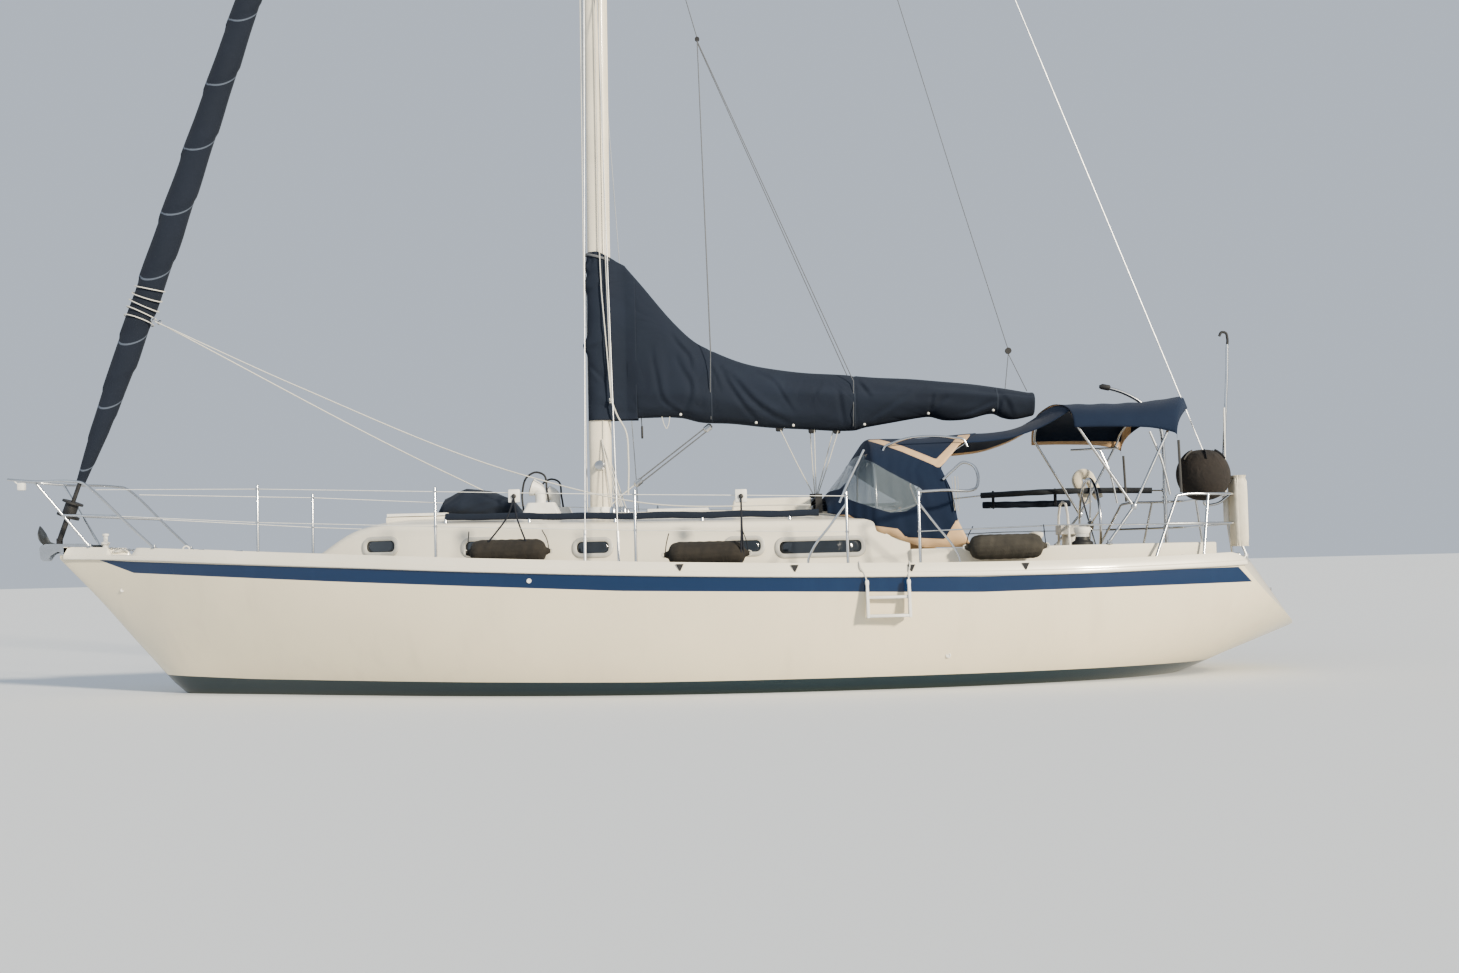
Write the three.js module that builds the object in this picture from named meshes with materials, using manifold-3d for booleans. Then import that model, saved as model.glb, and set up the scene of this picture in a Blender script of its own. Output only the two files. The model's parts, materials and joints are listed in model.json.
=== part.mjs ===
// A cruising sailing yacht of about 11.5 m: a masthead sloop with a fin keel and a spade rudder.
// Millimetres, +X towards the bow, +Y to port, +Z up.
// The origin is on the centreline at the waterline, midway along the waterline.

import * as THREE from 'three';
import { mergeVertices } from 'three/addons/utils/BufferGeometryUtils.js';
import Module from 'manifold-3d';

const wasm = await Module();
wasm.setup();

// Driving dimensions

const GAP = 0.3;                     // between pieces that touch
const KEEL_DRAFT = 1980;
const MASTHEAD_Z = 16700;
const MAST_X_AT_WATER = 842;
const MAST_RAKE = 0.0085;            // metres aft for each metre up
const MAST_CHORD = 210;
const MAST_WIDTH = 140;
const RAIL_HEIGHT = 78;              // toe rail above the deck edge
const RAIL_WIDTH = 46;
const MOULDING_DROP = 42;            // rubbing moulding below the deck edge
const STANCHION_HEIGHT = 665;
const STANCHION_RADIUS = 12.5;
const WIRE_RADIUS = 3.5;
const STAY_RADIUS = 5;
const TUBE_RADIUS = 12.5;

// Hull sections, aft to bow. The section's curve from deck edge to keel line is
// (y / halfBeam) ^ beamPower + (drop / depth) ^ depthPower = 1.
const HULL_COLUMNS = ['x', 'halfBeam', 'deckZ', 'keelZ', 'depthPower', 'beamPower'];
const HULL_TABLE = [
  [-5700, 800, 1040, 440, 2.3, 2.0],
  [-5000, 1040, 1015, 175, 2.5, 2.0],
  [-4400, 1255, 995, -40, 2.6, 2.1],
  [-3200, 1575, 975, -310, 2.8, 2.2],
  [-1600, 1785, 990, -510, 3.0, 2.1],
  [0, 1825, 1035, -560, 3.0, 2.0],
  [1600, 1640, 1105, -520, 2.6, 1.8],
  [3000, 1265, 1180, -400, 2.1, 1.6],
  [4100, 860, 1240, -215, 1.7, 1.45],
  [4750, 565, 1280, -15, 1.5, 1.35],
  [5150, 370, 1300, 385, 1.4, 1.3],
  [5600, 165, 1318, 895, 1.3, 1.25],
  [5980, 14, 1330, 1290, 1.2, 1.2],
];
const HULL_SECTIONS = 22;
const HULL_SIDE_POINTS = 9;
const DECK_CAMBER = 0.035;           // rise at the centreline for each unit of half beam

// Transom: how far aft its face stands at the top corner, its slope and its roundness in plan
const TRANSOM = { x: -4870, topZ: 1100, slope: 0.65, bulge: 260, halfWidth: 940 };
const BOW_X = 5980;
const FAR = 7000;                    // beyond the whole boat, for the bodies that cut

// Cockpit: seat-level opening, then the foot well below it
const COCKPIT = {
  front: -1955, aft: -4480, seatHalf: 900, seatZ: 850,
  wellFront: -2320, wellHalf: 370,
  helmFront: -3420, helmAft: -4300, helmHalf: 600, soleZ: 430,
};

// Cabin trunk sections, bow to aft
const TRUNK_COLUMNS = ['x', 'footHalf', 'edgeHalf', 'edgeZ', 'crownZ'];
const TRUNK_TABLE = [
  [3440, 540, 520, 1225, 1250],
  [2960, 740, 680, 1475, 1530],
  [2180, 985, 905, 1500, 1590],
  [560, 1215, 1120, 1466, 1578],
  [-900, 1245, 1145, 1450, 1572],
  [-1955, 1240, 1140, 1440, 1562],
];

const MATERIALS = {
  gelcoat: ['#e9e2cf', 0.3, 0], rail: ['#d9d5c8', 0.4, 0], antifouling: ['#1d2b3a', 0.8, 0],
  stainless: ['#c4c6c8', 0.25, 1], aluminium: ['#e6dfcd', 0.4, 0.2], canvas: ['#1b2d42', 0.9, 0],
  coverCanvas: ['#2c3850', 0.9, 0], smoked: ['#20262b', 0.15, 0],
  bronze: ['#9a7a4a', 0.35, 1], rubber: ['#3a3a3a', 0.8, 0], white: ['#efece2', 0.45, 0],
  grillCover: ['#3a312c', 0.9, 0], teak: ['#9b7a55', 0.7, 0],
  black: ['#202020', 0.6, 0],
};

// Solids

const V = (x, y, z) => new THREE.Vector3(x, y, z);

function solid(geometry) {
  geometry.deleteAttribute('normal');
  geometry.deleteAttribute('uv');
  const merged = mergeVertices(geometry, 1e-3);
  return new wasm.Manifold(new wasm.Mesh({
    numProp: 3,
    vertProperties: new Float32Array(merged.attributes.position.array),
    triVerts: new Uint32Array(merged.index.array),
  }));
}

function geometryOf(body) {
  const mesh = body.getMesh();
  const geometry = new THREE.BufferGeometry();
  geometry.setAttribute('position', new THREE.BufferAttribute(new Float32Array(mesh.vertProperties), 3));
  geometry.setIndex(new THREE.BufferAttribute(new Uint32Array(mesh.triVerts), 1));
  geometry.computeVertexNormals();
  return geometry;
}

const join = (...bodies) => bodies.reduce((whole, body) => whole.add(body));
const cut = (body, ...tools) => tools.reduce((rest, tool) => rest.subtract(tool), body);
const mirror = (body) => body.mirror([0, 1, 0]);
const moved = (body, x, y, z) => body.translate([x, y, z]);

function box(x0, x1, y0, y1, z0, z1) {
  const geometry = new THREE.BoxGeometry(x1 - x0, y1 - y0, z1 - z0);
  return solid(geometry.translate((x0 + x1) / 2, (y0 + y1) / 2, (z0 + z1) / 2));
}

function rod(from, to, radius, endRadius = radius, sides = 6) {
  const along = to.clone().sub(from);
  const geometry = new THREE.CylinderGeometry(endRadius, radius, along.length(), sides);
  geometry.applyQuaternion(new THREE.Quaternion().setFromUnitVectors(V(0, 1, 0), along.clone().normalize()));
  const middle = from.clone().add(to).multiplyScalar(0.5);
  return solid(geometry.translate(middle.x, middle.y, middle.z));
}

function ball(centre, radius) {
  return solid(new THREE.IcosahedronGeometry(radius * 1.1, 0).translate(centre.x, centre.y, centre.z));
}

function tube(points, radius, steps, sides = 6, closed = false) {
  const corners = Array.from({ length: sides }, (_, i) => {
    const angle = (2 * Math.PI * i) / sides;
    return new THREE.Vector2(radius * Math.cos(angle), radius * Math.sin(angle));
  });
  const path = new THREE.CatmullRomCurve3(points, closed, 'centripetal');
  return solid(new THREE.ExtrudeGeometry(new THREE.Shape(corners),
    { steps, extrudePath: path, bevelEnabled: false }));
}

// Turned about an upright axis: profile of [radius, height] pairs that starts and ends at radius 0
function turned(profile, x, y, z, segments = 16) {
  const points = profile.map(([radius, height]) => new THREE.Vector2(radius, height));
  const geometry = new THREE.LatheGeometry(points, segments).rotateX(Math.PI / 2);
  return solid(geometry.translate(x, y, z));
}

// An outline in plan, [x, y] pairs, raised from z0 to z1
function plate(outline, z0, z1) {
  const shape = new THREE.Shape(outline.map(([x, y]) => new THREE.Vector2(x, y)));
  return solid(new THREE.ExtrudeGeometry(shape, { depth: z1 - z0, bevelEnabled: false }).translate(0, 0, z0));
}

// An outline seen from the side, [x, z] pairs, from y0 to y1
function slab(outline, y0, y1) {
  const shape = new THREE.Shape(outline.map(([x, z]) => new THREE.Vector2(x, z)));
  const geometry = new THREE.ExtrudeGeometry(shape, { depth: y1 - y0, bevelEnabled: false });
  return solid(geometry.rotateX(Math.PI / 2).translate(0, y1, 0));
}

// A closed body through rings of equally many points, each ring capped from its middle
function loft(rings) {
  const count = rings[0].length;
  const points = rings.flat();
  const faces = [];
  for (let r = 0; r + 1 < rings.length; r++) {
    for (let i = 0; i < count; i++) {
      const next = (i + 1) % count;
      const [a, b, c, d] = [r * count + i, r * count + next, (r + 1) * count + next, (r + 1) * count + i];
      faces.push(a, b, c, a, c, d);
    }
  }
  const middles = [rings[0], rings.at(-1)].map((ring) => {
    const middle = ring.reduce((sum, point) => sum.add(point), V(0, 0, 0)).multiplyScalar(1 / count);
    return points.push(middle) - 1;
  });
  const last = (rings.length - 1) * count;
  for (let i = 0; i < count; i++) {
    const next = (i + 1) % count;
    faces.push(middles[0], next, i, middles[1], last + i, last + next);
  }
  return closedFrom(points, faces);
}

// A sheet with thickness: rows of points, and the same rows moved to the sheet's other face
function sheet(outer, thickness) {
  const rows = outer.length;
  const columns = outer[0].length;
  const inner = outer.map((row, r) => row.map((point, c) => {
    const along = outer[Math.min(r + 1, rows - 1)][c].clone().sub(outer[Math.max(r - 1, 0)][c]);
    const across = row[Math.min(c + 1, columns - 1)].clone().sub(row[Math.max(c - 1, 0)]);
    return point.clone().add(along.cross(across).normalize().multiplyScalar(thickness));
  }));
  const points = [...outer.flat(), ...inner.flat()];
  const at = (r, c, side) => side * rows * columns + r * columns + c;
  const faces = [];
  const quad = (a, b, c, d) => faces.push(a, b, c, a, c, d);
  for (let r = 0; r + 1 < rows; r++) {
    for (let c = 0; c + 1 < columns; c++) {
      quad(at(r, c, 0), at(r, c + 1, 0), at(r + 1, c + 1, 0), at(r + 1, c, 0));
      quad(at(r, c, 1), at(r + 1, c, 1), at(r + 1, c + 1, 1), at(r, c + 1, 1));
    }
    quad(at(r, 0, 0), at(r + 1, 0, 0), at(r + 1, 0, 1), at(r, 0, 1));
    quad(at(r, columns - 1, 0), at(r, columns - 1, 1), at(r + 1, columns - 1, 1), at(r + 1, columns - 1, 0));
  }
  for (let c = 0; c + 1 < columns; c++) {
    quad(at(0, c, 0), at(0, c, 1), at(0, c + 1, 1), at(0, c + 1, 0));
    quad(at(rows - 1, c, 0), at(rows - 1, c + 1, 0), at(rows - 1, c + 1, 1), at(rows - 1, c, 1));
  }
  return closedFrom(points, faces);
}

// The faces may run either way round: the body is turned inside out if its volume is negative
function closedFrom(points, faces) {
  let volume = 0;
  for (let i = 0; i < faces.length; i += 3) {
    const [a, b, c] = [points[faces[i]], points[faces[i + 1]], points[faces[i + 2]]];
    volume += a.dot(b.clone().cross(c));
  }
  const index = volume > 0 ? faces : faces.slice().reverse();
  const geometry = new THREE.BufferGeometry();
  geometry.setAttribute('position', new THREE.BufferAttribute(
    new Float32Array(points.flatMap((point) => [point.x, point.y, point.z])), 3));
  geometry.setIndex(index);
  return solid(geometry);
}

// Hull form

// The value of one column of a table at x, on a smooth curve through the table's rows
function smooth(table, column, x) {
  const rows = table[0][0] < table.at(-1)[0] ? table : table.slice().reverse();
  const inside = Math.min(Math.max(x, rows[0][0]), rows.at(-1)[0]);
  let i = 0;
  while (i < rows.length - 2 && inside > rows[i + 1][0]) i++;
  const slope = (a, b) => (rows[b][column] - rows[a][column]) / (rows[b][0] - rows[a][0]);
  const tangent = (k) => slope(Math.max(k - 1, 0), Math.min(k + 1, rows.length - 1));
  const span = rows[i + 1][0] - rows[i][0];
  const t = (inside - rows[i][0]) / span;
  const [p, q] = [rows[i][column], rows[i + 1][column]];
  return p * (2 * t ** 3 - 3 * t ** 2 + 1) + q * (3 * t ** 2 - 2 * t ** 3)
    + span * (tangent(i) * (t ** 3 - 2 * t ** 2 + t) + tangent(i + 1) * (t ** 3 - t ** 2));
}

const sectionAt = (names, table, x) =>
  Object.fromEntries(names.map((name, column) => [name, smooth(table, column, x)]));
const hullAt = (x) => sectionAt(HULL_COLUMNS, HULL_TABLE, x);
const trunkAt = (x) => sectionAt(TRUNK_COLUMNS, TRUNK_TABLE, x);

function deckZ(x, y) {
  const { halfBeam, deckZ: edge } = hullAt(x);
  return edge + DECK_CAMBER * halfBeam * (1 - (y / halfBeam) ** 2);
}

function roofZ(x, y) {
  const { edgeHalf, edgeZ, crownZ } = trunkAt(x);
  return edgeZ + (crownZ - edgeZ) * (1 - (y / edgeHalf) ** 2);
}

// Half beam of the topsides at a height
function sideY(x, z) {
  const { halfBeam, deckZ: edge, keelZ, depthPower, beamPower } = hullAt(x);
  const drop = Math.min(Math.max((edge - z) / (edge - keelZ), 0), 1);
  return halfBeam * (1 - drop ** depthPower) ** (1 / beamPower);
}

const transomX = (y, z) => TRANSOM.x - TRANSOM.slope * (TRANSOM.topZ - z)
  - TRANSOM.bulge * (1 - (y / TRANSOM.halfWidth) ** 2);

// One side of a section: u from 0 at the deck edge to 1 at the keel line, at a given x
function hullSide(x, u) {
  const { halfBeam, deckZ: edge, keelZ, depthPower, beamPower } = hullAt(x);
  const angle = (u * Math.PI) / 2;
  const y = halfBeam * Math.cos(angle) ** (2 / beamPower);
  return [y, edge - (edge - keelZ) * Math.sin(angle) ** (2 / depthPower)];
}

// A ring of the hull at a share of its length: each point's x settles on the sloping transom's side
function hullRing(share) {
  const deckPoints = 3;
  const passes = 12;
  const ring = [];
  const add = (place) => {
    let x = THREE.MathUtils.lerp(TRANSOM.x, BOW_X, share);
    let [y, z] = place(x);
    for (let pass = 0; pass < passes; pass++) {
      x = THREE.MathUtils.lerp(transomX(y, z), BOW_X, share);
      [y, z] = place(x);
    }
    ring.push(V(x, y, z));
  };
  for (let i = 0; i < HULL_SIDE_POINTS; i++) add((x) => hullSide(x, i / HULL_SIDE_POINTS));
  for (let i = HULL_SIDE_POINTS; i >= 0; i--) {
    add((x) => {
      const [y, z] = hullSide(x, i / HULL_SIDE_POINTS);
      return [-y, z];
    });
  }
  for (let i = 1; i < 2 * deckPoints; i++) {
    add((x) => {
      const y = (i / deckPoints - 1) * hullAt(x).halfBeam;
      return [y, deckZ(x, y)];
    });
  }
  return ring;
}

function hullForm() {
  const bunching = 0.08;               // how much closer the sections stand amidships
  const rings = [];
  for (let i = 0; i <= HULL_SECTIONS; i++) {
    const t = i / HULL_SECTIONS;
    rings.push(hullRing(t + bunching * Math.sin(2 * Math.PI * t) / Math.PI));
  }
  const half = cut(loft(rings), box(-FAR, FAR, -FAR, 0, -FAR, FAR));
  return join(half, mirror(half));
}

// Shaft line and rudder stock

const SHAFT = { front: V(-2350, 0, -385), aft: V(-3640, 0, -590), radius: 15, boreRadius: 24 };
const PROPELLER = { at: V(-3560, 0, -577), radius: 215, hubRadius: 34, hubLength: 95, blades: 3 };
const RUDDER = {
  stockX: -4330, frontX: -4130, aftX: -4830, bottomZ: -1430,
  stockRadius: 32, stockTop: 160, boreGap: 8,
};

const form = hullForm();
const grown = form.translate([0, 0, GAP]);            // hull with room for what sits on its deck
const grownPort = form.translate([0, GAP, GAP]);       // and for what is fixed along its port edge
const lowered = form.translate([0, 0, -GAP]);
const onDeck = (body) => cut(body, grown);

function hull() {
  const c = COCKPIT;
  const high = 1400;
  const { stockX, stockTop, boreGap } = RUDDER;
  const stockBore = RUDDER.stockRadius + boreGap;
  const shaftWay = SHAFT.aft.clone().sub(SHAFT.front);
  const boreStart = SHAFT.front.clone().addScaledVector(shaftWay, -0.12);
  return cut(form,
    box(c.aft, c.front, -c.seatHalf, c.seatHalf, c.seatZ, high),
    box(c.helmAft, c.wellFront, -c.wellHalf, c.wellHalf, c.soleZ, high),
    box(c.helmAft, c.helmFront, -c.helmHalf, c.helmHalf, c.soleZ, high),
    rod(boreStart, SHAFT.aft, SHAFT.boreRadius, SHAFT.boreRadius, 16),
    rod(V(stockX, 0, stockTop + boreGap), V(stockX, 0, -700), stockBore, stockBore, 16));
}

// Toe rail with the moulding below it, along one side from the transom to the stem
const TOE_RAIL = { aft: -4900, front: 5930, steps: 16, rollerX: 5590, rollerHalf: 54 };

function toeRail() {
  const { aft, front, steps, rollerX, rollerHalf } = TOE_RAIL;
  const rings = [];
  for (let i = 0; i <= steps; i++) {
    const x = THREE.MathUtils.lerp(aft, front, i / steps);
    const { halfBeam, deckZ: edge } = hullAt(x);
    const inner = Math.max(halfBeam - RAIL_WIDTH, 1);
    rings.push([[inner, -8], [inner + 8, RAIL_HEIGHT], [Math.max(halfBeam - 4, 5), RAIL_HEIGHT],
      [halfBeam + 10, 4], [halfBeam + 24, -6], [halfBeam + 24, -MOULDING_DROP + 6],
      [halfBeam + 8, -MOULDING_DROP], [Math.max(halfBeam - 12, 1), -MOULDING_DROP]]
      .map(([y, dz]) => V(x, y, edge + dz)));
  }
  return cut(loft(rings), grownPort, box(-FAR, FAR, -400, 0.5, 900, 1700),
    box(rollerX, FAR, -rollerHalf, rollerHalf, 900, 1700));
}

const rail = toeRail();

// A foil in plan: points round it from the leading edge
function foilRing(frontX, aftX, thickness, z, count = 9, aftZ = z) {
  const side = (sign) => Array.from({ length: count }, (_, i) => {
    const u = (1 - Math.cos((Math.PI * (i + (sign < 0 ? 0 : 1))) / count)) / 2;
    const half = (thickness / 2) * (Math.sin(Math.PI * Math.sqrt(u)) + 0.03);
    return V(THREE.MathUtils.lerp(frontX, aftX, u), sign * half, THREE.MathUtils.lerp(z, aftZ, u));
  });
  return [...side(-1), ...side(1).reverse()];
}

// Fin keel and its bulb, root to tip: [leading edge, trailing edge, thickness, height]
const KEEL_TABLE = [
  [1150, -900, 250, -300],
  [1080, -880, 240, -600],
  [800, -830, 190, -1350],
  [720, -840, 190, -1560],
  [800, -960, 330, -1740],
  [780, -1000, 380, -1860],
  [640, -960, 300, -KEEL_DRAFT],
];

const finKeel = () => cut(loft(KEEL_TABLE.map((row) => foilRing(...row))), lowered);

function rudder() {
  const { stockX, frontX, aftX, bottomZ, stockRadius, stockTop } = RUDDER;
  const blade = loft([
    foilRing(frontX, aftX, 110, -210, 9, -60),
    foilRing(frontX - 60, aftX + 90, 90, -800, 9),
    foilRing(frontX - 130, aftX + 160, 70, bottomZ, 9),
  ]);
  return join(blade, rod(V(stockX, 0, -600), V(stockX, 0, stockTop), stockRadius, stockRadius, 16));
}

function shaftFrame(at) {
  const along = SHAFT.aft.clone().sub(SHAFT.front).normalize();
  return { along, point: (distance) => at.clone().addScaledVector(along, distance) };
}

// A blade's sections from the hub out: [radius, chord, thickness, pitch in degrees]
const BLADE_TABLE = [[20, 45, 18, 55], [90, 150, 12, 38], [155, 150, 9, 27], [PROPELLER.radius, 40, 6, 20]];

function propeller() {
  const { along, point } = shaftFrame(PROPELLER.at);
  const { hubRadius, hubLength, blades } = PROPELLER;
  let body = join(rod(point(-hubLength / 2), point(hubLength / 2), hubRadius, hubRadius, 14),
    rod(point(hubLength / 2 - 1), point(hubLength / 2 + 55), hubRadius - 4, 8, 14),
    rod(SHAFT.front, PROPELLER.at, SHAFT.radius, SHAFT.radius, 12));
  const turn = new THREE.Quaternion().setFromUnitVectors(V(1, 0, 0), along);
  for (let i = 0; i < blades; i++) {
    const section = [[-0.5, 0], [-0.2, 1], [0.2, 1], [0.5, 0], [0.2, -1], [-0.2, -1]];
    const rings = BLADE_TABLE.map(([at, chord, thick, pitch]) => section.map(([u, v]) =>
      V(v * thick / 2, u * chord, at)
        .applyAxisAngle(V(0, 0, 1), THREE.MathUtils.degToRad(90 - pitch))
        .applyAxisAngle(V(1, 0, 0), (2 * Math.PI * i) / blades)
        .applyQuaternion(turn).add(PROPELLER.at)));
    body = join(body, loft(rings));
  }
  return body;
}

function shaftStrut() {
  const { point } = shaftFrame(PROPELLER.at);
  const barrel = rod(point(-330), point(-210), 34, 30, 14);
  const middle = point(-270);
  const leg = loft([
    foilRing(middle.x + 60, middle.x - 60, 22, middle.z),
    foilRing(middle.x + 75, middle.x - 75, 26, middle.z + 500),
  ]);
  const bore = rod(point(-360), point(-180), SHAFT.radius + 2, SHAFT.radius + 2, 16);
  return cut(join(barrel, leg), bore, lowered);
}

// Cabin trunk and what is on it

const HATCHES = {
  fore_hatch: { x: 2520, half: 290, hingeX: 2805 },
  mid_hatch: { x: 90, half: 290, hingeX: 375 },
};

// A raised seat on the trunk under each deck hatch
const hatchSeatZ = ({ x, half }) => roofZ(x - half, 0) + 12;

function cabinTrunk() {
  const places = [3440, 3200, 2960, 2600, 2180, 1650, 1100, 560, 0, -450, -900, -1450, COCKPIT.front];
  const roofPoints = 8;
  const rings = places.map((x) => {
    const { footHalf, edgeHalf, edgeZ } = trunkAt(x);
    const side = (sign) => [V(x, sign * footHalf, 800), V(x, sign * (edgeHalf + 14), edgeZ - 60)];
    const roof = Array.from({ length: roofPoints + 1 }, (_, i) => {
      const y = edgeHalf * (1 - (2 * i) / roofPoints);
      return V(x, y, roofZ(x, y));
    });
    return [...side(1), ...roof, ...side(-1).reverse()];
  });
  const seats = Object.values(HATCHES).map(({ x, half }) =>
    box(x - half, x + half, -half, half, 1400, hatchSeatZ({ x, half })));
  return onDeck(join(loft(rings), ...seats));
}

const trunk = cabinTrunk();
const onRoof = (body) => cut(body, moved(trunk, 0, 0, GAP), grown);

// Sea hood over the sliding hatch: a cover open at its aft end
const HOOD = { front: -370, aft: -1145, half: 430, topZ: 1690, wall: 14 };
const HATCH = { front: -1165, aft: -1985, half: 350, z0: 1590, z1: 1618, travel: 680 };

function seaHood() {
  const { front, aft, half, topZ, wall } = HOOD;
  const side = [[front, 1400], [front - 60, topZ - 10], [front - 160, topZ], [aft, topZ], [aft, 1400]];
  const [ceiling, end, innerHalf] = [HATCH.z1 + 14, front - 90, half - wall - 40];
  const inner = slab([[end, 1300], [end, ceiling], [aft - 50, ceiling], [aft - 50, 1300]],
    -innerHalf, innerHalf);
  return onRoof(cut(slab(side, -half, half), inner));
}

function companionwayHatch() {
  const { front, aft, half, z0, z1 } = HATCH;
  return join(box(aft, front, -half, half, z0, z1), box(aft, aft + 30, -half, half, z0, z1 + 22));
}

const washboards = () => box(COCKPIT.front - 27, COCKPIT.front - GAP, -310, 310, 900, 1580);

function hatchLid({ x, half }) {
  const bottom = hatchSeatZ({ x, half }) + 6;
  const edge = half - 8;
  return join(box(x - edge, x + edge, -edge, edge, bottom, bottom + 26),
    rod(V(x + half + 4, -200, bottom + 6), V(x + half + 4, 200, bottom + 6), 9),
    box(x + edge - 5, x + half + 4, -190, 190, bottom, bottom + 12));
}

function doradeVent(x, y) {
  const z = roofZ(x, y);
  const guard = tube([[150, 20], [165, 230], [90, 400], [0, 410], [-60, 240], [-90, 20]]
    .map(([dx, dz]) => V(x + dx, y, z + dz)), 9, 12);
  return join(onRoof(box(x - 230, x + 210, y - 110, y + 110, z - 60, z + 125)),
    guard, rod(V(x, y, z + 100), V(x, y, z + 230), 48, 48, 10),
    rod(V(x - 50, y, z + 250), V(x + 75, y, z + 275), 52, 78, 10));
}

const HANDRAIL = { front: 2150, aft: -1180, spans: 8, fromEdge: 95, above: 52 };

function handrail() {
  const { front, aft, spans, fromEdge, above } = HANDRAIL;
  const points = [];
  for (let i = 0; i <= spans; i++) {
    const x = THREE.MathUtils.lerp(front, aft, i / spans);
    const y = trunkAt(x).edgeHalf - fromEdge;
    points.push(V(x, y, roofZ(x, y) + above));
  }
  let body = tube(points, 24, 14);
  for (const point of points.filter((_, i) => i % 2 === 0)) {
    body = join(body, rod(V(point.x, point.y, point.z - 120), point, 14));
  }
  return onRoof(body);
}

function traveller() {
  const [x, z] = [-1205, 1700];
  const foot = (side) => box(x - 30, x + 30, side * 620 - 25, side * 620 + 25, 1440, z + 5);
  return onRoof(join(box(x - 22, x + 22, -650, 650, z - 32, z), foot(1), foot(-1),
    box(x - 55, x + 55, -70, 70, z - 2, z + 32)));
}

// The bag on the trunk ahead of the mast: [x, half width, height], flat below where it lies
const BAG_TABLE = [[2222, 70, 90], [2180, 190, 215], [2020, 235, 262], [1800, 235, 258], [1640, 195, 215],
  [1560, 90, 110]];
const BAG = { y: 60, sides: 12, middle: 0.42, flat: -0.72 };

function deckBag() {
  const { y, sides, middle, flat } = BAG;
  const rings = BAG_TABLE.map(([x, half, height]) => {
    const z = roofZ(x, 0) + 3;
    return Array.from({ length: sides }, (_, i) => {
      const angle = (2 * Math.PI * i) / sides;
      const lift = Math.max(Math.sin(angle), flat);
      return V(x, y + half * Math.cos(angle), z + height * (middle + (1 - middle) * lift));
    });
  });
  return onRoof(loft(rings));
}

// Mast, boom and rig

const mastX = (z) => MAST_X_AT_WATER - MAST_RAKE * z;

function mastRing(z, grow = 0, scale = 1) {
  return Array.from({ length: 16 }, (_, i) => {
    const angle = (2 * Math.PI * i) / 16;
    return V(mastX(z) + scale * (MAST_CHORD / 2 + grow) * Math.cos(angle),
      scale * (MAST_WIDTH / 2 + grow) * Math.sin(angle), z);
  });
}

const mastStock = (grow, z0, z1) => loft([mastRing(z0, grow), mastRing(z1, grow)]);

function mast() {
  const step = 1300;
  const spar = mastStock(0, step, MASTHEAD_Z);
  const partner = mastStock(40, step, roofZ(MAST_X_AT_WATER, 0) + 32);
  const winch = (side) => rod(V(mastX(2050), side * 50, 2050), V(mastX(2050), side * 185, 2050), 46, 36, 12);
  return join(onRoof(join(spar, partner, winch(1), winch(-1))), gooseneckLugs());
}

const SPREADERS = {
  lower_spreaders: { z: 6850, tip: 1010, rise: 60 },
  upper_spreaders: { z: 11750, tip: 790, rise: 60 },
};

function spreaders({ z, tip, rise }) {
  const band = cut(mastStock(12, z - 45, z + 45), mastStock(GAP, z - 60, z + 60));
  const arm = (side) => loft([[MAST_WIDTH / 2 + 4, 46, z], [tip, 26, z + rise]].map(([y, chord, height]) =>
    Array.from({ length: 8 }, (_, i) => {
      const angle = (2 * Math.PI * i) / 8;
      return V(mastX(z) + chord * Math.cos(angle), side * y, height + (chord / 2.6) * Math.sin(angle));
    })));
  return join(band, arm(1), arm(-1));
}

function masthead() {
  const z = MASTHEAD_Z + GAP;
  const x = mastX(MASTHEAD_Z);
  const mastLight = rod(V(x + 40, 0, z + 20), V(x + 40, 0, z + 150), 26, 22, 10);
  const aerial = rod(V(x - 120, 30, z + 20), V(x - 120, 30, z + 620), 5, 4, 6);
  const vanePost = rod(V(x - 60, 0, z + 20), V(x - 60, 0, z + 300), 5, 5, 6);
  const vane = box(x - 200, x + 90, -3, 3, z + 280, z + 300);
  return join(box(x - 190, x + 165, -45, 45, z, z + 34), mastLight, aerial, vanePost, vane);
}

const STAY_FOOT = V(6005, 0, 1420);
const STAY_SAG = 71;
const STAY_HEAD = V(mastX(MASTHEAD_Z) + 150, 0, MASTHEAD_Z - 60);
const stayPoint = (z) => {
  const up = (z - STAY_FOOT.z) / (STAY_HEAD.z - STAY_FOOT.z);
  const point = STAY_FOOT.clone().lerp(STAY_HEAD, up);
  point.x -= 4 * STAY_SAG * up * (1 - up);
  return point;
};
const SAIL_TACK_Z = 2010;
const SAIL_HEAD_Z = 15800;

function rollerFurler() {
  const along = (z0, z1, radius, sides = 14) => rod(stayPoint(z0), stayPoint(z1), radius, radius, sides);
  const drum = join(along(1690, 1712, 105), along(1818, 1836, 98), along(1700, 1825, 62, 12));
  const link = box(5965, 6010, 14, 20, 1362 + GAP, 1490);
  return join(along(1470, SAIL_TACK_Z - 1, 20, 10), drum, link, mirror(link), along(1470, 1700, 26, 10));
}

// Furled headsail: [height, half thickness, how far it hangs aft of the forestay]
const FURLED_TABLE = [[SAIL_TACK_Z, 38, 8], [2500, 80, 18], [3200, 112, 24], [4400, 126, 28], [6500, 112, 26],
  [9500, 92, 20], [12500, 62, 14], [15200, 34, 8], [SAIL_HEAD_Z, 18, 4]];

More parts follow.
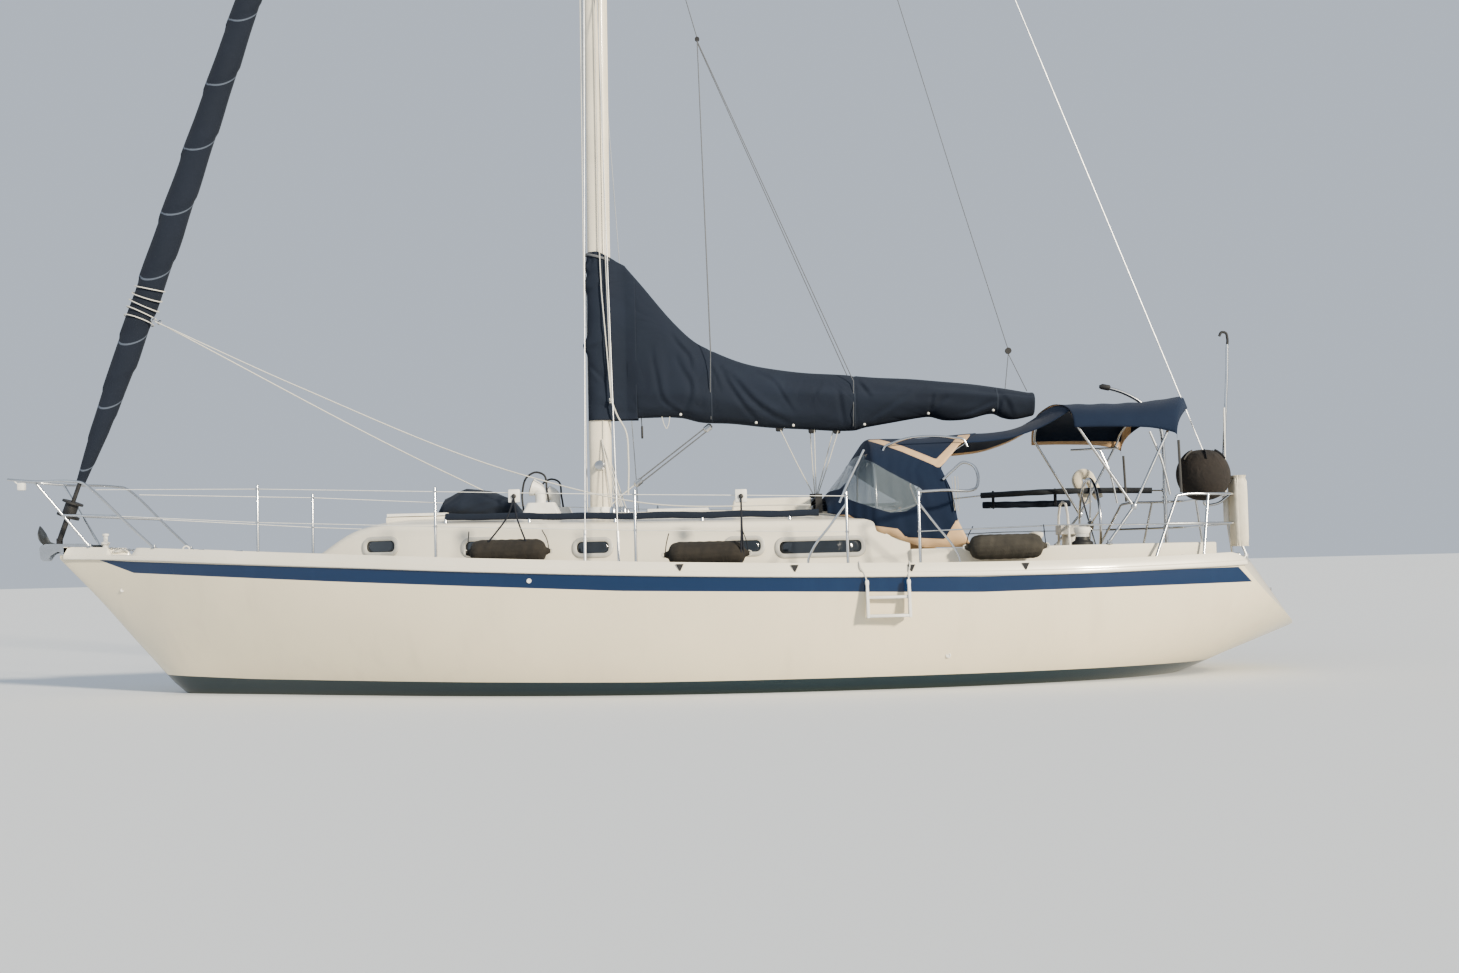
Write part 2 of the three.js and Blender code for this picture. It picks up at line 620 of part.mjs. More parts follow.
function furledHeadsail() {
  const rings = FURLED_TABLE.map(([z, half, aft]) => {
    const middle = stayPoint(z);
    return Array.from({ length: 12 }, (_, i) => {
      const angle = (2 * Math.PI * i) / 12;
      return V(middle.x - aft + half * Math.cos(angle), half * 0.86 * Math.sin(angle),
        middle.z + 0.34 * half * Math.cos(angle));
    });
  });
  const stayEnd = STAY_HEAD.clone().lerp(STAY_FOOT, 0.004);
  const stay = rod(stayPoint(SAIL_HEAD_Z - 30), stayEnd, STAY_RADIUS, STAY_RADIUS, 8);
  return join(loft(rings), stay, rod(stayPoint(SAIL_HEAD_Z + 60), stayPoint(SAIL_HEAD_Z + 180), 34, 34, 12));
}

const BACKSTAY = { foot: V(-5255, 0, 1046), head: V(mastX(MASTHEAD_Z) - 165, 0, MASTHEAD_Z - 2) };

function backstay() {
  const { foot, head } = BACKSTAY;
  const strap = slab([[-5285, 850], [-5222, 980], [-5236, 1066], [-5268, 1066], [-5258, 985], [-5325, 850]],
    -10, 10);
  const screw = rod(foot, foot.clone().lerp(head, 0.03), 12);
  return join(cut(strap, form.translate([-GAP, 0, 0])), rod(foot, head, STAY_RADIUS), screw);
}

const CHAINPLATES = { cap: V(830, 1590, 0), lower: V(545, 1545, 0) };

function onRail(point) {
  return V(point.x, point.y, deckZ(point.x, point.y));
}

const chainplate = ({ x, y, z }) => box(x - 30, x + 30, y - 5, y + 5, z - 40, z + 60);

function turnbuckle(foot, towards) {
  const along = towards.clone().sub(foot).normalize();
  return rod(foot.clone().addScaledVector(along, 60), foot.clone().addScaledVector(along, 330), 12);
}

function capShroud() {
  const foot = onRail(CHAINPLATES.cap);
  const tips = Object.values(SPREADERS).map(({ z, tip, rise }) => V(mastX(z), tip + 16, z + rise));
  const head = V(mastX(MASTHEAD_Z), MAST_WIDTH / 2 + 12, MASTHEAD_Z - 120);
  const corners = [foot, ...tips, head];
  let body = chainplate(foot);
  for (let i = 0; i + 1 < corners.length; i++) {
    body = join(body, rod(corners[i], corners[i + 1], STAY_RADIUS), ball(corners[i + 1], 8));
  }
  return onDeck(join(body, turnbuckle(foot, tips[0])));
}

function lowerShroud() {
  const foot = onRail(CHAINPLATES.lower);
  const head = V(mastX(6700) - 20, MAST_WIDTH / 2 + 10, 6700);
  return onDeck(join(chainplate(foot), rod(foot, head, STAY_RADIUS), turnbuckle(foot, head)));
}

const GOOSENECK = { x: 610, z: 2590 };
const BOOM = { end: -3300, endZ: 2545, height: 160, width: 108, swing: 70 };

function boomStock(grow) {
  const start = GOOSENECK.x - 55;
  return loft([[start, GOOSENECK.z], [BOOM.end - grow, BOOM.endZ]].map(([x, z]) =>
    Array.from({ length: 12 }, (_, i) => {
      const angle = (2 * Math.PI * i) / 12;
      return V(x, (BOOM.width / 2 + grow) * Math.cos(angle), z + (BOOM.height / 2 + grow) * Math.sin(angle));
    })));
}

function boom() {
  const { x, z } = GOOSENECK;
  const pin = rod(V(x, 0, z - 60), V(x, 0, z + 60), 16, 16, 12);
  return join(boomStock(0), box(x - 70, x, -18, 18, z - 45, z + 45), pin);
}

// Bracket on the mast's aft face that carries the gooseneck pin between two lugs
function gooseneckLugs() {
  const { x, z } = GOOSENECK;
  const face = mastX(z) - MAST_CHORD / 2;
  const lug = (side) => box(x - 22, face + 30, -22, 22, z + side * 77 - 10, z + side * 77 + 10);
  return join(box(face - 12, face + 40, -34, 34, z - 95, z + 95), lug(1), lug(-1));
}

// Sail cover, mast to boom end: [x, bottom, widest level, top, half width]
const COVER_TABLE = [
  [560, 2490, 2720, 3960, 62],
  [420, 2450, 2720, 3790, 105],
  [100, 2410, 2720, 3400, 150],
  [-150, 2395, 2710, 3175, 165],
  [-710, 2370, 2690, 2955, 175],
  [-1570, 2325, 2660, 2850, 170],
  [-2420, 2345, 2640, 2775, 160],
  [-3000, 2375, 2610, 2695, 135],
  [-3250, 2425, 2590, 2645, 95],
];

const COVER_PINCH = 0.45;            // how much narrower the cover is towards its ridge

function coverRing([x, bottom, wide, top, half]) {
  return Array.from({ length: 16 }, (_, i) => {
    const angle = (2 * Math.PI * i) / 16;
    const up = Math.sin(angle);
    const rise = up > 0 ? (top - wide) * up : (wide - bottom) * up;
    return V(x, half * Math.cos(angle) * (up > 0 ? 1 - COVER_PINCH * up : 1), wide + rise);
  });
}

function sailCover() {
  return cut(loft(COVER_TABLE.map(coverRing)), boomStock(2), box(-236, -164, -18, 18, 2300, 2520),
    box(500, 700, -80, 80, GOOSENECK.z - 110, GOOSENECK.z + 110));
}

// The cover's front round the mast, open behind where the sail runs
function coverCollar() {
  const [z0, z1] = [2500, 4050];
  const shell = cut(mastStock(34, z0, z1), mastStock(3, z0 - 10, z1 + 10));
  const behind = box(300, 700, -300, 300, z0 - 50, z1 + 50);
  return cut(shell, behind, box(300, 780, -37, 37, z0 - 50, GOOSENECK.z + 100));
}

function boomUnder(x) {
  const middle = THREE.MathUtils.mapLinear(x, GOOSENECK.x - 55, BOOM.end, GOOSENECK.z, BOOM.endZ);
  return middle - BOOM.height / 2;
}

function boomVang() {
  const outer = rod(V(560, 0, 1880), V(150, 0, 2145), 22, 22, 10);
  const inner = rod(V(165, 0, 2135), V(-200, 0, 2395), 15, 15, 10);
  return join(outer, inner, box(-230, -170, -14, 14, 2365, boomUnder(-230) - 1));
}

// Rails on deck

function rodChain(points, radius, sides = 6) {
  let body = rod(points[0], points[1], radius, radius, sides);
  for (let i = 1; i + 1 < points.length; i++) {
    body = join(body, ball(points[i], radius), rod(points[i], points[i + 1], radius, radius, sides));
  }
  return body;
}

// Bow rail: the aft leg with the top rail that it bends into, the front leg and the middle rail
const PULPIT = {
  top: [[5200, 482, 1652], [5440, 492, 1893], [5500, 492, 1945], [5560, 484, 1984], [5650, 462, 1998],
    [6085, 310, 2018], [6300, 205, 2040], [6425, 110, 2056]],
  aftFootX: 4905,
  front: [6085, 310, 2018],
  frontFootX: 5645,
};

function pulpit() {
  const railTop = (x) => V(x, hullAt(x).halfBeam - RAIL_WIDTH / 2, hullAt(x).deckZ + RAIL_HEIGHT + GAP);
  const feet = [railTop(PULPIT.aftFootX), railTop(PULPIT.frontFootX)];
  const top = [feet[0], ...PULPIT.top.map((place) => V(...place))];
  const front = V(...PULPIT.front);
  const middle = [feet[0].clone().lerp(top[2], 0.57), feet[1].clone().lerp(front, 0.49)];
  const pads = feet.map((foot) => rod(foot, foot.clone().add(V(0, 0, 12)), 26, 26, 8));
  const side = join(rod(feet[1], front, TUBE_RADIUS), rod(...middle, 11), ...pads);
  return cut(join(tube(thereAndBack(top), TUBE_RADIUS, 30), side, mirror(side)),
    moved(rail, 0, 0, GAP), moved(mirror(rail), 0, 0, GAP));
}

const STANCHIONS = [3820, 2120, 390, -1380];
const WIRE_SHARES = [0.95, 0.5];
const GATE_AFT = -1990;
const PUSHPIT_FRONT = -2650;
const stanchionY = (x) => hullAt(x).halfBeam - 95;
const wirePoint = (x, share) => V(x, stanchionY(x), deckZ(x, stanchionY(x)) + STANCHION_HEIGHT * share);

function stanchion(x) {
  const [y, z] = [stanchionY(x), deckZ(x, stanchionY(x))];
  return join(rod(V(x, y, z - 12), V(x, y, z + STANCHION_HEIGHT + 12), STANCHION_RADIUS),
    rod(V(x, y, z - 14), V(x, y, z + 14), 36, 36, 8));
}

// A gate stanchion's brace slopes down from near its top, then stands upright on the deck
const GATE_BRACE = { top: 0.86, reach: 330, knee: 318, kneeHeight: 150, radius: 10 };

function gateBrace(x, towards) {
  const { top, reach, knee, kneeHeight, radius } = GATE_BRACE;
  const at = (distance, height) => {
    const [px, py] = [x + towards * distance, stanchionY(x + towards * distance)];
    return V(px, py, deckZ(px, py) + height);
  };
  return rodChain([wirePoint(x, top), at(knee, kneeHeight), at(reach, -8)], radius);
}

function lifelines() {
  const bowEnds = [V(5425, 508, 1915), V(5190, 498, 1664)];
  const wires = WIRE_SHARES.map((share, i) => rodChain(
    [bowEnds[i], ...STANCHIONS.map((x) => wirePoint(x, share))], WIRE_RADIUS, 4));
  return onDeck(join(...wires, ...STANCHIONS.map(stanchion), gateBrace(-1380, 1)));
}

// Stern rail, port half: legs as [foot x, foot y, top x, top y, top z], then both rails round the quarter
const PUSHPIT = {
  legs: [[-4050, 1225, -4337, 1000, 1591], [-4525, 1070, -4632, 935, 1604], [-4990, 430, -4924, 430, 1606]],
  top: [[-4337, 1000, 1591], [-4400, 985, 1603], [-4632, 935, 1606], [-4800, 855, 1606],
    [-4895, 760, 1606], [-4924, 640, 1606], [-4924, 430, 1606]],
  low: [[-4205, 1103, 1345], [-4580, 1000, 1345], [-4780, 880, 1345], [-4890, 770, 1345],
    [-4924, 640, 1345], [-4924, 430, 1345]],
  sternX: -4924,
};

// The outboard engine's hoist: its post, and its arm's [x, z] points up to the head
const HOIST = {
  x: -4738, y: -840, postRadius: 19, postTop: 1765, turningGap: 2.5,
  arm: [[-4738, 1755], [-4742, 2060], [-4690, 2430], [-4530, 2610], [-4350, 2715], [-4160, 2775]],
};
const SLEEVES = [1345, 1606, 1722];

// A length of the upright post, grown by a clearance
function hoistPost(grow) {
  const { x, y, postRadius, postTop } = HOIST;
  return rod(V(x, y, deckZ(x, y) + 8), V(x, y, postTop), postRadius + grow, postRadius + grow, 16);
}

const GRAB_BOW = [[-2240, 1520, 1668], [-2470, 1400, 1668], [-2525, 1330, 1690], [-2512, 1160, 1915]];
const PAD_RADIUS = 30;

// The padded rail to starboard, as it would lie to port
const PADDED_RAIL = [[-3000, 1470, 1740], [-3850, 1115, 1748], [-4160, 1105, 1746], [-4640, 947, 1726],
  [-4738, 915, 1722]];

// Points on the port side, then the same points in reverse to starboard
const thereAndBack = (port) => [...port, ...port.slice().reverse().map((p) => V(p.x, -p.y, p.z))];

function roundStern(rows) {
  const whole = thereAndBack(rows.map((place) => V(...place)));
  whole.splice(rows.length, 0, V(PUSHPIT.sternX, 0, rows.at(-1)[2]));
  return whole;
}

// Two sleeves on the starboard rails that the hoist's post turns in
function hoistSleeves() {
  const { x, y, postRadius, turningGap } = HOIST;
  const bore = postRadius + turningGap;
  return SLEEVES.map((z) => {
    const arm = box(x - 30, x + 30, y - 85, y + 30, z - 20, z + 20);
    return cut(arm, rod(V(x, y, z - 40), V(x, y, z + 40), bore, bore, 16));
  });
}

function pushpit() {
  const legs = PUSHPIT.legs.map(([footX, footY, x, y, z]) =>
    rod(V(footX, footY, deckZ(footX, footY) - 12), V(x, y, z), TUBE_RADIUS));
  const lowEnd = V(...PUSHPIT.low[0]);
  const lowWire = rodChain([wirePoint(GATE_AFT, 0.5), V(-3200, stanchionY(-3200) - 60, 1352), lowEnd], 6, 6);
  const side = join(...legs, stanchion(GATE_AFT), gateBrace(GATE_AFT, -1), lowWire,
    rodChain([wirePoint(GATE_AFT, 1), ...GRAB_BOW.map((place) => V(...place))], TUBE_RADIUS));
  const padded = PADDED_RAIL.map((place) => V(...place));
  const paddedRail = join(rodChain([wirePoint(GATE_AFT, 1), ...padded], TUBE_RADIUS - 4, 6),
    rodChain(padded.slice(0, -1), PAD_RADIUS, 8));
  return onDeck(cut(join(tube(roundStern(PUSHPIT.top), TUBE_RADIUS, 26),
    tube(roundStern(PUSHPIT.low), 11, 20), side, mirror(side), mirror(paddedRail), ...hoistSleeves()),
    hoistPost(HOIST.turningGap)));
}

// Canopies

const COAMING_TOP = 1180;

// An arch across the boat from port to starboard: its foot, its top and how square its shoulders are
function arch(x, half, footZ, topZ, square, count = 12) {
  return Array.from({ length: count + 1 }, (_, i) => {
    const angle = (Math.PI * i) / count;
    const y = half * Math.sign(Math.cos(angle)) * Math.abs(Math.cos(angle)) ** (2 / square);
    return V(x, y, footZ + (topZ - footZ) * Math.sin(angle) ** (2 / square));
  });
}

// Dodger arches, front to aft:
// [x of the crown, half width, foot, crown, squareness, share of the aft edge's lean]
const DODGER_ARCHES = [
  [-1262, 900, 1520, 1672, 2.4, 0], [-1470, 1040, 1470, 1930, 2.9, 0], [-1670, 1165, 1345, 2216, 3.2, 0],
  [-2180, 1195, 1190, 2230, 3.2, 0.5], [-2695, 1215, 1185, 2250, 3.2, 1],
];
const DODGER_THICKNESS = 12;

// How far forward of its crown the aft edge stands, at shares of the way down
const DODGER_LEAN = [[0, 0], [0.14, 246], [0.33, 440], [0.54, 352], [0.75, 320], [1, 190]];
const DODGER_FOOT_Z = 1150;

function dodgerLean(z, crown) {
  const down = Math.min(1, (crown - z) / (crown - DODGER_FOOT_Z));
  const next = DODGER_LEAN.findIndex(([share], i) => i > 0 && share >= down);
  const [[fromShare, from], [toShare, to]] = DODGER_LEAN.slice(next - 1, next + 1);
  return THREE.MathUtils.mapLinear(down, fromShare, toShare, from, to);
}

function dodgerArch([x, half, footZ, topZ, square, lean], count = 12) {
  return arch(x, half, footZ, topZ, square, count)
    .map((p) => V(p.x + lean * dodgerLean(p.z, topZ), p.y, p.z));
}

function dodgerCanopy() {
  return onRoof(sheet(DODGER_ARCHES.map((row) => dodgerArch(row)), -DODGER_THICKNESS));
}

// A bow follows an arch on its inside
function dodgerBow([x, half, footZ, topZ, square, lean], inset) {
  return tube(dodgerArch([x, half - inset, footZ, topZ - inset, square, lean], 14), TUBE_RADIUS, 22);
}

function dodgerFrame() {
  const [front, aft] = [DODGER_ARCHES[2], DODGER_ARCHES[4]];
  const brace = rodChain([V(-1690, 1120, 1450), V(-2000, 1140, 1560), V(-2290, 1150, 1600)], 9);
  const bows = [dodgerBow([-1682, ...front.slice(1)], 36), dodgerBow([-2654, ...aft.slice(1)], 44)];
  return cut(onRoof(join(...bows, brace, mirror(brace))),
    box(-3000, COCKPIT.front, -1300, 1300, 900, COAMING_TOP + GAP));
}

function coaming() {
  const { front, aft, seatHalf } = COCKPIT;
  const port = [[front - 2, 1230], [-3600, 1180], [-4350, 1080], [-4700, 900]];
  const outer = [...port, ...port.slice().reverse().map(([x, y]) => [x, -y])];
  const inner = box(aft, front + 100, -seatHalf - 4, seatHalf + 4, 700, 1500);
  return onRoof(cut(plate(outer, 880, COAMING_TOP), inner));
}

// Bimini arches, front to aft:
// [share of its length, crown, edge, how far aft of the roof's end at the middle]
const BIMINI = { front: -3416, aft: -4617, half: 1010, square: 2.5, frontSweep: -39, aftSweep: 259 };
const BIMINI_ARCHES = [[0, 2500, 2222, 0], [0.25, 2496, 2222, 0], [0.5, 2496, 2216, 0],
  [0.75, 2510, 2202, 0], [0.95, 2542, 2162, 0], [1, 2532, 2138, 30], [1, 2440, 2100, 70]];
const BIMINI_THICKNESS = 12;

function biminiArch([share, crown, edge, past], inset = 0) {
  const { front, aft, half, square, frontSweep, aftSweep } = BIMINI;
  return arch(0, half - inset, edge - inset, crown - inset, square, 12).map(({ y, z }) => {
    const out = (y / half) ** 2;
    const x = THREE.MathUtils.lerp(front + frontSweep * out, aft + aftSweep * out, share);
    return V(x - past * (1 - out), y, z);
  });
}

const biminiCanopy = () => sheet(BIMINI_ARCHES.map((row) => biminiArch(row)), -BIMINI_THICKNESS);

// The main bow from its hinge up to the canopy's aft edge, and a front bow from part-way up it
function biminiFrame() {
  const hinge = V(-3692, 1150, COAMING_TOP + 20);
  const joint = V(-3935, 1080, 1503);
  const hoop = (from, via, row) => {
    const whole = thereAndBack([from, ...via]);
    whole.splice(whole.length / 2, 0, ...biminiArch(row, 32).slice(1, -1));
    return tube(whole, TUBE_RADIUS, 30);
  };
  const foot = rod(V(hinge.x, hinge.y, COAMING_TOP + GAP), V(hinge.x, hinge.y, COAMING_TOP + 40), 26, 26, 8);
  const main = hoop(hinge, [joint], [0.93, 2536, 2168, 0]);
  const front = hoop(joint, [], [0.03, 2500, 2222, 0]);
  return join(main, front, foot, mirror(foot));
}

// The panel between the canopies runs from the dodger's aft edge to the bimini's front edge,
// hollow where the boom's end is
const CONNECTOR = { half: 860, gap: 12, hollow: 2.6, rows: 6, columns: 9, thickness: 8 };

// The height of an arch of half width, foot, crown and squareness, at y
function archZ(y, half, footZ, topZ, square) {
  return footZ + (topZ - footZ) * (1 - Math.abs(y / half) ** square) ** (1 / square);
}

function canopyConnector() {
  const { half, gap, hollow, rows, columns, thickness } = CONNECTOR;
  const [aftX, dodgerHalf, dodgerFoot, dodgerTop, dodgerSquare] = DODGER_ARCHES.at(-1);
  const [, crown, edge] = BIMINI_ARCHES[0];
  const grid = Array.from({ length: rows }, (_, r) => Array.from({ length: columns }, (_, c) => {
    const t = r / (rows - 1);
    const y = THREE.MathUtils.lerp(half, -half, c / (columns - 1));
    const front = archZ(y, dodgerHalf, dodgerFoot, dodgerTop, dodgerSquare);
    const aft = archZ(y, BIMINI.half, edge, crown, BIMINI.square);
    const frontX = aftX - gap + dodgerLean(front, dodgerTop);
    const endX = BIMINI.front + BIMINI.frontSweep * (y / BIMINI.half) ** 2 + gap;
    return V(THREE.MathUtils.lerp(frontX, endX, t), y, THREE.MathUtils.lerp(front, aft, t ** hollow));
  }));
  return sheet(grid, -thickness);
}

// Helm

const WHEEL = { x: -3790, z: 1370, radius: 440, spokes: 6, shaftRadius: 15 };
const PEDESTAL_X = -3600;

// Column with the compass box, the guard hoop round it and the wheel's bearing
function pedestal() {
  const x = PEDESTAL_X;
  const column = turned([[0, 0], [150, 0], [120, 30], [75, 80], [62, 700], [78, 760], [78, 860], [0, 880]],
    x, 0, COCKPIT.soleZ + GAP, 14);
  const guard = tube(thereAndBack([V(x + 40, 230, 440), V(x + 60, 235, 1250), V(x + 60, 150, 1560)]),
    TUBE_RADIUS, 20);
  const bearing = rod(V(x - 70, 0, WHEEL.z - 30), V(x - 40, 0, WHEEL.z - 30), 40, 40, 12);
  const compassBox = box(x - 60, x + 110, -130, 130, 1290, 1385);
  const crossBar = box(x + 40, x + 60, -240, 240, 1350, 1370);
  const bore = WHEEL.shaftRadius + 5;
  return cut(join(column, guard, compassBox, crossBar, bearing),
    rod(V(WHEEL.x, 0, WHEEL.z), V(x - 40, 0, WHEEL.z), bore, bore, 12));
}

function steeringWheel() {
  const { x, z, radius, spokes, shaftRadius } = WHEEL;
  const rim = tube(Array.from({ length: 12 }, (_, i) => {
    const angle = (2 * Math.PI * i) / 12;
    return V(x, radius * Math.cos(angle), z + radius * Math.sin(angle));
  }), 15, 24, 6, true);
  const shaft = rod(V(x - 35, 0, z), V(PEDESTAL_X - 44, 0, z), shaftRadius, shaftRadius, 12);
  let body = join(rim, shaft, rod(V(x - 25, 0, z), V(x + 25, 0, z), 46, 46, 14));
  for (let i = 0; i < spokes; i++) {
    const angle = (2 * Math.PI * i) / spokes + 0.3;
    body = join(body, rod(V(x, 30 * Math.cos(angle), z + 30 * Math.sin(angle)),
      V(x, radius * Math.cos(angle), z + radius * Math.sin(angle)), 8));
  }
  return body;
}

// Turned drum, from its foot up: [radius, height]
const WINCH_PROFILE = [[0, 0], [92, 0], [92, 24], [62, 40], [56, 90], [74, 118], [74, 150], [30, 162],
  [0, 162]];
const WINCH = { x: -3480, y: 1060 };

// Deck gear

// Fenders hung inside the rails: [middle x, length, height of the line that carries them]
const FENDERS = [[1500, 660, 1411], [-200, 660, 1350], [-2760, 640, 1352]];
const FENDER = { hang: 172, radius: 106, fromWire: 30, lanyardRadius: 5 };

function fender([x, length, lineZ]) {
  const { hang, radius, fromWire, lanyardRadius } = FENDER;
  const wireY = stanchionY(x) - (x < GATE_AFT ? 60 : 0);
  const y = wireY - fromWire - radius;
  const z = lineZ - hang;
  const half = length / 2;
  const end = [[0, half + 30], [22, half + 30], [26, half + 4], [70, half - 24], [radius, half - 95]];
  const profile = [...end.map(([r, h]) => [r, -h]), ...end.slice().reverse()];
  const points = profile.map(([r, h]) => new THREE.Vector2(r, h));
  const padded = solid(new THREE.LatheGeometry(points, 12).rotateZ(Math.PI / 2).translate(x, y, z));
  const lanyard = (side) => rod(V(x + side * (half + 10), y, z),
    V(x + side * (half - 20), wireY - 12, lineZ), lanyardRadius);
  return join(padded, lanyard(1), lanyard(-1));
}

function boardingStep() {
  const [x0, x1] = [-1890, -1500];
  const y = sideY(-1700, 760) + 34;
  const tread = (z) => box(x0, x1, y, y + 130, z, z + 45);
  const side = (x) => box(x, x + 28, y + 4, y + 120, 620, 930);
  const back = box(x0 + 10, x1 - 10, y, y + 24, 620, 900);
  return join(tread(610), tread(885), side(x0 + 2), side(x1 - 30), back);
}

const GRILL = { x: -4690, y: 620, z: 1788, armRadius: 12 };
const GRILL_PROFILE = [[0, -235], [70, -232], [160, -185], [225, -90], [243, 0], [225, 95], [160, 180],
  [70, 226], [0, 235]];

function kettleGrill() {
  const { x, y, z, armRadius } = GRILL;
  const arm = rod(V(x, y, z - 148), V(x - 208, y + 2, z - 166), armRadius);
  return join(turned(GRILL_PROFILE, x, y, z, 14), arm);
}

const rescueCanister = () => box(-5062, -4938, 490, 715, 1136, 1780);

// The buoy is a bend with two arms, tilted in its holder on the padded rail
const BUOY = { x: -4015, y: -1172, z: 1860, reach: 118, arm: 235, depth: 90, tilt: -0.42, bends: 8 };

function horseshoeBuoy() {
  const { x, y, z, reach, arm, depth, tilt, bends } = BUOY;
  const inner = reach / 4;
  const bend = (radius) => Array.from({ length: bends + 1 }, (_, i) => {
    const angle = (Math.PI * i) / bends;
    return [radius * Math.cos(angle), radius * Math.sin(angle)];
  });
  const outline = [[reach, -arm], ...bend(reach), [-reach, -arm],
    [-inner, -arm], ...bend(inner).reverse(), [inner, -arm]];
  const [cosine, sine] = [Math.cos(tilt), Math.sin(tilt)];
  const tilted = outline.map(([u, v]) => [x + u * cosine - v * sine, z + u * sine + v * cosine]);
  return slab(tilted, y - depth, y);
}

function outboardHoist() {
  const { x, y, postRadius, arm } = HOIST;
  const head = box(-4222, -4122, y - 28, y + 28, 2742, 2806);
  return join(hoistPost(0), tube(arm.map(([px, pz]) => V(px, y, pz)), postRadius, 16, 8), head,
    rod(V(x, y, 1640), V(x, y, 1660), 30, 30, 12));
}

const LADDER = { hinge: V(-5465, 0, 720), middleY: -260, halfWidth: 165, length: 430, lean: [0.592, 0.806] };

function sternLadder() {
  const { hinge, halfWidth, length, lean } = LADDER;
  const place = (y, distance) => V(hinge.x + lean[0] * distance, y, hinge.z + lean[1] * distance);
  const leg = (side) => rod(place(side * halfWidth, 0), place(side * halfWidth, length), TUBE_RADIUS);
  const pin = rod(V(hinge.x, -halfWidth - 20, hinge.z), V(hinge.x, halfWidth + 20, hinge.z), 12);
  let body = join(leg(1), leg(-1), pin);
  for (const distance of [150, 290, length]) {
    body = join(body, rod(place(-halfWidth, distance), place(halfWidth, distance), 14));
  }
  return moved(body, 0, LADDER.middleY, 0);
}

function ladderBracket() {
  const { hinge, halfWidth, middleY } = LADDER;
  const [y0, y1] = [halfWidth + 34, halfWidth + 62];
  const pinHole = rod(V(hinge.x, -400, hinge.z), V(hinge.x, 400, hinge.z), 15, 15, 8);
  const arm = cut(box(hinge.x - 22, hinge.x + 330, y0, y1, hinge.z - 22, hinge.z + 22), pinHole);
  const drop = box(hinge.x + 38, hinge.x + 82, y0, y1, hinge.z - 40, hinge.z);
  const bar = box(hinge.x + 40, hinge.x + 80, -halfWidth - 50, halfWidth + 50, hinge.z - 40, hinge.z - 15);
  const whole = join(arm, mirror(arm), bar, drop, mirror(drop));
  return cut(moved(whole, 0, middleY, 0), form.translate([-GAP, 0, 0]));
}

function bowRoller() {
  const outline = [[5600, 1350], [5700, 1432], [6120, 1440], [6160, 1400], [6148, 1292], [6085, 1275],
    [6050, 1330], [5990, 1362], [5600, 1330]];
  const cheek = (side) => slab(outline, side * 45 - 5, side * 45 + 5);
  return onDeck(join(cheek(1), cheek(-1), box(5600, 6010, -50, 50, 1335, 1362),
    rod(V(6110, -48, 1395), V(6110, 48, 1395), 26, 26, 12)));
}

// Anchor stowed on the roller, its fluke standing up ahead of the stem: rows of [x, half width, z]
const FLUKE = [[6105, 26, 1425], [6120, 80, 1475], [6143, 104, 1535], [6163, 66, 1588], [6172, 14, 1612]];
const FLUKE_SECTION = [[0, 1], [18, 0], [0, -1], [-8, -0.96], [8, 0], [-8, 0.96]];

function anchor() {
  const shank = slab([[5560, 1385], [5560, 1412], [6040, 1418], [6105, 1452], [6135, 1446], [6135, 1425],
    [6105, 1424], [6050, 1392]], -9, 9);
  const fluke = loft(FLUKE.map(([x, half, z]) =>
    FLUKE_SECTION.map(([dx, share]) => V(x + dx, half * share, z))));
  return join(shank, fluke, rod(V(6104, 0, 1395), V(6118, 0, 1470), 14));
}

// Assembly

const yacht = new THREE.Group();
const finishes = new Map(Object.entries(MATERIALS).map(([name, [color, roughness, metalness]]) =>
  [name, { color, roughness, metalness }]));

function add(name, body, finish) {
  const mesh = new THREE.Mesh(geometryOf(body), new THREE.MeshStandardMaterial(finishes.get(finish)));
  mesh.name = name;
  yacht.add(mesh);
}

function addPair(name, port, finish) {
  add(`${name}_port`, port, finish);
  add(`${name}_starboard`, mirror(port), finish);
}

add('hull', hull(), 'gelcoat');
addPair('toe_rail', rail, 'rail');
add('fin_keel', finKeel(), 'antifouling');
add('rudder', rudder(), 'antifouling');
add('propeller', propeller(), 'bronze');
add('shaft_strut', shaftStrut(), 'bronze');
add('cabin_trunk', trunk, 'gelcoat');
add('cockpit_coaming', coaming(), 'gelcoat');
add('sea_hood', seaHood(), 'gelcoat');
add('companionway_hatch', companionwayHatch(), 'smoked');
add('washboards', washboards(), 'teak');
for (const [name, hatch] of Object.entries(HATCHES)) {
  add(`${name}_lid`, hatchLid(hatch), 'smoked');
}
addPair('dorade_vent', doradeVent(1330, 560), 'white');
addPair('handrail', handrail(), 'coverCanvas');
add('traveller', traveller(), 'black');
add('deck_bag', deckBag(), 'coverCanvas');

add('mast', mast(), 'aluminium');
for (const [name, pair] of Object.entries(SPREADERS)) add(name, spreaders(pair), 'aluminium');
add('masthead', masthead(), 'stainless');
add('roller_furler', rollerFurler(), 'black');
add('furled_headsail', furledHeadsail(), 'coverCanvas');
add('backstay', backstay(), 'stainless');
addPair('cap_shroud', capShroud(), 'stainless');
addPair('lower_shroud', lowerShroud(), 'stainless');
add('boom', boom(), 'aluminium');
add('sail_cover', sailCover(), 'coverCanvas');
add('sail_cover_collar', coverCollar(), 'coverCanvas');
add('boom_vang', boomVang(), 'aluminium');

add('pulpit', pulpit(), 'stainless');
add('pushpit', pushpit(), 'stainless');
addPair('lifelines', lifelines(), 'stainless');
add('dodger_canopy', dodgerCanopy(), 'canvas');
add('dodger_frame', dodgerFrame(), 'stainless');
add('canopy_connector', canopyConnector(), 'canvas');
add('bimini_canopy', biminiCanopy(), 'canvas');
add('bimini_frame', biminiFrame(), 'stainless');

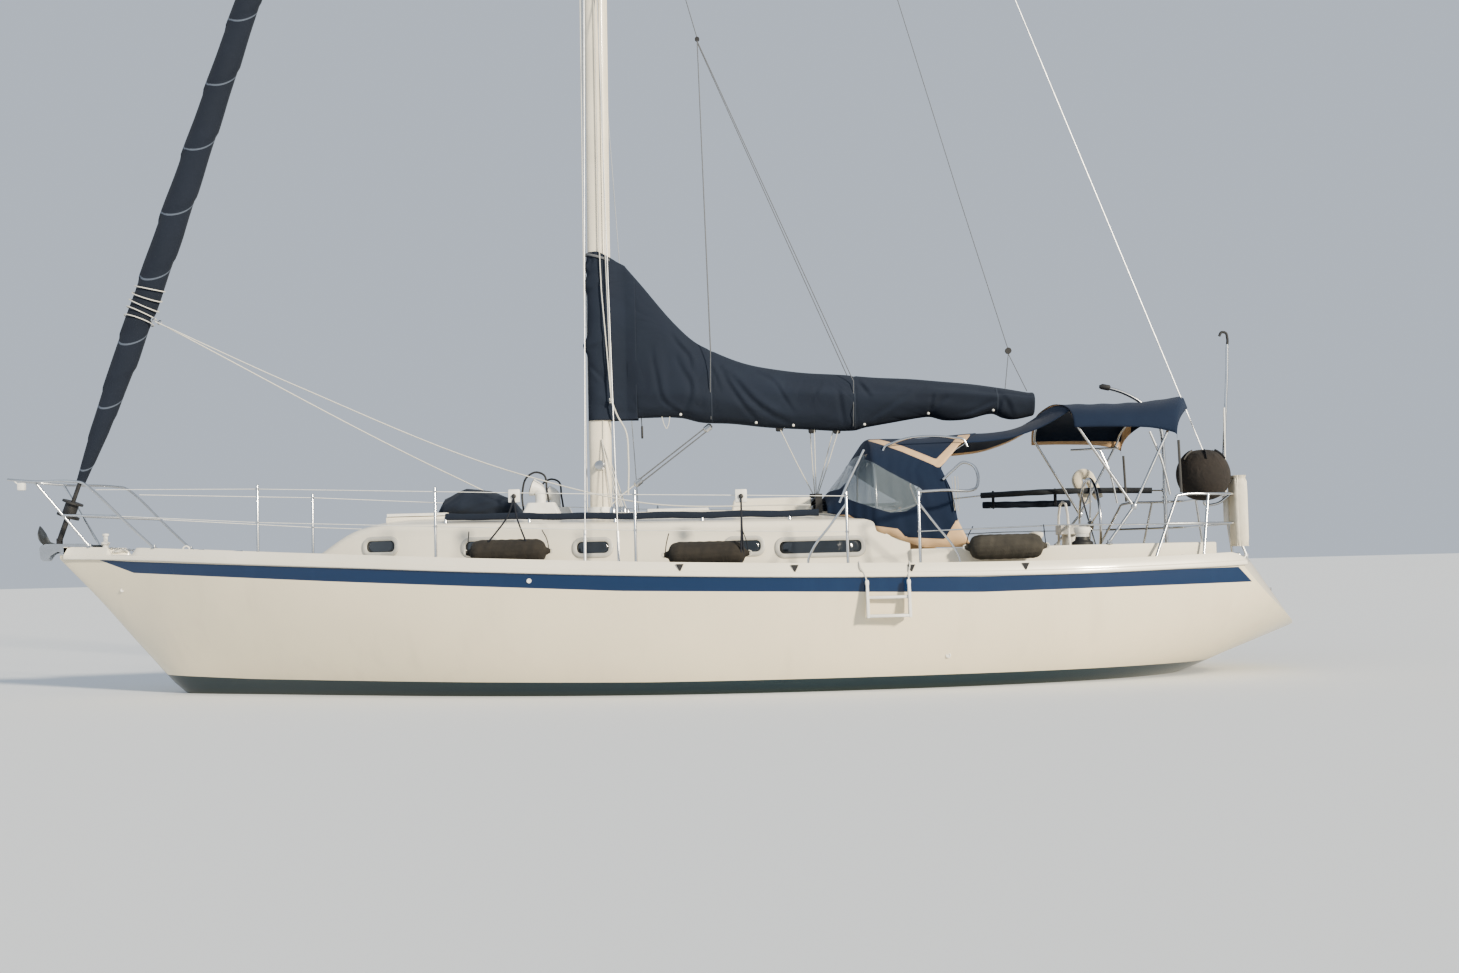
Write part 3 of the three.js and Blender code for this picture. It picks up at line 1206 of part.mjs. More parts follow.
add('pedestal', pedestal(), 'white');
add('steering_wheel', steeringWheel(), 'stainless');
addPair('winch', onRoof(turned(WINCH_PROFILE, WINCH.x, WINCH.y, COAMING_TOP + GAP, 12)), 'stainless');
FENDERS.forEach((row, i) => add(`fender_${i + 1}`, fender(row), 'rubber'));
add('boarding_step', boardingStep(), 'white');
add('kettle_grill', kettleGrill(), 'grillCover');
add('rescue_canister', rescueCanister(), 'white');
add('horseshoe_buoy', horseshoeBuoy(), 'white');
add('outboard_hoist', outboardHoist(), 'stainless');
add('stern_ladder', sternLadder(), 'stainless');
add('ladder_bracket', ladderBracket(), 'stainless');
add('bow_roller', join(bowRoller(), anchor()), 'stainless');

export default yacht;
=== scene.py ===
"""A cruising sailing yacht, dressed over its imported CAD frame.

Metres, +X towards the bow, +Y to port, +Z up. The floor is at the waterline.
"""
import json
import logging
import math
from collections.abc import Callable, Sequence
from dataclasses import dataclass
from enum import Enum

import bmesh
import bpy
import numpy as np
from mathutils import Matrix, Vector

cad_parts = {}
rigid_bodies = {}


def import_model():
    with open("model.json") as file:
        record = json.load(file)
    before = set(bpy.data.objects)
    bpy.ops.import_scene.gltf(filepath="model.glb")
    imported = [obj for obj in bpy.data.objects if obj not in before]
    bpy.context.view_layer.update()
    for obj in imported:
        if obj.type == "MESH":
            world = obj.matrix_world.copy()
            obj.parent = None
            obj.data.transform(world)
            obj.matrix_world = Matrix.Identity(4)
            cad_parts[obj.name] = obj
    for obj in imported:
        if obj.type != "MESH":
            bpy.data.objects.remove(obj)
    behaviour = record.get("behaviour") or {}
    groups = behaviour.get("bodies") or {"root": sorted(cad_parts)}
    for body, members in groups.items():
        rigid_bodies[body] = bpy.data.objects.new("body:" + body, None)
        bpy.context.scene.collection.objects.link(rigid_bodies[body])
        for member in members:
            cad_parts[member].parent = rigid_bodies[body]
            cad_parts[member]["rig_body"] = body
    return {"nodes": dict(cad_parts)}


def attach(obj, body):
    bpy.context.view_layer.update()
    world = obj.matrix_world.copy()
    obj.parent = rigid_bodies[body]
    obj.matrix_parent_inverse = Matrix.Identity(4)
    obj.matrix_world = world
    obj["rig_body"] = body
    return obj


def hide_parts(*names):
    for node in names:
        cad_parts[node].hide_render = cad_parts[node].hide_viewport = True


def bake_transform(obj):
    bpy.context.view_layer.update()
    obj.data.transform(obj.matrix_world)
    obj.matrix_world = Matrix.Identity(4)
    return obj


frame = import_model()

LOG = logging.getLogger("yacht")
Array = np.ndarray
Color = tuple[float, float, float]
Spot = tuple[float, float, float]
Pairs = Sequence[tuple[float, float]]
Rule = Callable[[Array], Array]
Fields = dict[str, Rule]
Node = bpy.types.Node
Socket = bpy.types.NodeSocket
Tree = bpy.types.NodeTree
Object = bpy.types.Object
MERGE = 1e-5


class Body(Enum):
    """The bodies of the frame that pieces ride on."""

    HULL = "hull"
    BOOM = "boom"
    WHEEL = "steering_wheel"
    FORE_HATCH = "fore_hatch"
    MID_HATCH = "mid_hatch"
    SLIDING_HATCH = "sliding_hatch"
    LADDER = "stern_ladder"
    HOIST = "hoist"


# Surfaces worked out as whole arrays


@dataclass
class Form:
    """A surface: its points, and its faces as rows of point numbers, one array for each face size."""

    points: Array
    faces: list[Array]

    def __add__(self, other: "Form") -> "Form":
        """Both surfaces as one.

        Args:
            other: The other surface.

        Returns:
            The surface.
        """
        shift = len(self.points)
        return Form(np.vstack([self.points, other.points]),
            self.faces + [rows + shift for rows in other.faces])

    def mirrored(self) -> "Form":
        """The same surface on the other side of the centreline."""
        return Form(self.points * (1, -1, 1), [rows[:, ::-1] for rows in self.faces])

    def both(self) -> "Form":
        """The surface with its mirror image."""
        return self + self.mirrored()

    def moved(self, x: float = 0, y: float = 0, z: float = 0) -> "Form":
        """The surface shifted by a distance."""
        return Form(self.points + (x, y, z), self.faces)


def on_sides(form: Form) -> tuple[tuple[str, Form], tuple[str, Form]]:
    """A surface by side: as it is to port, and mirrored to starboard."""
    return ("port", form), ("starboard", form.mirrored())


def gathered(forms: Sequence[Form]) -> Form:
    """One surface from several.

    Args:
        forms: The surfaces.

    Returns:
        All of them as one.
    """
    total = forms[0]
    for form in forms[1:]:
        total = total + form
    return total


def surface(grid: Array, wrap_rows: bool = False, wrap_columns: bool = False) -> Form:
    """Squares between the neighbours of a grid.

    Args:
        grid: Points, as rows by columns by 3.
        wrap_rows: Whether the last row joins the first.
        wrap_columns: Whether the last column joins the first.

    Returns:
        The surface.
    """
    rows, columns = grid.shape[:2]
    r = np.arange(rows if wrap_rows else rows - 1)[:, None]
    c = np.arange(columns if wrap_columns else columns - 1)[None, :]
    down, right = (r + 1) % rows, (c + 1) % columns
    corners = np.broadcast_arrays(r * columns + c, r * columns + right, down * columns + right,
        down * columns + c)
    return Form(grid.reshape(-1, 3), [np.stack(corners, -1).reshape(-1, 4)])


def loft(rings: Array) -> Form:
    """A closed body through rings of equally many points, with a flat face at each end.

    Args:
        rings: The rings, as rows by columns by 3.

    Returns:
        The body.
    """
    form = surface(rings, wrap_columns=True)
    count = rings.shape[1]
    first = np.arange(count)[None, ::-1]
    last = np.arange(len(rings) * count - count, len(rings) * count)[None, :]
    return Form(form.points, form.faces + [first, last])


def circle_angles(count: int) -> Array:
    """Angles evenly round a circle."""
    return np.linspace(0, 2 * np.pi, count, endpoint=False)


def cubic(at: Array, knots: Array, values: Array, slope: Array) -> Array:
    """Cubic pieces through values at knots: each is the mean of its ends and their slopes, weighted by powers
    of t.

    Args:
        at: Where to read it.
        knots: Where the values stand, rising.
        values: The values.
        slope: How steeply it passes each of them.

    Returns:
        The values there.
    """
    i = np.clip(np.searchsorted(knots, at, "right") - 1, 0, len(knots) - 2)
    span, t = knots[i + 1] - knots[i], (at - knots[i]) / (knots[i + 1] - knots[i])
    if values.ndim > 1:
        span, t = span[:, None], t[:, None]
    return (values[i] * (2 * t**3 - 3 * t**2 + 1) + values[i + 1] * (3 * t**2 - 2 * t**3) + span
        * (slope[i] * (t**3 - 2 * t**2 + t) + slope[i + 1] * (t**3 - t**2)))


def lengths(path: Array) -> Array:
    """Distance along a line of points, from its first point."""
    return np.concatenate([[0], np.cumsum(np.linalg.norm(np.diff(path, axis=0), axis=1))])


def flowing(points: Sequence[Spot], count: int = 40) -> Array:
    """A smooth line through points: cubic pieces whose slopes are those between each point's neighbours.

    Args:
        points: The points it passes.
        count: How many points the line gets, evenly along it.

    Returns:
        The line, as count by 3.
    """
    knots = np.array(points, float)
    s = lengths(knots)
    slope = np.gradient(knots, s, axis=0) if len(knots) > 2 else np.repeat((knots[1:] - knots[:1]) / s[-1], 2,
        0)
    return cubic(np.linspace(0, s[-1], count), s, knots, slope)


def rings_along(path: Array, section: Array, scale: Array | float = 1.0, up: Spot | None = None,
        closed: bool = False) -> Array:
    """Rings along a line: path point plus the section's two coordinates along two cross axes.

    Args:
        path: The line's points.
        section: Points as (across, up), round the section.
        scale: Size of the section at each point of the path.
        up: What the section's second axis leans to. Without it, the axis nearest to square on the whole line.
        closed: Whether the line closes on itself.

    Returns:
        The rings, as rows by columns by 3.
    """
    step = np.roll(path, -1, 0) - np.roll(path, 1, 0) if closed else np.gradient(path, axis=0)
    along = step / np.linalg.norm(step, axis=1, keepdims=True)
    lean = np.array(up, float) if up else np.linalg.eigh(along.T @ along)[1][:, 0]
    across = np.cross(lean, along)
    across /= np.linalg.norm(across, axis=1, keepdims=True)
    above = np.cross(along, across)
    size = np.broadcast_to(np.asarray(scale, float), len(path))[:, None, None]
    return path[:, None] + size * (section[None, :, :1] * across[:, None] + section[None, :, 1:]
        * above[:, None])


def sweep(path: Array, section: Array, scale: Array | float = 1.0, closed: bool = False,
        up: Spot | None = None) -> Form:
    """A closed body: a section carried along a line, or round it where the line closes on itself."""
    rings = rings_along(path, section, scale, up, closed)
    return surface(rings, wrap_rows=True, wrap_columns=True) if closed else loft(rings)


def oval(across: float, up: float, sides: int = 10, power: float = 2.0) -> Array:
    """Points round an oval: each coordinate is the cosine or sine, raised to 2 / power, times its half size.

    Args:
        across: Half its width.
        up: Half its height.
        sides: How many points round it.
        power: 2, or more for a squarer one.

    Returns:
        The points, as sides by 2.
    """
    angle = np.arange(sides) * 2 * np.pi / sides
    wave = np.stack([np.cos(angle), np.sin(angle)], 1)
    return np.sign(wave) * np.abs(wave) ** (2 / power) * (across, up)


def tube(points: Sequence[Spot] | Array, radius: float, count: int = 0, sides: int = 10,
        closed: bool = False) -> Form:
    """A round bar along points, straight between them, or smooth where a count is given."""
    path = flowing(points, count) if count else np.array(points, float)
    return sweep(path, oval(radius, radius, sides), closed=closed)


def lathe(profile: Pairs, at: Spot, axis: Spot = (0, 0, 1), sides: int = 28) -> Form:
    """A profile of (radius, height) turned about an axis through a point.

    Args:
        profile: Radius and height of each corner.
        at: The axis' foot.
        axis: Its direction.
        sides: How many points round it.

    Returns:
        The surface.
    """
    rows = np.array(profile, float)
    stem = Vector(axis).normalized()
    side = stem.orthogonal().normalized()
    other = stem.cross(side)
    angle = np.arange(sides) * 2 * np.pi / sides
    ring = np.cos(angle)[:, None] * np.array(side) + np.sin(angle)[:, None] * np.array(other)
    grid = np.array(at) + rows[:, 0, None, None] * ring[None] + rows[:, 1, None, None] * np.array(stem)
    return surface(grid, wrap_columns=True)


def block(low: Spot, high: Spot, edge: float = 0.006, steps: int = 2) -> Form:
    """A box with round edges: a corner of the inner box plus the edge radius along a sphere's normal.

    Args:
        low: Its lowest corner.
        high: Its highest corner.
        edge: Radius of the edges.
        steps: Steps round each edge.

    Returns:
        The body.
    """
    low_corner, high_corner = np.array(low, float), np.array(high, float)
    half = (high_corner - low_corner) / 2
    edge = min(edge, 0.95 * half.min())
    quarter = np.linspace(0, np.pi / 2, steps + 1)
    turn = np.concatenate([quarter + k * np.pi / 2 for k in range(4)])
    climb = np.concatenate([quarter - np.pi / 2, quarter])
    corner = np.repeat([[1, 1], [-1, 1], [-1, -1], [1, -1]], steps + 1, 0)
    floor = np.repeat([-1, 1], steps + 1)
    inner = half - edge
    shape = (len(climb), len(turn))
    x = inner[0] * corner[:, 0] + edge * np.outer(np.cos(climb), np.cos(turn))
    y = inner[1] * corner[:, 1] + edge * np.outer(np.cos(climb), np.sin(turn))
    z = np.broadcast_to((inner[2] * floor + edge * np.sin(climb))[:, None], shape)
    form = surface(np.stack([x, y, z], -1) + (low_corner + high_corner) / 2, wrap_columns=True)
    ends = np.arange(4) * (steps + 1)
    caps = np.stack([ends[::-1], ends + (len(climb) - 1) * len(turn)])
    return Form(form.points, form.faces + [caps])


def prism(outline: Pairs, low: float, high: float, axis: int = 2) -> Form:
    """An outline carried straight along one axis, from low to high.

    Args:
        outline: Its corners.
        low: Where it starts.
        high: Where it ends.
        axis: The axis' number.

    Returns:
        The body.
    """
    flat = np.array(outline, float)
    rings = np.stack([np.insert(flat, axis, level, axis=1) for level in (low, high)])
    return loft(rings)


def round_rectangle(width: float, height: float, radius: float, steps: int = 6) -> Array:
    """Points round a rectangle with round corners, about its middle.

    Args:
        width: Its width.
        height: Its height.
        radius: Radius of the corners.
        steps: Steps round each corner.

    Returns:
        The points.
    """
    quarter = np.linspace(0, np.pi / 2, steps + 1)
    turn = np.concatenate([quarter + k * np.pi / 2 for k in range(4)])
    corner = np.repeat([[1, 1], [-1, 1], [-1, -1], [1, -1]], steps + 1, 0)
    inner = np.array([width / 2 - radius, height / 2 - radius])
    return corner * inner + radius * np.stack([np.cos(turn), np.sin(turn)], 1)


def nowhere(at: Array) -> Array:
    """A distance that is outside its mark at every point."""
    return np.full(len(at), -1.0)


def to_line(spots: Array, line: Sequence[Sequence[float]]) -> tuple[Array, Array, Array]:
    """Where flat points are beside a line.

    Args:
        spots: The points.
        line: The line's corners.

    Returns:
        How far off it each point is, on which side, and how far along it, from 0 to 1.
    """
    path = np.array(line, float)
    edge = np.diff(path, axis=0)
    to = spots[:, None] - path[:-1]
    share = np.clip((to * edge).sum(-1) / (edge * edge).sum(-1), 0, 1)
    far = np.linalg.norm(to - share[..., None] * edge, axis=-1)
    each, near = np.arange(len(spots)), far.argmin(1)
    side = np.sign(edge[near, 0] * to[each, near, 1] - edge[near, 1] * to[each, near, 0])
    return far[each, near], side, (near + share[each, near]) / len(edge)


def inside_distance(spots: Array, outline: Pairs) -> Array:
    """How far each flat point lies inside a closed outline, negative outside it.

    Args:
        spots: The points.
        outline: The outline's corners.

    Returns:
        The distances.
    """
    a = np.array(outline, float)
    b = np.roll(a, -1, 0)
    rise = np.where(a[:, 1] == b[:, 1], 1e-9, b[:, 1] - a[:, 1])
    crosses = ((a[:, 1] > spots[:, 1:2]) != (b[:, 1] > spots[:, 1:2])) & (spots[:, :1] < (b - a)[:, 0]
        * (spots[:, 1:2] - a[:, 1]) / rise + a[:, 0])
    far = to_line(spots, [*outline, outline[0]])[0]
    return np.where(crosses.sum(1) % 2 == 1, far, -far)


def near_line(spots: Array, line: Pairs, half: float) -> Array:
    """How far each flat point lies inside a strip of that half width along a line, negative outside it."""
    return half - to_line(spots, line)[0]


# Nodes


class Wiring:
    """Adds nodes to a tree and joins them."""

    def __init__(self, tree: Tree) -> None:
        """Keeps the tree."""
        self.tree = tree

    def add(self, kind: str, inputs: dict | None = None, **settings: object) -> Node:
        """A new node with its settings, and its inputs by name or number: sockets are joined, values are set.

        Args:
            kind: The node's type.
            inputs: Values or sockets, by the input's name or number.
            **settings: The node's own choices.

        Returns:
            The node.
        """
        node = self.tree.nodes.new(kind)
        for key, value in settings.items():
            setattr(node, key, value)
        for key, value in (inputs or {}).items():
            if isinstance(value, Socket):
                self.tree.links.new(value, node.inputs[key])
            else:
                node.inputs[key].default_value = value
        return node

    def math(self, operation: str, first: object, second: object = 0.0) -> Socket:
        """The result of one sum."""
        return self.add("ShaderNodeMath", {0: first, 1: second}, operation=operation).outputs[0]

    def mix(self, share: object, first: object, second: object) -> Socket:
        """One colour turning into another.

        Args:
            share: How much there is of the second.
            first: One colour.
            second: The other.

        Returns:
            The colour.
        """
        inputs = {0: share}
        for key, value in ((6, first), (7, second)):
            inputs[key] = value if isinstance(value, Socket) else (*value, 1.0)
        return self.add("ShaderNodeMix", inputs, data_type="RGBA").outputs[2]

    def ramp(self, value: object, low: float, high: float, start: float = 0.0, end: float = 1.0) -> Socket:
        """A value mapped from one range to another, held at its ends."""
        inputs = {"Value": value, "From Min": low, "From Max": high, "To Min": start, "To Max": end}
        return self.add("ShaderNodeMapRange", inputs).outputs[0]

    def measure(self, name: str) -> Socket:
        """A number that the mesh carries at its points."""
        return self.add("ShaderNodeAttribute", attribute_name=name).outputs["Fac"]

    def group(self, tree: Tree, inputs: dict) -> Node:
        """A shared effect placed here."""
        return self.add("ShaderNodeGroup", inputs, node_tree=tree)


class Effects:
    """Effects that several finishes share, each built once."""

    @staticmethod
    def shared(name: str, inputs: dict[str, float | None], outputs: Sequence[str],
            fill: Callable[[Wiring, Node], list]) -> Tree:
        """A node group.

        Args:
            name: What it is called.
            inputs: Each input with its usual value, or None for a vector.
            outputs: The names of what it gives.
            fill: Wires the inside and returns one socket for each output.

        Returns:
            The group.
        """
        if name in bpy.data.node_groups:
            return bpy.data.node_groups[name]
        tree = bpy.data.node_groups.new(name, "ShaderNodeTree")
        for key, value in inputs.items():
            kind = "NodeSocketVector" if value is None else "NodeSocketFloat"
            socket = tree.interface.new_socket(key, in_out="INPUT", socket_type=kind)
            if value is not None:
                socket.default_value = value
        for key in outputs:
            tree.interface.new_socket(key, in_out="OUTPUT", socket_type="NodeSocketFloat")
        wiring = Wiring(tree)
        made = fill(wiring, wiring.add("NodeGroupInput"))
        wiring.add("NodeGroupOutput", dict(enumerate(made)))
        return tree

    @classmethod
    def mottle(cls) -> Tree:
        """Slow patches of tone and fine grain: two noises of different size.

        Returns:
            The group.
        """
        def fill(w: Wiring, given: Node) -> list:
            """The two noises.

            Args:
                w: The tree's wiring.
                given: The group's inputs.

            Returns:
                The outputs.
            """
            slow = w.add("ShaderNodeTexNoise", {"Vector": given.outputs["Vector"],
                "Scale": given.outputs["Patches"], "Detail": 4.0, "Roughness": 0.6})
            fine = w.add("ShaderNodeTexNoise", {"Vector": given.outputs["Vector"],
                "Scale": given.outputs["Grain"], "Detail": 3.0, "Roughness": 0.55})
            return [w.ramp(slow.outputs[0], 0.3, 0.7), fine.outputs[0]]
        return cls.shared("Mottle", {"Vector": None, "Patches": 1.5, "Grain": 200.0}, ["Tone", "Height"],
            fill)

    @classmethod
    def streaks(cls) -> Tree:
        """Marks that run down a side: a noise stretched along the vertical.

        Returns:
            The group.
        """
        def fill(w: Wiring, given: Node) -> list:
            """The stretched noise.

            Args:
                w: The tree's wiring.
                given: The group's inputs.

            Returns:
                The outputs.
            """
            place = w.add("ShaderNodeMapping", {"Vector": given.outputs["Vector"], "Scale": (5.0, 5.0, 0.35)})
            noise = w.add("ShaderNodeTexNoise", {"Vector": place.outputs[0], "Scale": 1.0, "Detail": 5.0})
            return [w.ramp(noise.outputs[0], 0.55, 0.78)]
        return cls.shared("Streaks", {"Vector": None}, ["Mask"], fill)

    @classmethod
    def weave(cls) -> Tree:
        """Threads that pass over and under each other: the product of two waves across each other.

        Returns:
            The group.
        """
        def fill(w: Wiring, given: Node) -> list:
            """The two waves.

            Args:
                w: The tree's wiring.
                given: The group's inputs.

            Returns:
                The outputs.
            """
            split = w.add("ShaderNodeSeparateXYZ", {0: given.outputs["Vector"]})
            waves = [w.math("SINE", w.math("MULTIPLY", split.outputs[k], given.outputs["Threads"]))
                for k in (0, 1)]
            return [w.ramp(w.math("MULTIPLY", *waves), -1.0, 1.0)]
        return cls.shared("Weave", {"Vector": None, "Threads": 3000.0}, ["Height"], fill)

    @classmethod
    def folds(cls) -> Tree:
        """Soft creases: a stretched noise turned into ridges.

        Returns:
            The group.
        """
        def fill(w: Wiring, given: Node) -> list:
            """The ridged noise.

            Args:
                w: The tree's wiring.
                given: The group's inputs.

            Returns:
                The outputs.
            """
            noise = w.add("ShaderNodeTexNoise", {"Vector": given.outputs["Vector"],
                "Scale": given.outputs["Scale"], "Detail": 2.0, "Distortion": 0.8})
            return [w.math("ABSOLUTE", w.math("SUBTRACT", noise.outputs[0], 0.5))]
        return cls.shared("Folds", {"Vector": None, "Scale": 3.0}, ["Height"], fill)


@dataclass(frozen=True)
class Finish:
    """A coat with slow changes of tone, slight changes of gloss and fine grain."""

    name: str
    color: Color
    shade: Color
    roughness: float = 0.35
    metallic: float = 0.0
    coat: float = 0.0
    sheen: float = 0.0
    patches: float = 1.5
    grain: float = 220.0
    relief: float = 0.0002
    swing: float = 0.08
    slot: str = ""

    def material(self) -> bpy.types.Material:
        """The material, made at its first use.

        Returns:
            The material.
        """
        name = f"coat_{self.name}"
        if name in bpy.data.materials:
            return bpy.data.materials[name]
        made = bpy.data.materials.new(name)
        made.use_nodes = True
        made.node_tree.nodes.clear()
        w = Wiring(made.node_tree)
        shader = w.add("ShaderNodeBsdfPrincipled", {"Metallic": self.metallic, "Coat Weight": self.coat,
            "Coat Roughness": 0.08, "Sheen Weight": self.sheen, "Sheen Roughness": 0.5})
        for key, socket in self.surface(w).items():
            made.node_tree.links.new(socket, shader.inputs[key])
        w.add("ShaderNodeOutputMaterial", {"Surface": shader.outputs[0]})
        made.diffuse_color = (*self.color, 1.0)
        return made

    def place(self, w: Wiring) -> Socket:
        """Where the pattern is read: the object's own coordinates."""
        return w.add("ShaderNodeTexCoord").outputs["Object"]

    def surface(self, w: Wiring) -> dict[str, Socket]:
        """The sockets that vary over the surface, by the name of the shader's input.

        Args:
            w: The tree's wiring.

        Returns:
            The sockets.
        """
        mottle = w.group(Effects.mottle(), {"Vector": self.place(w), "Patches": self.patches,
            "Grain": self.grain})
        tone, height = mottle.outputs["Tone"], mottle.outputs["Height"]
        return {"Base Color": w.mix(tone, self.color, self.shade),
            "Roughness": w.ramp(tone, 0.0, 1.0, self.roughness, self.roughness + self.swing),
            "Normal": w.add("ShaderNodeBump", {"Height": height, "Distance": self.relief}).outputs[0]}


@dataclass(frozen=True)
class ClothFinish(Finish):
    """Woven canvas: threads, soft creases and faded patches."""

    threads: float = 3400.0
    crease: float = 0.012
    crease_scale: float = 2.5
    seam_width: float = 0.0
    seam_color: Color = (0.1, 0.12, 0.16)
    roughness: float = 0.88
    sheen: float = 0.04

    def relief_normal(self, w: Wiring, place: Socket) -> Socket:
        """Threads on top of creases.

        Args:
            w: The tree's wiring.
            place: Where the pattern is read.

        Returns:
            The normal.
        """
        folds = w.group(Effects.folds(), {"Vector": place, "Scale": self.crease_scale})
        below = w.add("ShaderNodeBump", {"Height": folds.outputs[0], "Distance": self.crease})
        weave = w.group(Effects.weave(), {"Vector": w.add("ShaderNodeUVMap").outputs[0],
            "Threads": self.threads})
        bump = {"Height": weave.outputs[0], "Distance": 0.0004, "Strength": 0.5, "Normal": below.outputs[0]}
        return w.add("ShaderNodeBump", bump).outputs[0]

    def surface(self, w: Wiring) -> dict[str, Socket]:
        """Colour, gloss and relief of the canvas.

        Args:
            w: The tree's wiring.

        Returns:
            The sockets.
        """
        place = self.place(w)
        mottle = w.group(Effects.mottle(), {"Vector": place, "Patches": self.patches, "Grain": self.grain})
        tone, height = mottle.outputs["Tone"], mottle.outputs["Height"]
        faded = w.mix(tone, self.color, self.shade)
        made = {"Base Color": w.mix(w.ramp(height, 0.35, 0.65, 0.0, 0.25), faded, self.shade),
            "Roughness": w.ramp(tone, 0.0, 1.0, self.roughness, self.roughness + self.swing),
            "Normal": self.relief_normal(w, place)}
        if self.seam_width:
            off = w.math("ABSOLUTE", w.math("SUBTRACT", w.math("FRACT", w.measure("seam")), 0.5))
            seam = w.ramp(off, self.seam_width, 1.5 * self.seam_width, 1.0, 0.0)
            made["Base Color"] = w.mix(seam, made["Base Color"], self.seam_color)
            bump = {"Height": seam, "Distance": 0.003, "Normal": made["Normal"]}
            made["Normal"] = w.add("ShaderNodeBump", bump).outputs[0]
        return made


@dataclass(frozen=True)
class PanelFinish(ClothFinish):
    """Canvas with tan edge strips, and clear windows where the piece carries them."""

    strip: str = "strip"
    trim: Color = (0.62, 0.43, 0.26)
    clear: Color = (0.22, 0.26, 0.29)
    clear_alpha: float = 0.34

    def surface(self, w: Wiring) -> dict[str, Socket]:
        """Canvas, strips and windows by the distances that the mesh carries.

        Args:
            w: The tree's wiring.

        Returns:
            The sockets.
        """
        made = super().surface(w)
        inside = w.measure(self.strip)
        strip = w.ramp(inside, -0.001, 0.001)
        stitch = w.ramp(w.math("ABSOLUTE", w.math("SUBTRACT", inside, 0.006)), 0.0008, 0.002, 0.7, 1.0)
        window = w.ramp(w.measure("window"), -0.001, 0.001)
        border = w.ramp(w.math("ABSOLUTE", w.math("ADD", w.measure("window"), 0.012)), 0.001, 0.003, 0.55,
            1.0)
        dressed = w.mix(strip, made["Base Color"], self.trim)
        dressed = w.mix(w.math("MULTIPLY", stitch, border), (0.02, 0.02, 0.025), dressed)
        made["Base Color"] = w.mix(window, dressed, self.clear)
        made["Alpha"] = w.ramp(window, 0.0, 1.0, 1.0, self.clear_alpha)
        made["Roughness"] = w.ramp(window, 0.0, 1.0, self.roughness, 0.12)
        return made


@dataclass(frozen=True)
class HullFinish(Finish):
    """Gelcoat topsides with a stripe and a boot top, antifouling below, and a gritty deck."""

    stripe: Color = (0.001, 0.022, 0.078)
    boot: Color = (0.008, 0.026, 0.036)
    bottom: Color = (0.01, 0.024, 0.036)
    deck: Color = (0.56, 0.54, 0.49)
    panel: float = 1.05
    gutter: float = 0.03

    def surface(self, w: Wiring) -> dict[str, Socket]:
        """Paint by the distances that the mesh carries.

        Args:
            w: The tree's wiring.

        Returns:
            The sockets.
        """
        made = super().surface(w)
        place = self.place(w)
        streaks = w.group(Effects.streaks(), {"Vector": place}).outputs["Mask"]
        paint = w.mix(w.ramp(streaks, 0.0, 1.0, 0.0, 0.16), made["Base Color"], (0.5, 0.44, 0.34))
        edge = 0.0012
        inside = w.math("MINIMUM", w.math("MINIMUM", w.measure("stripe_top"), w.measure("stripe_bottom")),
            w.measure("stripe_ends"))
        stripe = w.ramp(inside, -edge, edge)
        navy = w.mix(w.ramp(streaks, 0.0, 1.0, 0.0, 0.25), self.stripe, (0.01, 0.045, 0.115))
        paint = w.mix(stripe, paint, navy)
        below = w.measure("boot_top")
        boot = w.ramp(below, -edge, edge)
        split = w.add("ShaderNodeSeparateXYZ", {0: place})
        growth = w.ramp(split.outputs[2], 0.0, 0.05, 1.0, 0.0)
        soiled = w.mix(w.math("MULTIPLY", growth, 0.6), self.boot, (0.03, 0.04, 0.022))
        paint = w.mix(boot, paint, soiled)
        paint = w.mix(w.ramp(split.outputs[2], -0.002, 0.002, 1.0, 0.0), paint, self.bottom)
        joint = w.math("ABSOLUTE", w.math("SUBTRACT",
            w.math("FRACT", w.math("DIVIDE", split.outputs[0], self.panel)), 0.5))
        edge_share = 0.5 - 0.5 * self.gutter / self.panel
        grit_zone = w.math("MULTIPLY", w.ramp(w.measure("deck_in"), 0.085, 0.09),
            w.ramp(joint, edge_share - 0.003, edge_share, 1.0, 0.0))
        waves = [w.math("SINE", w.math("MULTIPLY", split.outputs[k], 700.0)) for k in (0, 1)]
        grit = w.math("MULTIPLY", w.ramp(w.math("MULTIPLY", *waves), 0.1, 0.6), grit_zone)
        made["Base Color"] = w.mix(grit_zone, paint, self.deck)
        made["Roughness"] = w.math("ADD", made["Roughness"], w.math("MULTIPLY", grit_zone, 0.35))
        bump = {"Height": grit, "Distance": 0.0025, "Normal": made["Normal"]}
        made["Normal"] = w.add("ShaderNodeBump", bump).outputs[0]
        return made


@dataclass(frozen=True)
class RopeFinish(Finish):
    """Laid or plaited line: slanting strands along its length."""

    strands: float = 900.0
    roughness: float = 0.8

    def surface(self, w: Wiring) -> dict[str, Socket]:
        """Colour and relief of the strands.

        Args:
            w: The tree's wiring.

        Returns:
            The sockets.
        """
        made = super().surface(w)
        place = self.place(w)
        split = w.add("ShaderNodeSeparateXYZ", {0: place})
        total = w.math("ADD", w.math("ADD", split.outputs[0], split.outputs[1]), split.outputs[2])
        strand = w.ramp(w.math("SINE", w.math("MULTIPLY", total, self.strands)), -1.0, 1.0)
        made["Base Color"] = w.mix(strand, self.shade, self.color)
        made["Normal"] = w.add("ShaderNodeBump", {"Height": strand, "Distance": 0.001}).outputs[0]
        return made


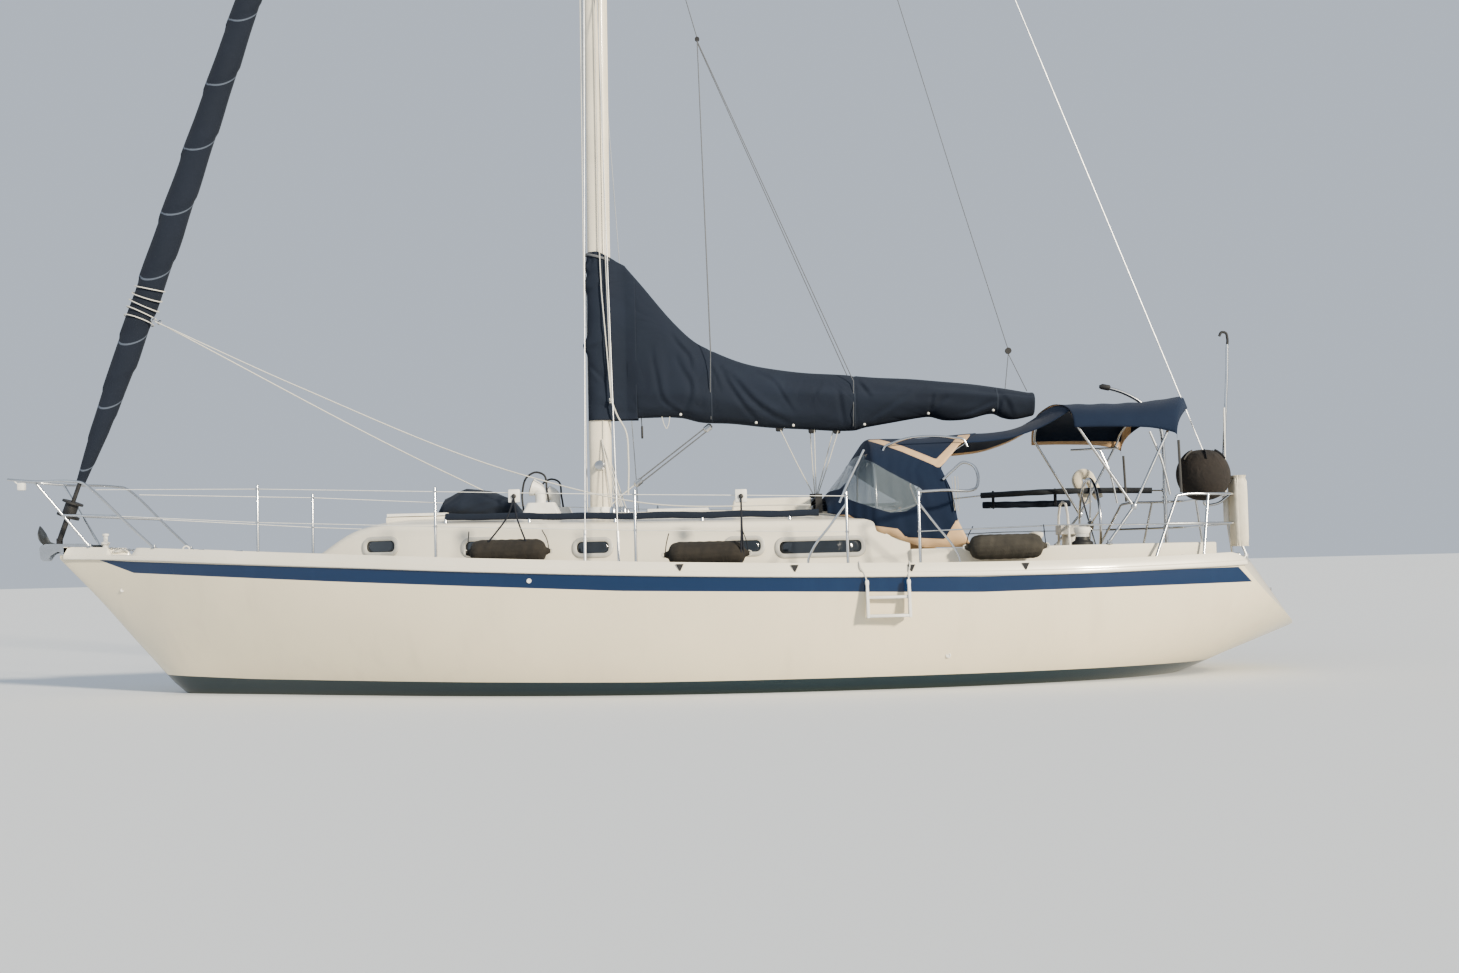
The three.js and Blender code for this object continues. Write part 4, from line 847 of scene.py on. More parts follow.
@dataclass(frozen=True)
class WoodFinish(Finish):
    """Oiled wood: long grain with dark lines."""

    def surface(self, w: Wiring) -> dict[str, Socket]:
        """Colour and relief of the grain.

        Args:
            w: The tree's wiring.

        Returns:
            The sockets.
        """
        made = super().surface(w)
        stretch = w.add("ShaderNodeMapping", {"Vector": self.place(w), "Scale": (30.0, 2.0, 30.0)})
        grain = w.add("ShaderNodeTexNoise", {"Vector": stretch.outputs[0], "Scale": 4.0, "Detail": 6.0})
        line = w.ramp(grain.outputs[0], 0.35, 0.65)
        made["Base Color"] = w.mix(line, self.color, self.shade)
        made["Normal"] = w.add("ShaderNodeBump", {"Height": line, "Distance": 0.0006}).outputs[0]
        return made


WHITE_GELCOAT = Finish("white_gelcoat", (0.82, 0.77, 0.66), (0.76, 0.71, 0.6), 0.28, coat=0.3, patches=2.0,
    slot="gelcoat")
HULL_PAINT = HullFinish("hull_paint", (0.82, 0.73, 0.55), (0.75, 0.67, 0.51), 0.2, coat=0.5, patches=0.7)
SPAR_PAINT = Finish("spar_paint", (0.82, 0.75, 0.62), (0.72, 0.66, 0.54), 0.38, coat=0.2, patches=2.5,
    slot="painted_spar")
FRAME_PLASTIC = Finish("frame_plastic", (0.52, 0.51, 0.47), (0.44, 0.43, 0.4), 0.4, patches=8.0)
STEEL = Finish("stainless", (0.66, 0.67, 0.68), (0.5, 0.51, 0.52), 0.18, metallic=1.0, patches=6.0,
    relief=0.00005, slot="stainless")
WIRE = Finish("rigging_wire", (0.62, 0.63, 0.64), (0.45, 0.46, 0.47), 0.35, metallic=0.9, patches=8.0,
    grain=900.0)
WHITE_WIRE = Finish("coated_wire", (0.8, 0.79, 0.75), (0.66, 0.65, 0.6), 0.5, patches=8.0)
BLACK = Finish("black_fitting", (0.02, 0.02, 0.022), (0.035, 0.035, 0.036), 0.5, patches=12.0, relief=0.0004,
    slot="black_fitting")
WHITE_PLASTIC = Finish("white_plastic", (0.8, 0.79, 0.75), (0.72, 0.7, 0.65), 0.42, patches=9.0,
    relief=0.0003, slot="white_plastic")
PANE = Finish("smoked_pane", (0.018, 0.024, 0.032), (0.03, 0.036, 0.045), 0.07, coat=0.6, patches=3.0,
    slot="smoked_acrylic")
TEAK = WoodFinish("teak", (0.15, 0.08, 0.04), (0.09, 0.048, 0.024), 0.62, patches=5.0)
BRONZE = Finish("bronze", (0.42, 0.28, 0.12), (0.3, 0.2, 0.09), 0.42, metallic=1.0, patches=14.0,
    relief=0.0006)
ANTIFOULING = Finish("antifouling", (0.014, 0.03, 0.045), (0.022, 0.04, 0.05), 0.8, patches=4.0,
    relief=0.0008)
COVER_CANVAS = ClothFinish("cover_canvas", (0.01, 0.016, 0.03), (0.017, 0.025, 0.043), patches=1.6,
    crease=0.02)
SAIL_COVER_CANVAS = ClothFinish("sail_cover_canvas", (0.01, 0.016, 0.03), (0.017, 0.025, 0.043), patches=1.6,
    crease=0.035, crease_scale=2.2, seam_width=0.004, seam_color=(0.03, 0.04, 0.06))
HEADSAIL_CANVAS = ClothFinish("headsail_canvas", (0.009, 0.014, 0.026), (0.015, 0.021, 0.036), patches=1.2,
    crease=0.01, crease_scale=5.0, seam_width=0.012)
CANOPY_CANVAS = PanelFinish("canopy_canvas", (0.003, 0.012, 0.036), (0.006, 0.018, 0.048), patches=2.0,
    crease=0.008)
# Inner side of the canopies: the canopy canvas darkened as painted shade, with its real tan binding.
SHADED_UNDERSIDE_CANVAS = PanelFinish("shaded_underside_canvas", (0.003, 0.01, 0.028), (0.005, 0.015, 0.038), patches=2.0,
    crease=0.004, strip="lining")
GRILL_CANVAS = ClothFinish("grill_canvas", (0.02, 0.018, 0.017), (0.042, 0.034, 0.029), patches=5.0,
    crease=0.02, crease_scale=7.0)
WHITE_CANVAS = ClothFinish("white_canvas", (0.78, 0.73, 0.62), (0.68, 0.62, 0.5), patches=5.0, crease=0.012,
    crease_scale=6.0)
FENDER_CLOTH = ClothFinish("fender_cloth", (0.02, 0.018, 0.016), (0.04, 0.035, 0.029), patches=9.0,
    grain=420.0, crease=0.006, crease_scale=30.0)
WORN_CLOTH = ClothFinish("worn_cloth", (0.03, 0.028, 0.024), (0.075, 0.068, 0.056), patches=7.0, grain=420.0,
    crease=0.006, crease_scale=30.0)
PAD_CLOTH = ClothFinish("pad_cloth", (0.026, 0.03, 0.038), (0.048, 0.053, 0.062), patches=5.0)
# Anchor steel: galvanised steel painted dark as shade on the anchor at the bow.
ANCHOR_STEEL = Finish("anchor_steel", (0.12, 0.13, 0.14), (0.06, 0.065, 0.07), 0.5, metallic=0.7,
    patches=12.0)
GREY_LINE = RopeFinish("grey_line", (0.2, 0.21, 0.22), (0.1, 0.1, 0.11))
WHITE_ROPE = RopeFinish("white_rope", (0.78, 0.76, 0.7), (0.56, 0.54, 0.48))
DARK_ROPE = RopeFinish("dark_rope", (0.03, 0.035, 0.05), (0.015, 0.016, 0.022))


# Pieces


def piece(name: str, form: Form, finish: Finish, body: Body = Body.HULL, *, replaces: Sequence[str] = (),
        sharp: float = 35.0, oriented: bool = True, uv: Array | None = None,
        fields: Fields | None = None) -> Object:
    """Makes a surface an object that rides on a body.

    Args:
        name: What the piece is called.
        form: Its surface.
        finish: Its material.
        body: The body it rides on.
        replaces: The CAD nodes it stands for.
        sharp: The angle, in degrees, past which an edge stays sharp.
        oriented: Whether the faces are turned outwards, as for a closed body.
        uv: A flat place for each point, in metres.
        fields: Numbers that each point carries, by name, worked out from the points.

    Returns:
        The object.
    """
    mesh = bpy.data.meshes.new(name)
    mesh.from_pydata(form.points.tolist(), [], [row for group in form.faces for row in group.tolist()])
    if uv is not None:
        corners = np.empty(len(mesh.loops), np.int32)
        mesh.loops.foreach_get("vertex_index", corners)
        mesh.uv_layers.new(name="UVMap").data.foreach_set("uv", uv[corners].astype(np.float32).ravel())
    work = bmesh.new()
    work.from_mesh(mesh)
    bmesh.ops.remove_doubles(work, verts=work.verts, dist=MERGE)
    if oriented:
        bmesh.ops.recalc_face_normals(work, faces=work.faces)
    work.to_mesh(mesh)
    work.free()
    return finished(mesh, name, finish, body, replaces, sharp, fields)


def finished(mesh: bpy.types.Mesh, name: str, finish: Finish, body: Body, replaces: Sequence[str] = (),
        sharp: float = 35.0, fields: Fields | None = None) -> Object:
    """Links a mesh as a piece, with its fields, smooth shading, material and body.

    Args:
        mesh: The mesh.
        name: What the piece is called.
        finish: Its material.
        body: The body it rides on.
        replaces: The CAD nodes it stands for.
        sharp: The angle, in degrees, past which an edge stays sharp.
        fields: Numbers that each point carries.

    Returns:
        The object.
    """
    spots = np.empty(len(mesh.vertices) * 3, np.float32)
    mesh.vertices.foreach_get("co", spots)
    for key, rule in (fields or {}).items():
        layer = mesh.attributes.new(key, "FLOAT", "POINT")
        layer.data.foreach_set("value", rule(spots.reshape(-1, 3).astype(float)).astype(np.float32))
    mesh.shade_smooth()
    mesh.set_sharp_from_angle(angle=math.radians(sharp))
    made = bpy.data.objects.new(name, mesh)
    bpy.context.scene.collection.objects.link(made)
    made.data.materials.append(finish.material())
    if replaces:
        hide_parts(*replaces)
    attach(made, body.value)
    LOG.info("%s: %d points on %s", name, len(mesh.vertices), body.value)
    return made


def refined(node: str, name: str, finish: Finish, body: Body = Body.HULL, *, edge: float = 0.005) -> Object:
    """A CAD node's shape with its flat faces joined and its edges rounded.

    Args:
        node: The CAD node it stands for.
        name: What the piece is called.
        finish: Its material.
        body: The body it rides on.
        edge: Width of the rounding.

    Returns:
        The object.
    """
    work = bmesh.new()
    work.from_mesh(frame["nodes"][node].data)
    bmesh.ops.remove_doubles(work, verts=work.verts, dist=MERGE)
    bmesh.ops.dissolve_limit(work, angle_limit=math.radians(1), verts=work.verts, edges=work.edges)
    work.verts.ensure_lookup_table()
    points = np.array([v.co for v in work.verts])
    loops = [[v.index for v in f.verts] for f in work.faces]
    work.free()
    mesh = bpy.data.meshes.new(name)
    mesh.from_pydata(points.tolist(), [], loops)
    made = finished(mesh, name, finish, body, (node,))
    if edge:
        bevel = made.modifiers.new("edges", "BEVEL")
        bevel.width, bevel.segments, bevel.limit_method = edge, 2, "ANGLE"
        bevel.angle_limit = math.radians(40)
        made.modifiers.new("normals", "WEIGHTED_NORMAL").keep_sharp = True
    return made


def cloth(name: str, grid: Array, finish: Finish,
        body: Body | None = Body.HULL, *, replaces: Sequence[str] = (), thick: float = 0.002,
        lining: Finish | None = None, fields: Fields | None = None) -> Object:
    """A sheet of cloth from a grid of points, with UVs in metres that give the size it was cut to.

    Args:
        name: What the piece is called.
        grid: Points, as rows by columns by 3, whose faces point outwards.
        finish: Its material.
        body: The body it rides on, or None to leave it on no body, where it hangs between two.
        replaces: The CAD nodes it stands for.
        thick: Thickness of the cloth.
        lining: The material of its inner side, where that differs: for the canopies, a darker copy of their
            canvas as painted shade.
        fields: Numbers that each point carries.

    Returns:
        The object.
    """
    flat = flat_places(grid)
    made = piece(name, surface(grid), finish, body or Body.HULL, replaces=replaces, sharp=60,
        oriented=False, uv=flat, fields=fields)
    wall = made.modifiers.new("wall", "SOLIDIFY")
    wall.thickness, wall.offset = thick, -1
    if lining:
        made.data.materials.append(lining.material())
        wall.material_offset = 1
    if body is None:
        made.parent = None
        del made["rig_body"]
    return made


def stuffed(name: str, grid: Array, finish: Finish, *, replaces: Sequence[str] = (),
        sharp: float = 60, fields: Fields | None = None) -> Object:
    """A padded body through rings of points.

    Args:
        name: What the piece is called.
        grid: Its rings, as rows by columns by 3.
        finish: Its material.
        replaces: The CAD nodes it stands for.
        sharp: The angle, in degrees, past which an edge stays sharp.
        fields: Numbers that each point carries.

    Returns:
        The object.
    """
    made = piece(name, loft(grid), finish, replaces=replaces, sharp=sharp, uv=flat_places(grid),
        fields=fields)
    return made


def line_between(name: str, form: Form, finish: Finish) -> None:
    """A line between the hull and the boom, left on no body with its placement baked into its points.

    Args:
        name: What the piece is called.
        form: The line.
        finish: Its material.
    """
    made = piece(name, form, finish)
    made.parent = None
    del made["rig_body"]
    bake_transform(made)


def flat_places(grid: Array) -> Array:
    """Where each point of a grid lies on the flat cloth: its way along the row and down the column.

    Args:
        grid: The points, as rows by columns by 3.

    Returns:
        Two lengths for each point.
    """
    u = np.pad(np.cumsum(np.linalg.norm(np.diff(grid, axis=1), axis=2), 1), ((0, 0), (1, 0)))
    v = np.pad(np.cumsum(np.linalg.norm(np.diff(grid, axis=0), axis=2), 0), ((1, 0), (0, 0)))
    return np.stack([u, v], -1).reshape(-1, 2)


def interpolated(table: Sequence[Sequence[float]], column: int, x: Array | float) -> Array:
    """One column of a table at x: cubic pieces whose slopes are those between each row's neighbours.

    Args:
        table: Rows that begin with x.
        column: The column's number.
        x: How far forward.

    Returns:
        The values there.
    """
    rows = np.array(table, float)
    rows = rows[np.argsort(rows[:, 0])]
    knots, values = rows[:, 0], rows[:, column]
    at = np.clip(np.asarray(x, float), knots[0], knots[-1])
    low, high = np.maximum(np.arange(len(knots)) - 1, 0), np.minimum(np.arange(len(knots)) + 1,
        len(knots) - 1)
    slope = (values[high] - values[low]) / (knots[high] - knots[low])
    return cubic(at, knots, values, slope)


# Hull and deckhouse

HULL_TABLE = [
    (-5.7, 0.8, 1.04, 0.44, 2.3, 2.0),
    (-5.0, 1.04, 1.015, 0.175, 2.5, 2.0),
    (-4.4, 1.255, 0.995, -0.04, 2.6, 2.1),
    (-3.2, 1.575, 0.975, -0.31, 2.8, 2.2),
    (-1.6, 1.785, 0.99, -0.51, 3.0, 2.1),
    (0.0, 1.825, 1.035, -0.56, 3.0, 2.0),
    (1.6, 1.64, 1.105, -0.52, 2.6, 1.8),
    (3.0, 1.265, 1.18, -0.4, 2.1, 1.6),
    (4.1, 0.86, 1.24, -0.215, 1.7, 1.45),
    (4.75, 0.565, 1.28, -0.015, 1.5, 1.35),
    (5.15, 0.37, 1.3, 0.385, 1.4, 1.3),
    (5.6, 0.165, 1.318, 0.895, 1.3, 1.25),
    (5.98, 0.014, 1.33, 1.29, 1.2, 1.2),
]


class Column(Enum):
    """Columns of the hull's table."""

    HALF_BEAM = 1
    DECK = 2
    KEEL = 3
    DEPTH_POWER = 4
    BEAM_POWER = 5


def hull_at(x: Array | float, column: Column) -> Array:
    """One of the hull's measures at x."""
    return interpolated(HULL_TABLE, column.value, x)


CAMBER = 0.035


def deck_height(x: Array | float, y: Array | float) -> Array:
    """Height of the deck: its edge plus a camber that falls off with the square of y."""
    half = hull_at(x, Column.HALF_BEAM)
    return hull_at(x, Column.DECK) + CAMBER * half * (1 - (np.asarray(y) / half) ** 2)


def topside_half(x: Array | float, z: Array | float) -> Array:
    """Half width of the hull at a height.

    Args:
        x: How far forward.
        z: The height.

    Returns:
        The half width.
    """
    edge, keel = hull_at(x, Column.DECK), hull_at(x, Column.KEEL)
    drop = np.clip((edge - z) / (edge - keel), 0, 1)
    power = hull_at(x, Column.DEPTH_POWER)
    return hull_at(x, Column.HALF_BEAM) * (1 - drop**power) ** (1 / hull_at(x, Column.BEAM_POWER))


@dataclass
class Hull:
    """The decked hull with its cockpit, toe rails and fittings."""

    bow_x: float = 5.98
    sections: int = 150
    side_points: int = 30
    deck_points: int = 25
    transom: tuple[float, float, float, float, float] = (-4.87, 1.1, 0.65, 0.26, 0.94)
    seat: tuple[float, float, float, float] = (-4.48, -1.955, 0.9, 0.85)
    well: tuple[float, float, float] = (-4.3, -2.32, 0.37)
    helm: tuple[float, float, float] = (-4.3, -3.42, 0.6)
    sole: float = 0.43
    stripe_x: tuple[float, ...] = (-4.95, -2.49, 0.52, 3.05, 5.14, 5.54)
    stripe_top: tuple[float, ...] = (0.956, 0.93, 1.022, 1.139, 1.248, 1.277)
    stripe_bottom: tuple[float, ...] = (0.823, 0.803, 0.887, 1.022, 1.144, 1.165)

    def transom_x(self, y: Array, z: Array) -> Array:
        """Where the transom's face is: a slope in height and a round in plan."""
        x, top, slope, bulge, half = self.transom
        return x - slope * (top - z) - bulge * (1 - (y / half) ** 2)

    def settled(self, share: Array, place: Callable[[Array], tuple[Array, Array]]) -> Array:
        """Points at a share of the way from the transom's face to the bow, worked out again until they stand
        still.

        Args:
            share: The share of the way.
            place: Gives y and z at x.

        Returns:
            The points.
        """
        x = self.transom[0] + share * (self.bow_x - self.transom[0])
        for _ in range(24):
            y, z = place(x)
            start = self.transom_x(y, z)
            x = start + share * (self.bow_x - start)
        y, z = place(x)
        return np.stack([x, y, z], -1)

    def side(self, share: Array) -> Array:
        """The port side: half beam and depth as powers of a cosine and a sine.

        Args:
            share: Where the sections stand, from 0 at the transom to 1.

        Returns:
            The points.
        """
        angle = np.linspace(0, np.pi / 2, self.side_points)[None, :]

        def place(x: Array) -> tuple[Array, Array]:
            """Half width and height round the section.

            Args:
                x: How far forward.

            Returns:
                The two.
            """
            edge, keel = hull_at(x, Column.DECK), hull_at(x, Column.KEEL)
            y = (hull_at(x, Column.HALF_BEAM) * np.clip(np.cos(angle), 0, 1) ** (2 / hull_at(x,
                Column.BEAM_POWER)))
            return (np.where(angle > np.pi / 2 - 1e-9, 0, y),
                edge - (edge - keel) * np.sin(angle) ** (2 / hull_at(x, Column.DEPTH_POWER)))
        return self.settled(np.repeat(share[:, None], self.side_points, 1), place)

    def deck(self, share: Array) -> Array:
        """The deck from port to starboard.

        Args:
            share: Where the sections stand, from 0 at the transom to 1.

        Returns:
            The points.
        """
        across = np.linspace(1, -1, self.deck_points)[None, :]

        def place(x: Array) -> tuple[Array, Array]:
            """Across and up at x."""
            y = across * hull_at(x, Column.HALF_BEAM)
            return y, deck_height(x, y)
        return self.settled(np.repeat(share[:, None], self.deck_points, 1), place)

    def end(self, side: Array, deck: Array, stern: bool) -> Form:
        """The face at one end: rows across it, the top one on the deck's edge, fading to the section below.

        Args:
            side: The section's points.
            deck: The deck's points there.
            stern: Whether it is the transom.

        Returns:
            The face.
        """
        fade = ((1 - np.linspace(0, 1, self.side_points)) ** 4)[:, None]
        across = np.linspace(1, -1, self.deck_points)[None, :]
        y = across * side[:, 1:2] + fade * (deck[None, :, 1] - across * side[0, 1])
        z = side[:, 2:3] + fade * (deck[None, :, 2] - side[0, 2])
        x = self.transom_x(y, z) if stern else np.full_like(y, self.bow_x)
        return surface(np.stack([x, y, z], -1))

    def shell(self) -> Form:
        """The closed hull, before its cockpit is cut.

        Returns:
            The surface.
        """
        t = np.linspace(0, 1, self.sections)
        share = t + 0.08 * np.sin(2 * np.pi * t) / np.pi
        side, deck = self.side(share), self.deck(share)
        return gathered([surface(side).both(), surface(deck), self.end(side[0], deck[0], True),
            self.end(side[-1], deck[-1], False)])

    def cutters(self) -> list[Form]:
        """What the cockpit takes out: seats, foot well and helm well, with round corners in plan.

        Returns:
            A body for each.
        """
        high = 1.4
        aft, front, half, z = self.seat
        made = []
        for (x0, x1, reach, low) in ((aft, front, half, z), (*self.well, self.sole), (*self.helm, self.sole)):
            outline = round_rectangle(x1 - x0, 2 * reach, 0.07) + ((x0 + x1) / 2, 0)
            made.append(prism(outline, low, high))
        return made

    def in_cockpit(self, at: Array) -> Array:
        """Which points lie in the cockpit's space.

        Args:
            at: The points.

        Returns:
            Whether each is in it.
        """
        aft, front, half, _ = self.seat
        slack = 0.002
        return ((at[:, 0] > aft - slack) & (at[:, 0] < front + slack) & (np.abs(at[:, 1]) < half + slack)
            & (at[:, 2] > self.sole - slack))

    def paint(self) -> Fields:
        """The distances that the paint reads: to the stripe's edges and ends, the boot top and the deck's
        edge.

        Returns:
            A rule for each, by name.
        """
        def outside(rule: Rule) -> Rule:
            """The rule on the outer hull, and well outside the mark in the cockpit."""
            return lambda at: np.where(self.in_cockpit(at), -1.0, rule(at))

        def ends(at: Array) -> Array:
            """Distance inside the slanted ends of the stripe.

            Args:
                at: The points.

            Returns:
                The distances.
            """
            front = 5.14 + (at[:, 2] - 1.144) / 0.133 * 0.4
            back = -4.95 + (at[:, 2] - 0.823) / 0.13 * 0.13
            return np.minimum(front - at[:, 0], at[:, 0] - back)

        def deck_in(at: Array) -> Array:
            """Distance inside the deck's edge, negative on the topsides.

            Args:
                at: The points.

            Returns:
                The distances.
            """
            half, edge = hull_at(at[:, 0], Column.HALF_BEAM), hull_at(at[:, 0], Column.DECK)
            on_deck = at[:, 2] > deck_height(at[:, 0], np.minimum(np.abs(at[:, 1]), half)) - 0.004
            return np.where(on_deck, half - np.abs(at[:, 1]), -np.abs(edge - at[:, 2]) - 0.001)
        return {"stripe_top": outside(lambda at: np.interp(at[:, 0], self.stripe_x, self.stripe_top)
            - at[:, 2]), "stripe_bottom": outside(lambda at: at[:, 2] - np.interp(at[:, 0], self.stripe_x,
            self.stripe_bottom)), "stripe_ends": outside(ends),
            "boot_top": outside(lambda at: np.interp(at[:, 0], [-5.0, 0.3, 4.0, 5.6],
            [0.115, 0.115, 0.15, 0.2]) - at[:, 2]), "deck_in": outside(deck_in)}

    def build_shell(self) -> None:
        """The hull, cut and painted."""
        plain = piece("hull_blank", self.shell(), HULL_PAINT)
        tools = [piece(f"cutter_{i}", form, HULL_PAINT) for i, form in enumerate(self.cutters())]
        for i, tool in enumerate(tools):
            cut = plain.modifiers.new(f"cut_{i}", "BOOLEAN")
            cut.object, cut.operation, cut.solver = tool, "DIFFERENCE", "EXACT"
        bpy.context.view_layer.update()
        mesh = bpy.data.meshes.new_from_object(plain.evaluated_get(bpy.context.evaluated_depsgraph_get()))
        for waste in (plain, *tools):
            bpy.data.objects.remove(waste)
        mesh.materials.clear()
        mesh.name = "hull_shell"
        finished(mesh, "hull_shell", HULL_PAINT, Body.HULL, ("hull",), fields=self.paint())

    def rail_ring(self, x: Array) -> Array:
        """The toe rail's section with the moulding below it, at each x.

        Args:
            x: How far forward.

        Returns:
            The rings.
        """
        half, edge = hull_at(x, Column.HALF_BEAM), hull_at(x, Column.DECK)
        top = np.interp(x, [-4.9, -4.8, 5.1, 5.16, 5.4, 5.44], [0.012, 0.078, 0.078, 0.012, 0.012, 0.078])
        width = 0.046
        across = [half - width, half - width + 0.004, half - width + 0.012, half - 0.01, half - 0.004,
            half + 0.01, half + 0.02, half + 0.024, half + 0.024, half + 0.018, half + 0.008, half - 0.012]
        up = [0 * x - 0.008, top - 0.006, top, top, top - 0.006, 0 * x + 0.004, 0 * x, 0 * x - 0.008,
            0 * x - 0.034, 0 * x - 0.04, 0 * x - 0.042, 0 * x - 0.042]
        near = np.where(x > 5.59, 0.056, 0.001)[None]
        y = np.maximum(np.array(across), near)
        return np.stack([np.broadcast_to(x, y.shape), y, edge + np.array(up)], -1).transpose(1, 0, 2)

    def build_rails(self) -> None:
        """Toe rails, with black blocks in their notches as painted shade of the openings."""
        x = np.concatenate([np.linspace(-4.9, 5.05, 140), np.linspace(5.1, 5.46, 20),
            np.linspace(5.5, 5.925, 12)])
        rail = loft(self.rail_ring(x))
        for side, form in on_sides(rail):
            piece(f"rail_{side}", form, WHITE_GELCOAT, replaces=[f"toe_rail_{side}"],
                sharp=40)
        # black blocks set into the rail where its notches are: painted shade, since the rail itself is not
        # cut
        notches = []
        for at in (0.02, -0.93, -1.9, -2.87):
            y = hull_at(at, Column.HALF_BEAM)
            z = hull_at(at, Column.DECK)
            notches.append(prism([(at - 0.032, z + 0.062), (at + 0.032, z + 0.062), (at + 0.006, z + 0.006),
                (at - 0.006, z + 0.006)], y - 0.02, y + 0.0125, axis=1))
        piece("scupper_shade", gathered(notches).both(), BLACK)

    def build_fittings(self) -> None:
        """Through-hulls on the port side and cleats on both."""
        rings = []
        for x, z, radius in ((1.289, 0.988, 0.02), (5.3, 0.985, 0.018), (-2.2, 0.28, 0.022)):
            y = topside_half(x, z)
            profile = [(0.0, 0.004), (radius * 0.55, 0.004), (radius * 0.7, 0.01), (radius, 0.008),
                (radius, -0.01)]
            rings.append(lathe(profile, (x, y - 0.002, z), (0, 1, 0.1), 20))
        piece("through_hulls", gathered(rings), WHITE_PLASTIC)
        cleats = []
        for x in (4.55, -0.25, -4.45):
            y = hull_at(x, Column.HALF_BEAM) - 0.12
            z = deck_height(x, y)
            horn = sweep(flowing([(x - 0.13, y, z + 0.062), (x - 0.05, y, z + 0.052),
                (x + 0.05, y, z + 0.052), (x + 0.13, y, z + 0.062)], 16), oval(0.012, 0.009, 10),
                np.interp(np.linspace(0, 1, 16), [0, 0.3, 0.7, 1], [0.6, 1.1, 1.1, 0.6]))
            legs = [lathe([(0.0, -0.01), (0.022, -0.01), (0.02, 0.006), (0.011, 0.02), (0.012, 0.05),
                (0.0, 0.05)], (x + side * 0.04, y, z), sides=14) for side in (-1, 1)]
            cleats += [horn, *legs]
        piece("cleats", gathered(cleats).both(), STEEL)

    def build(self) -> None:
        """Everything of the hull."""
        self.build_shell()
        self.build_rails()
        self.build_fittings()


TRUNK_TABLE = [
    (3.44, 0.54, 0.52, 1.225, 1.25),
    (2.96, 0.74, 0.68, 1.475, 1.53),
    (2.18, 0.985, 0.905, 1.5, 1.59),
    (0.56, 1.215, 1.12, 1.466, 1.578),
    (-0.9, 1.245, 1.145, 1.45, 1.572),
    (-1.955, 1.24, 1.14, 1.44, 1.562),
]


def roof_height(x: Array | float, y: Array | float) -> Array:
    """Height of the deckhouse's roof: crown minus a camber with the square of y."""
    edge_half, edge, crown = (interpolated(TRUNK_TABLE, column, x) for column in (2, 3, 4))
    return edge + (crown - edge) * (1 - (np.asarray(y) / edge_half) ** 2)


def house_side(x: Array | float, z: Array | float) -> Array:
    """Half width of the deckhouse's side at a height: straight from its foot to just under the roof.

    Args:
        x: How far forward.
        z: The height.

    Returns:
        The half width.
    """
    foot, edge_half, edge = (interpolated(TRUNK_TABLE, column, x) for column in (1, 2, 3))
    share = (np.asarray(z) - 0.8) / (edge - 0.06 - 0.8)
    return foot + (edge_half + 0.014 - foot) * share


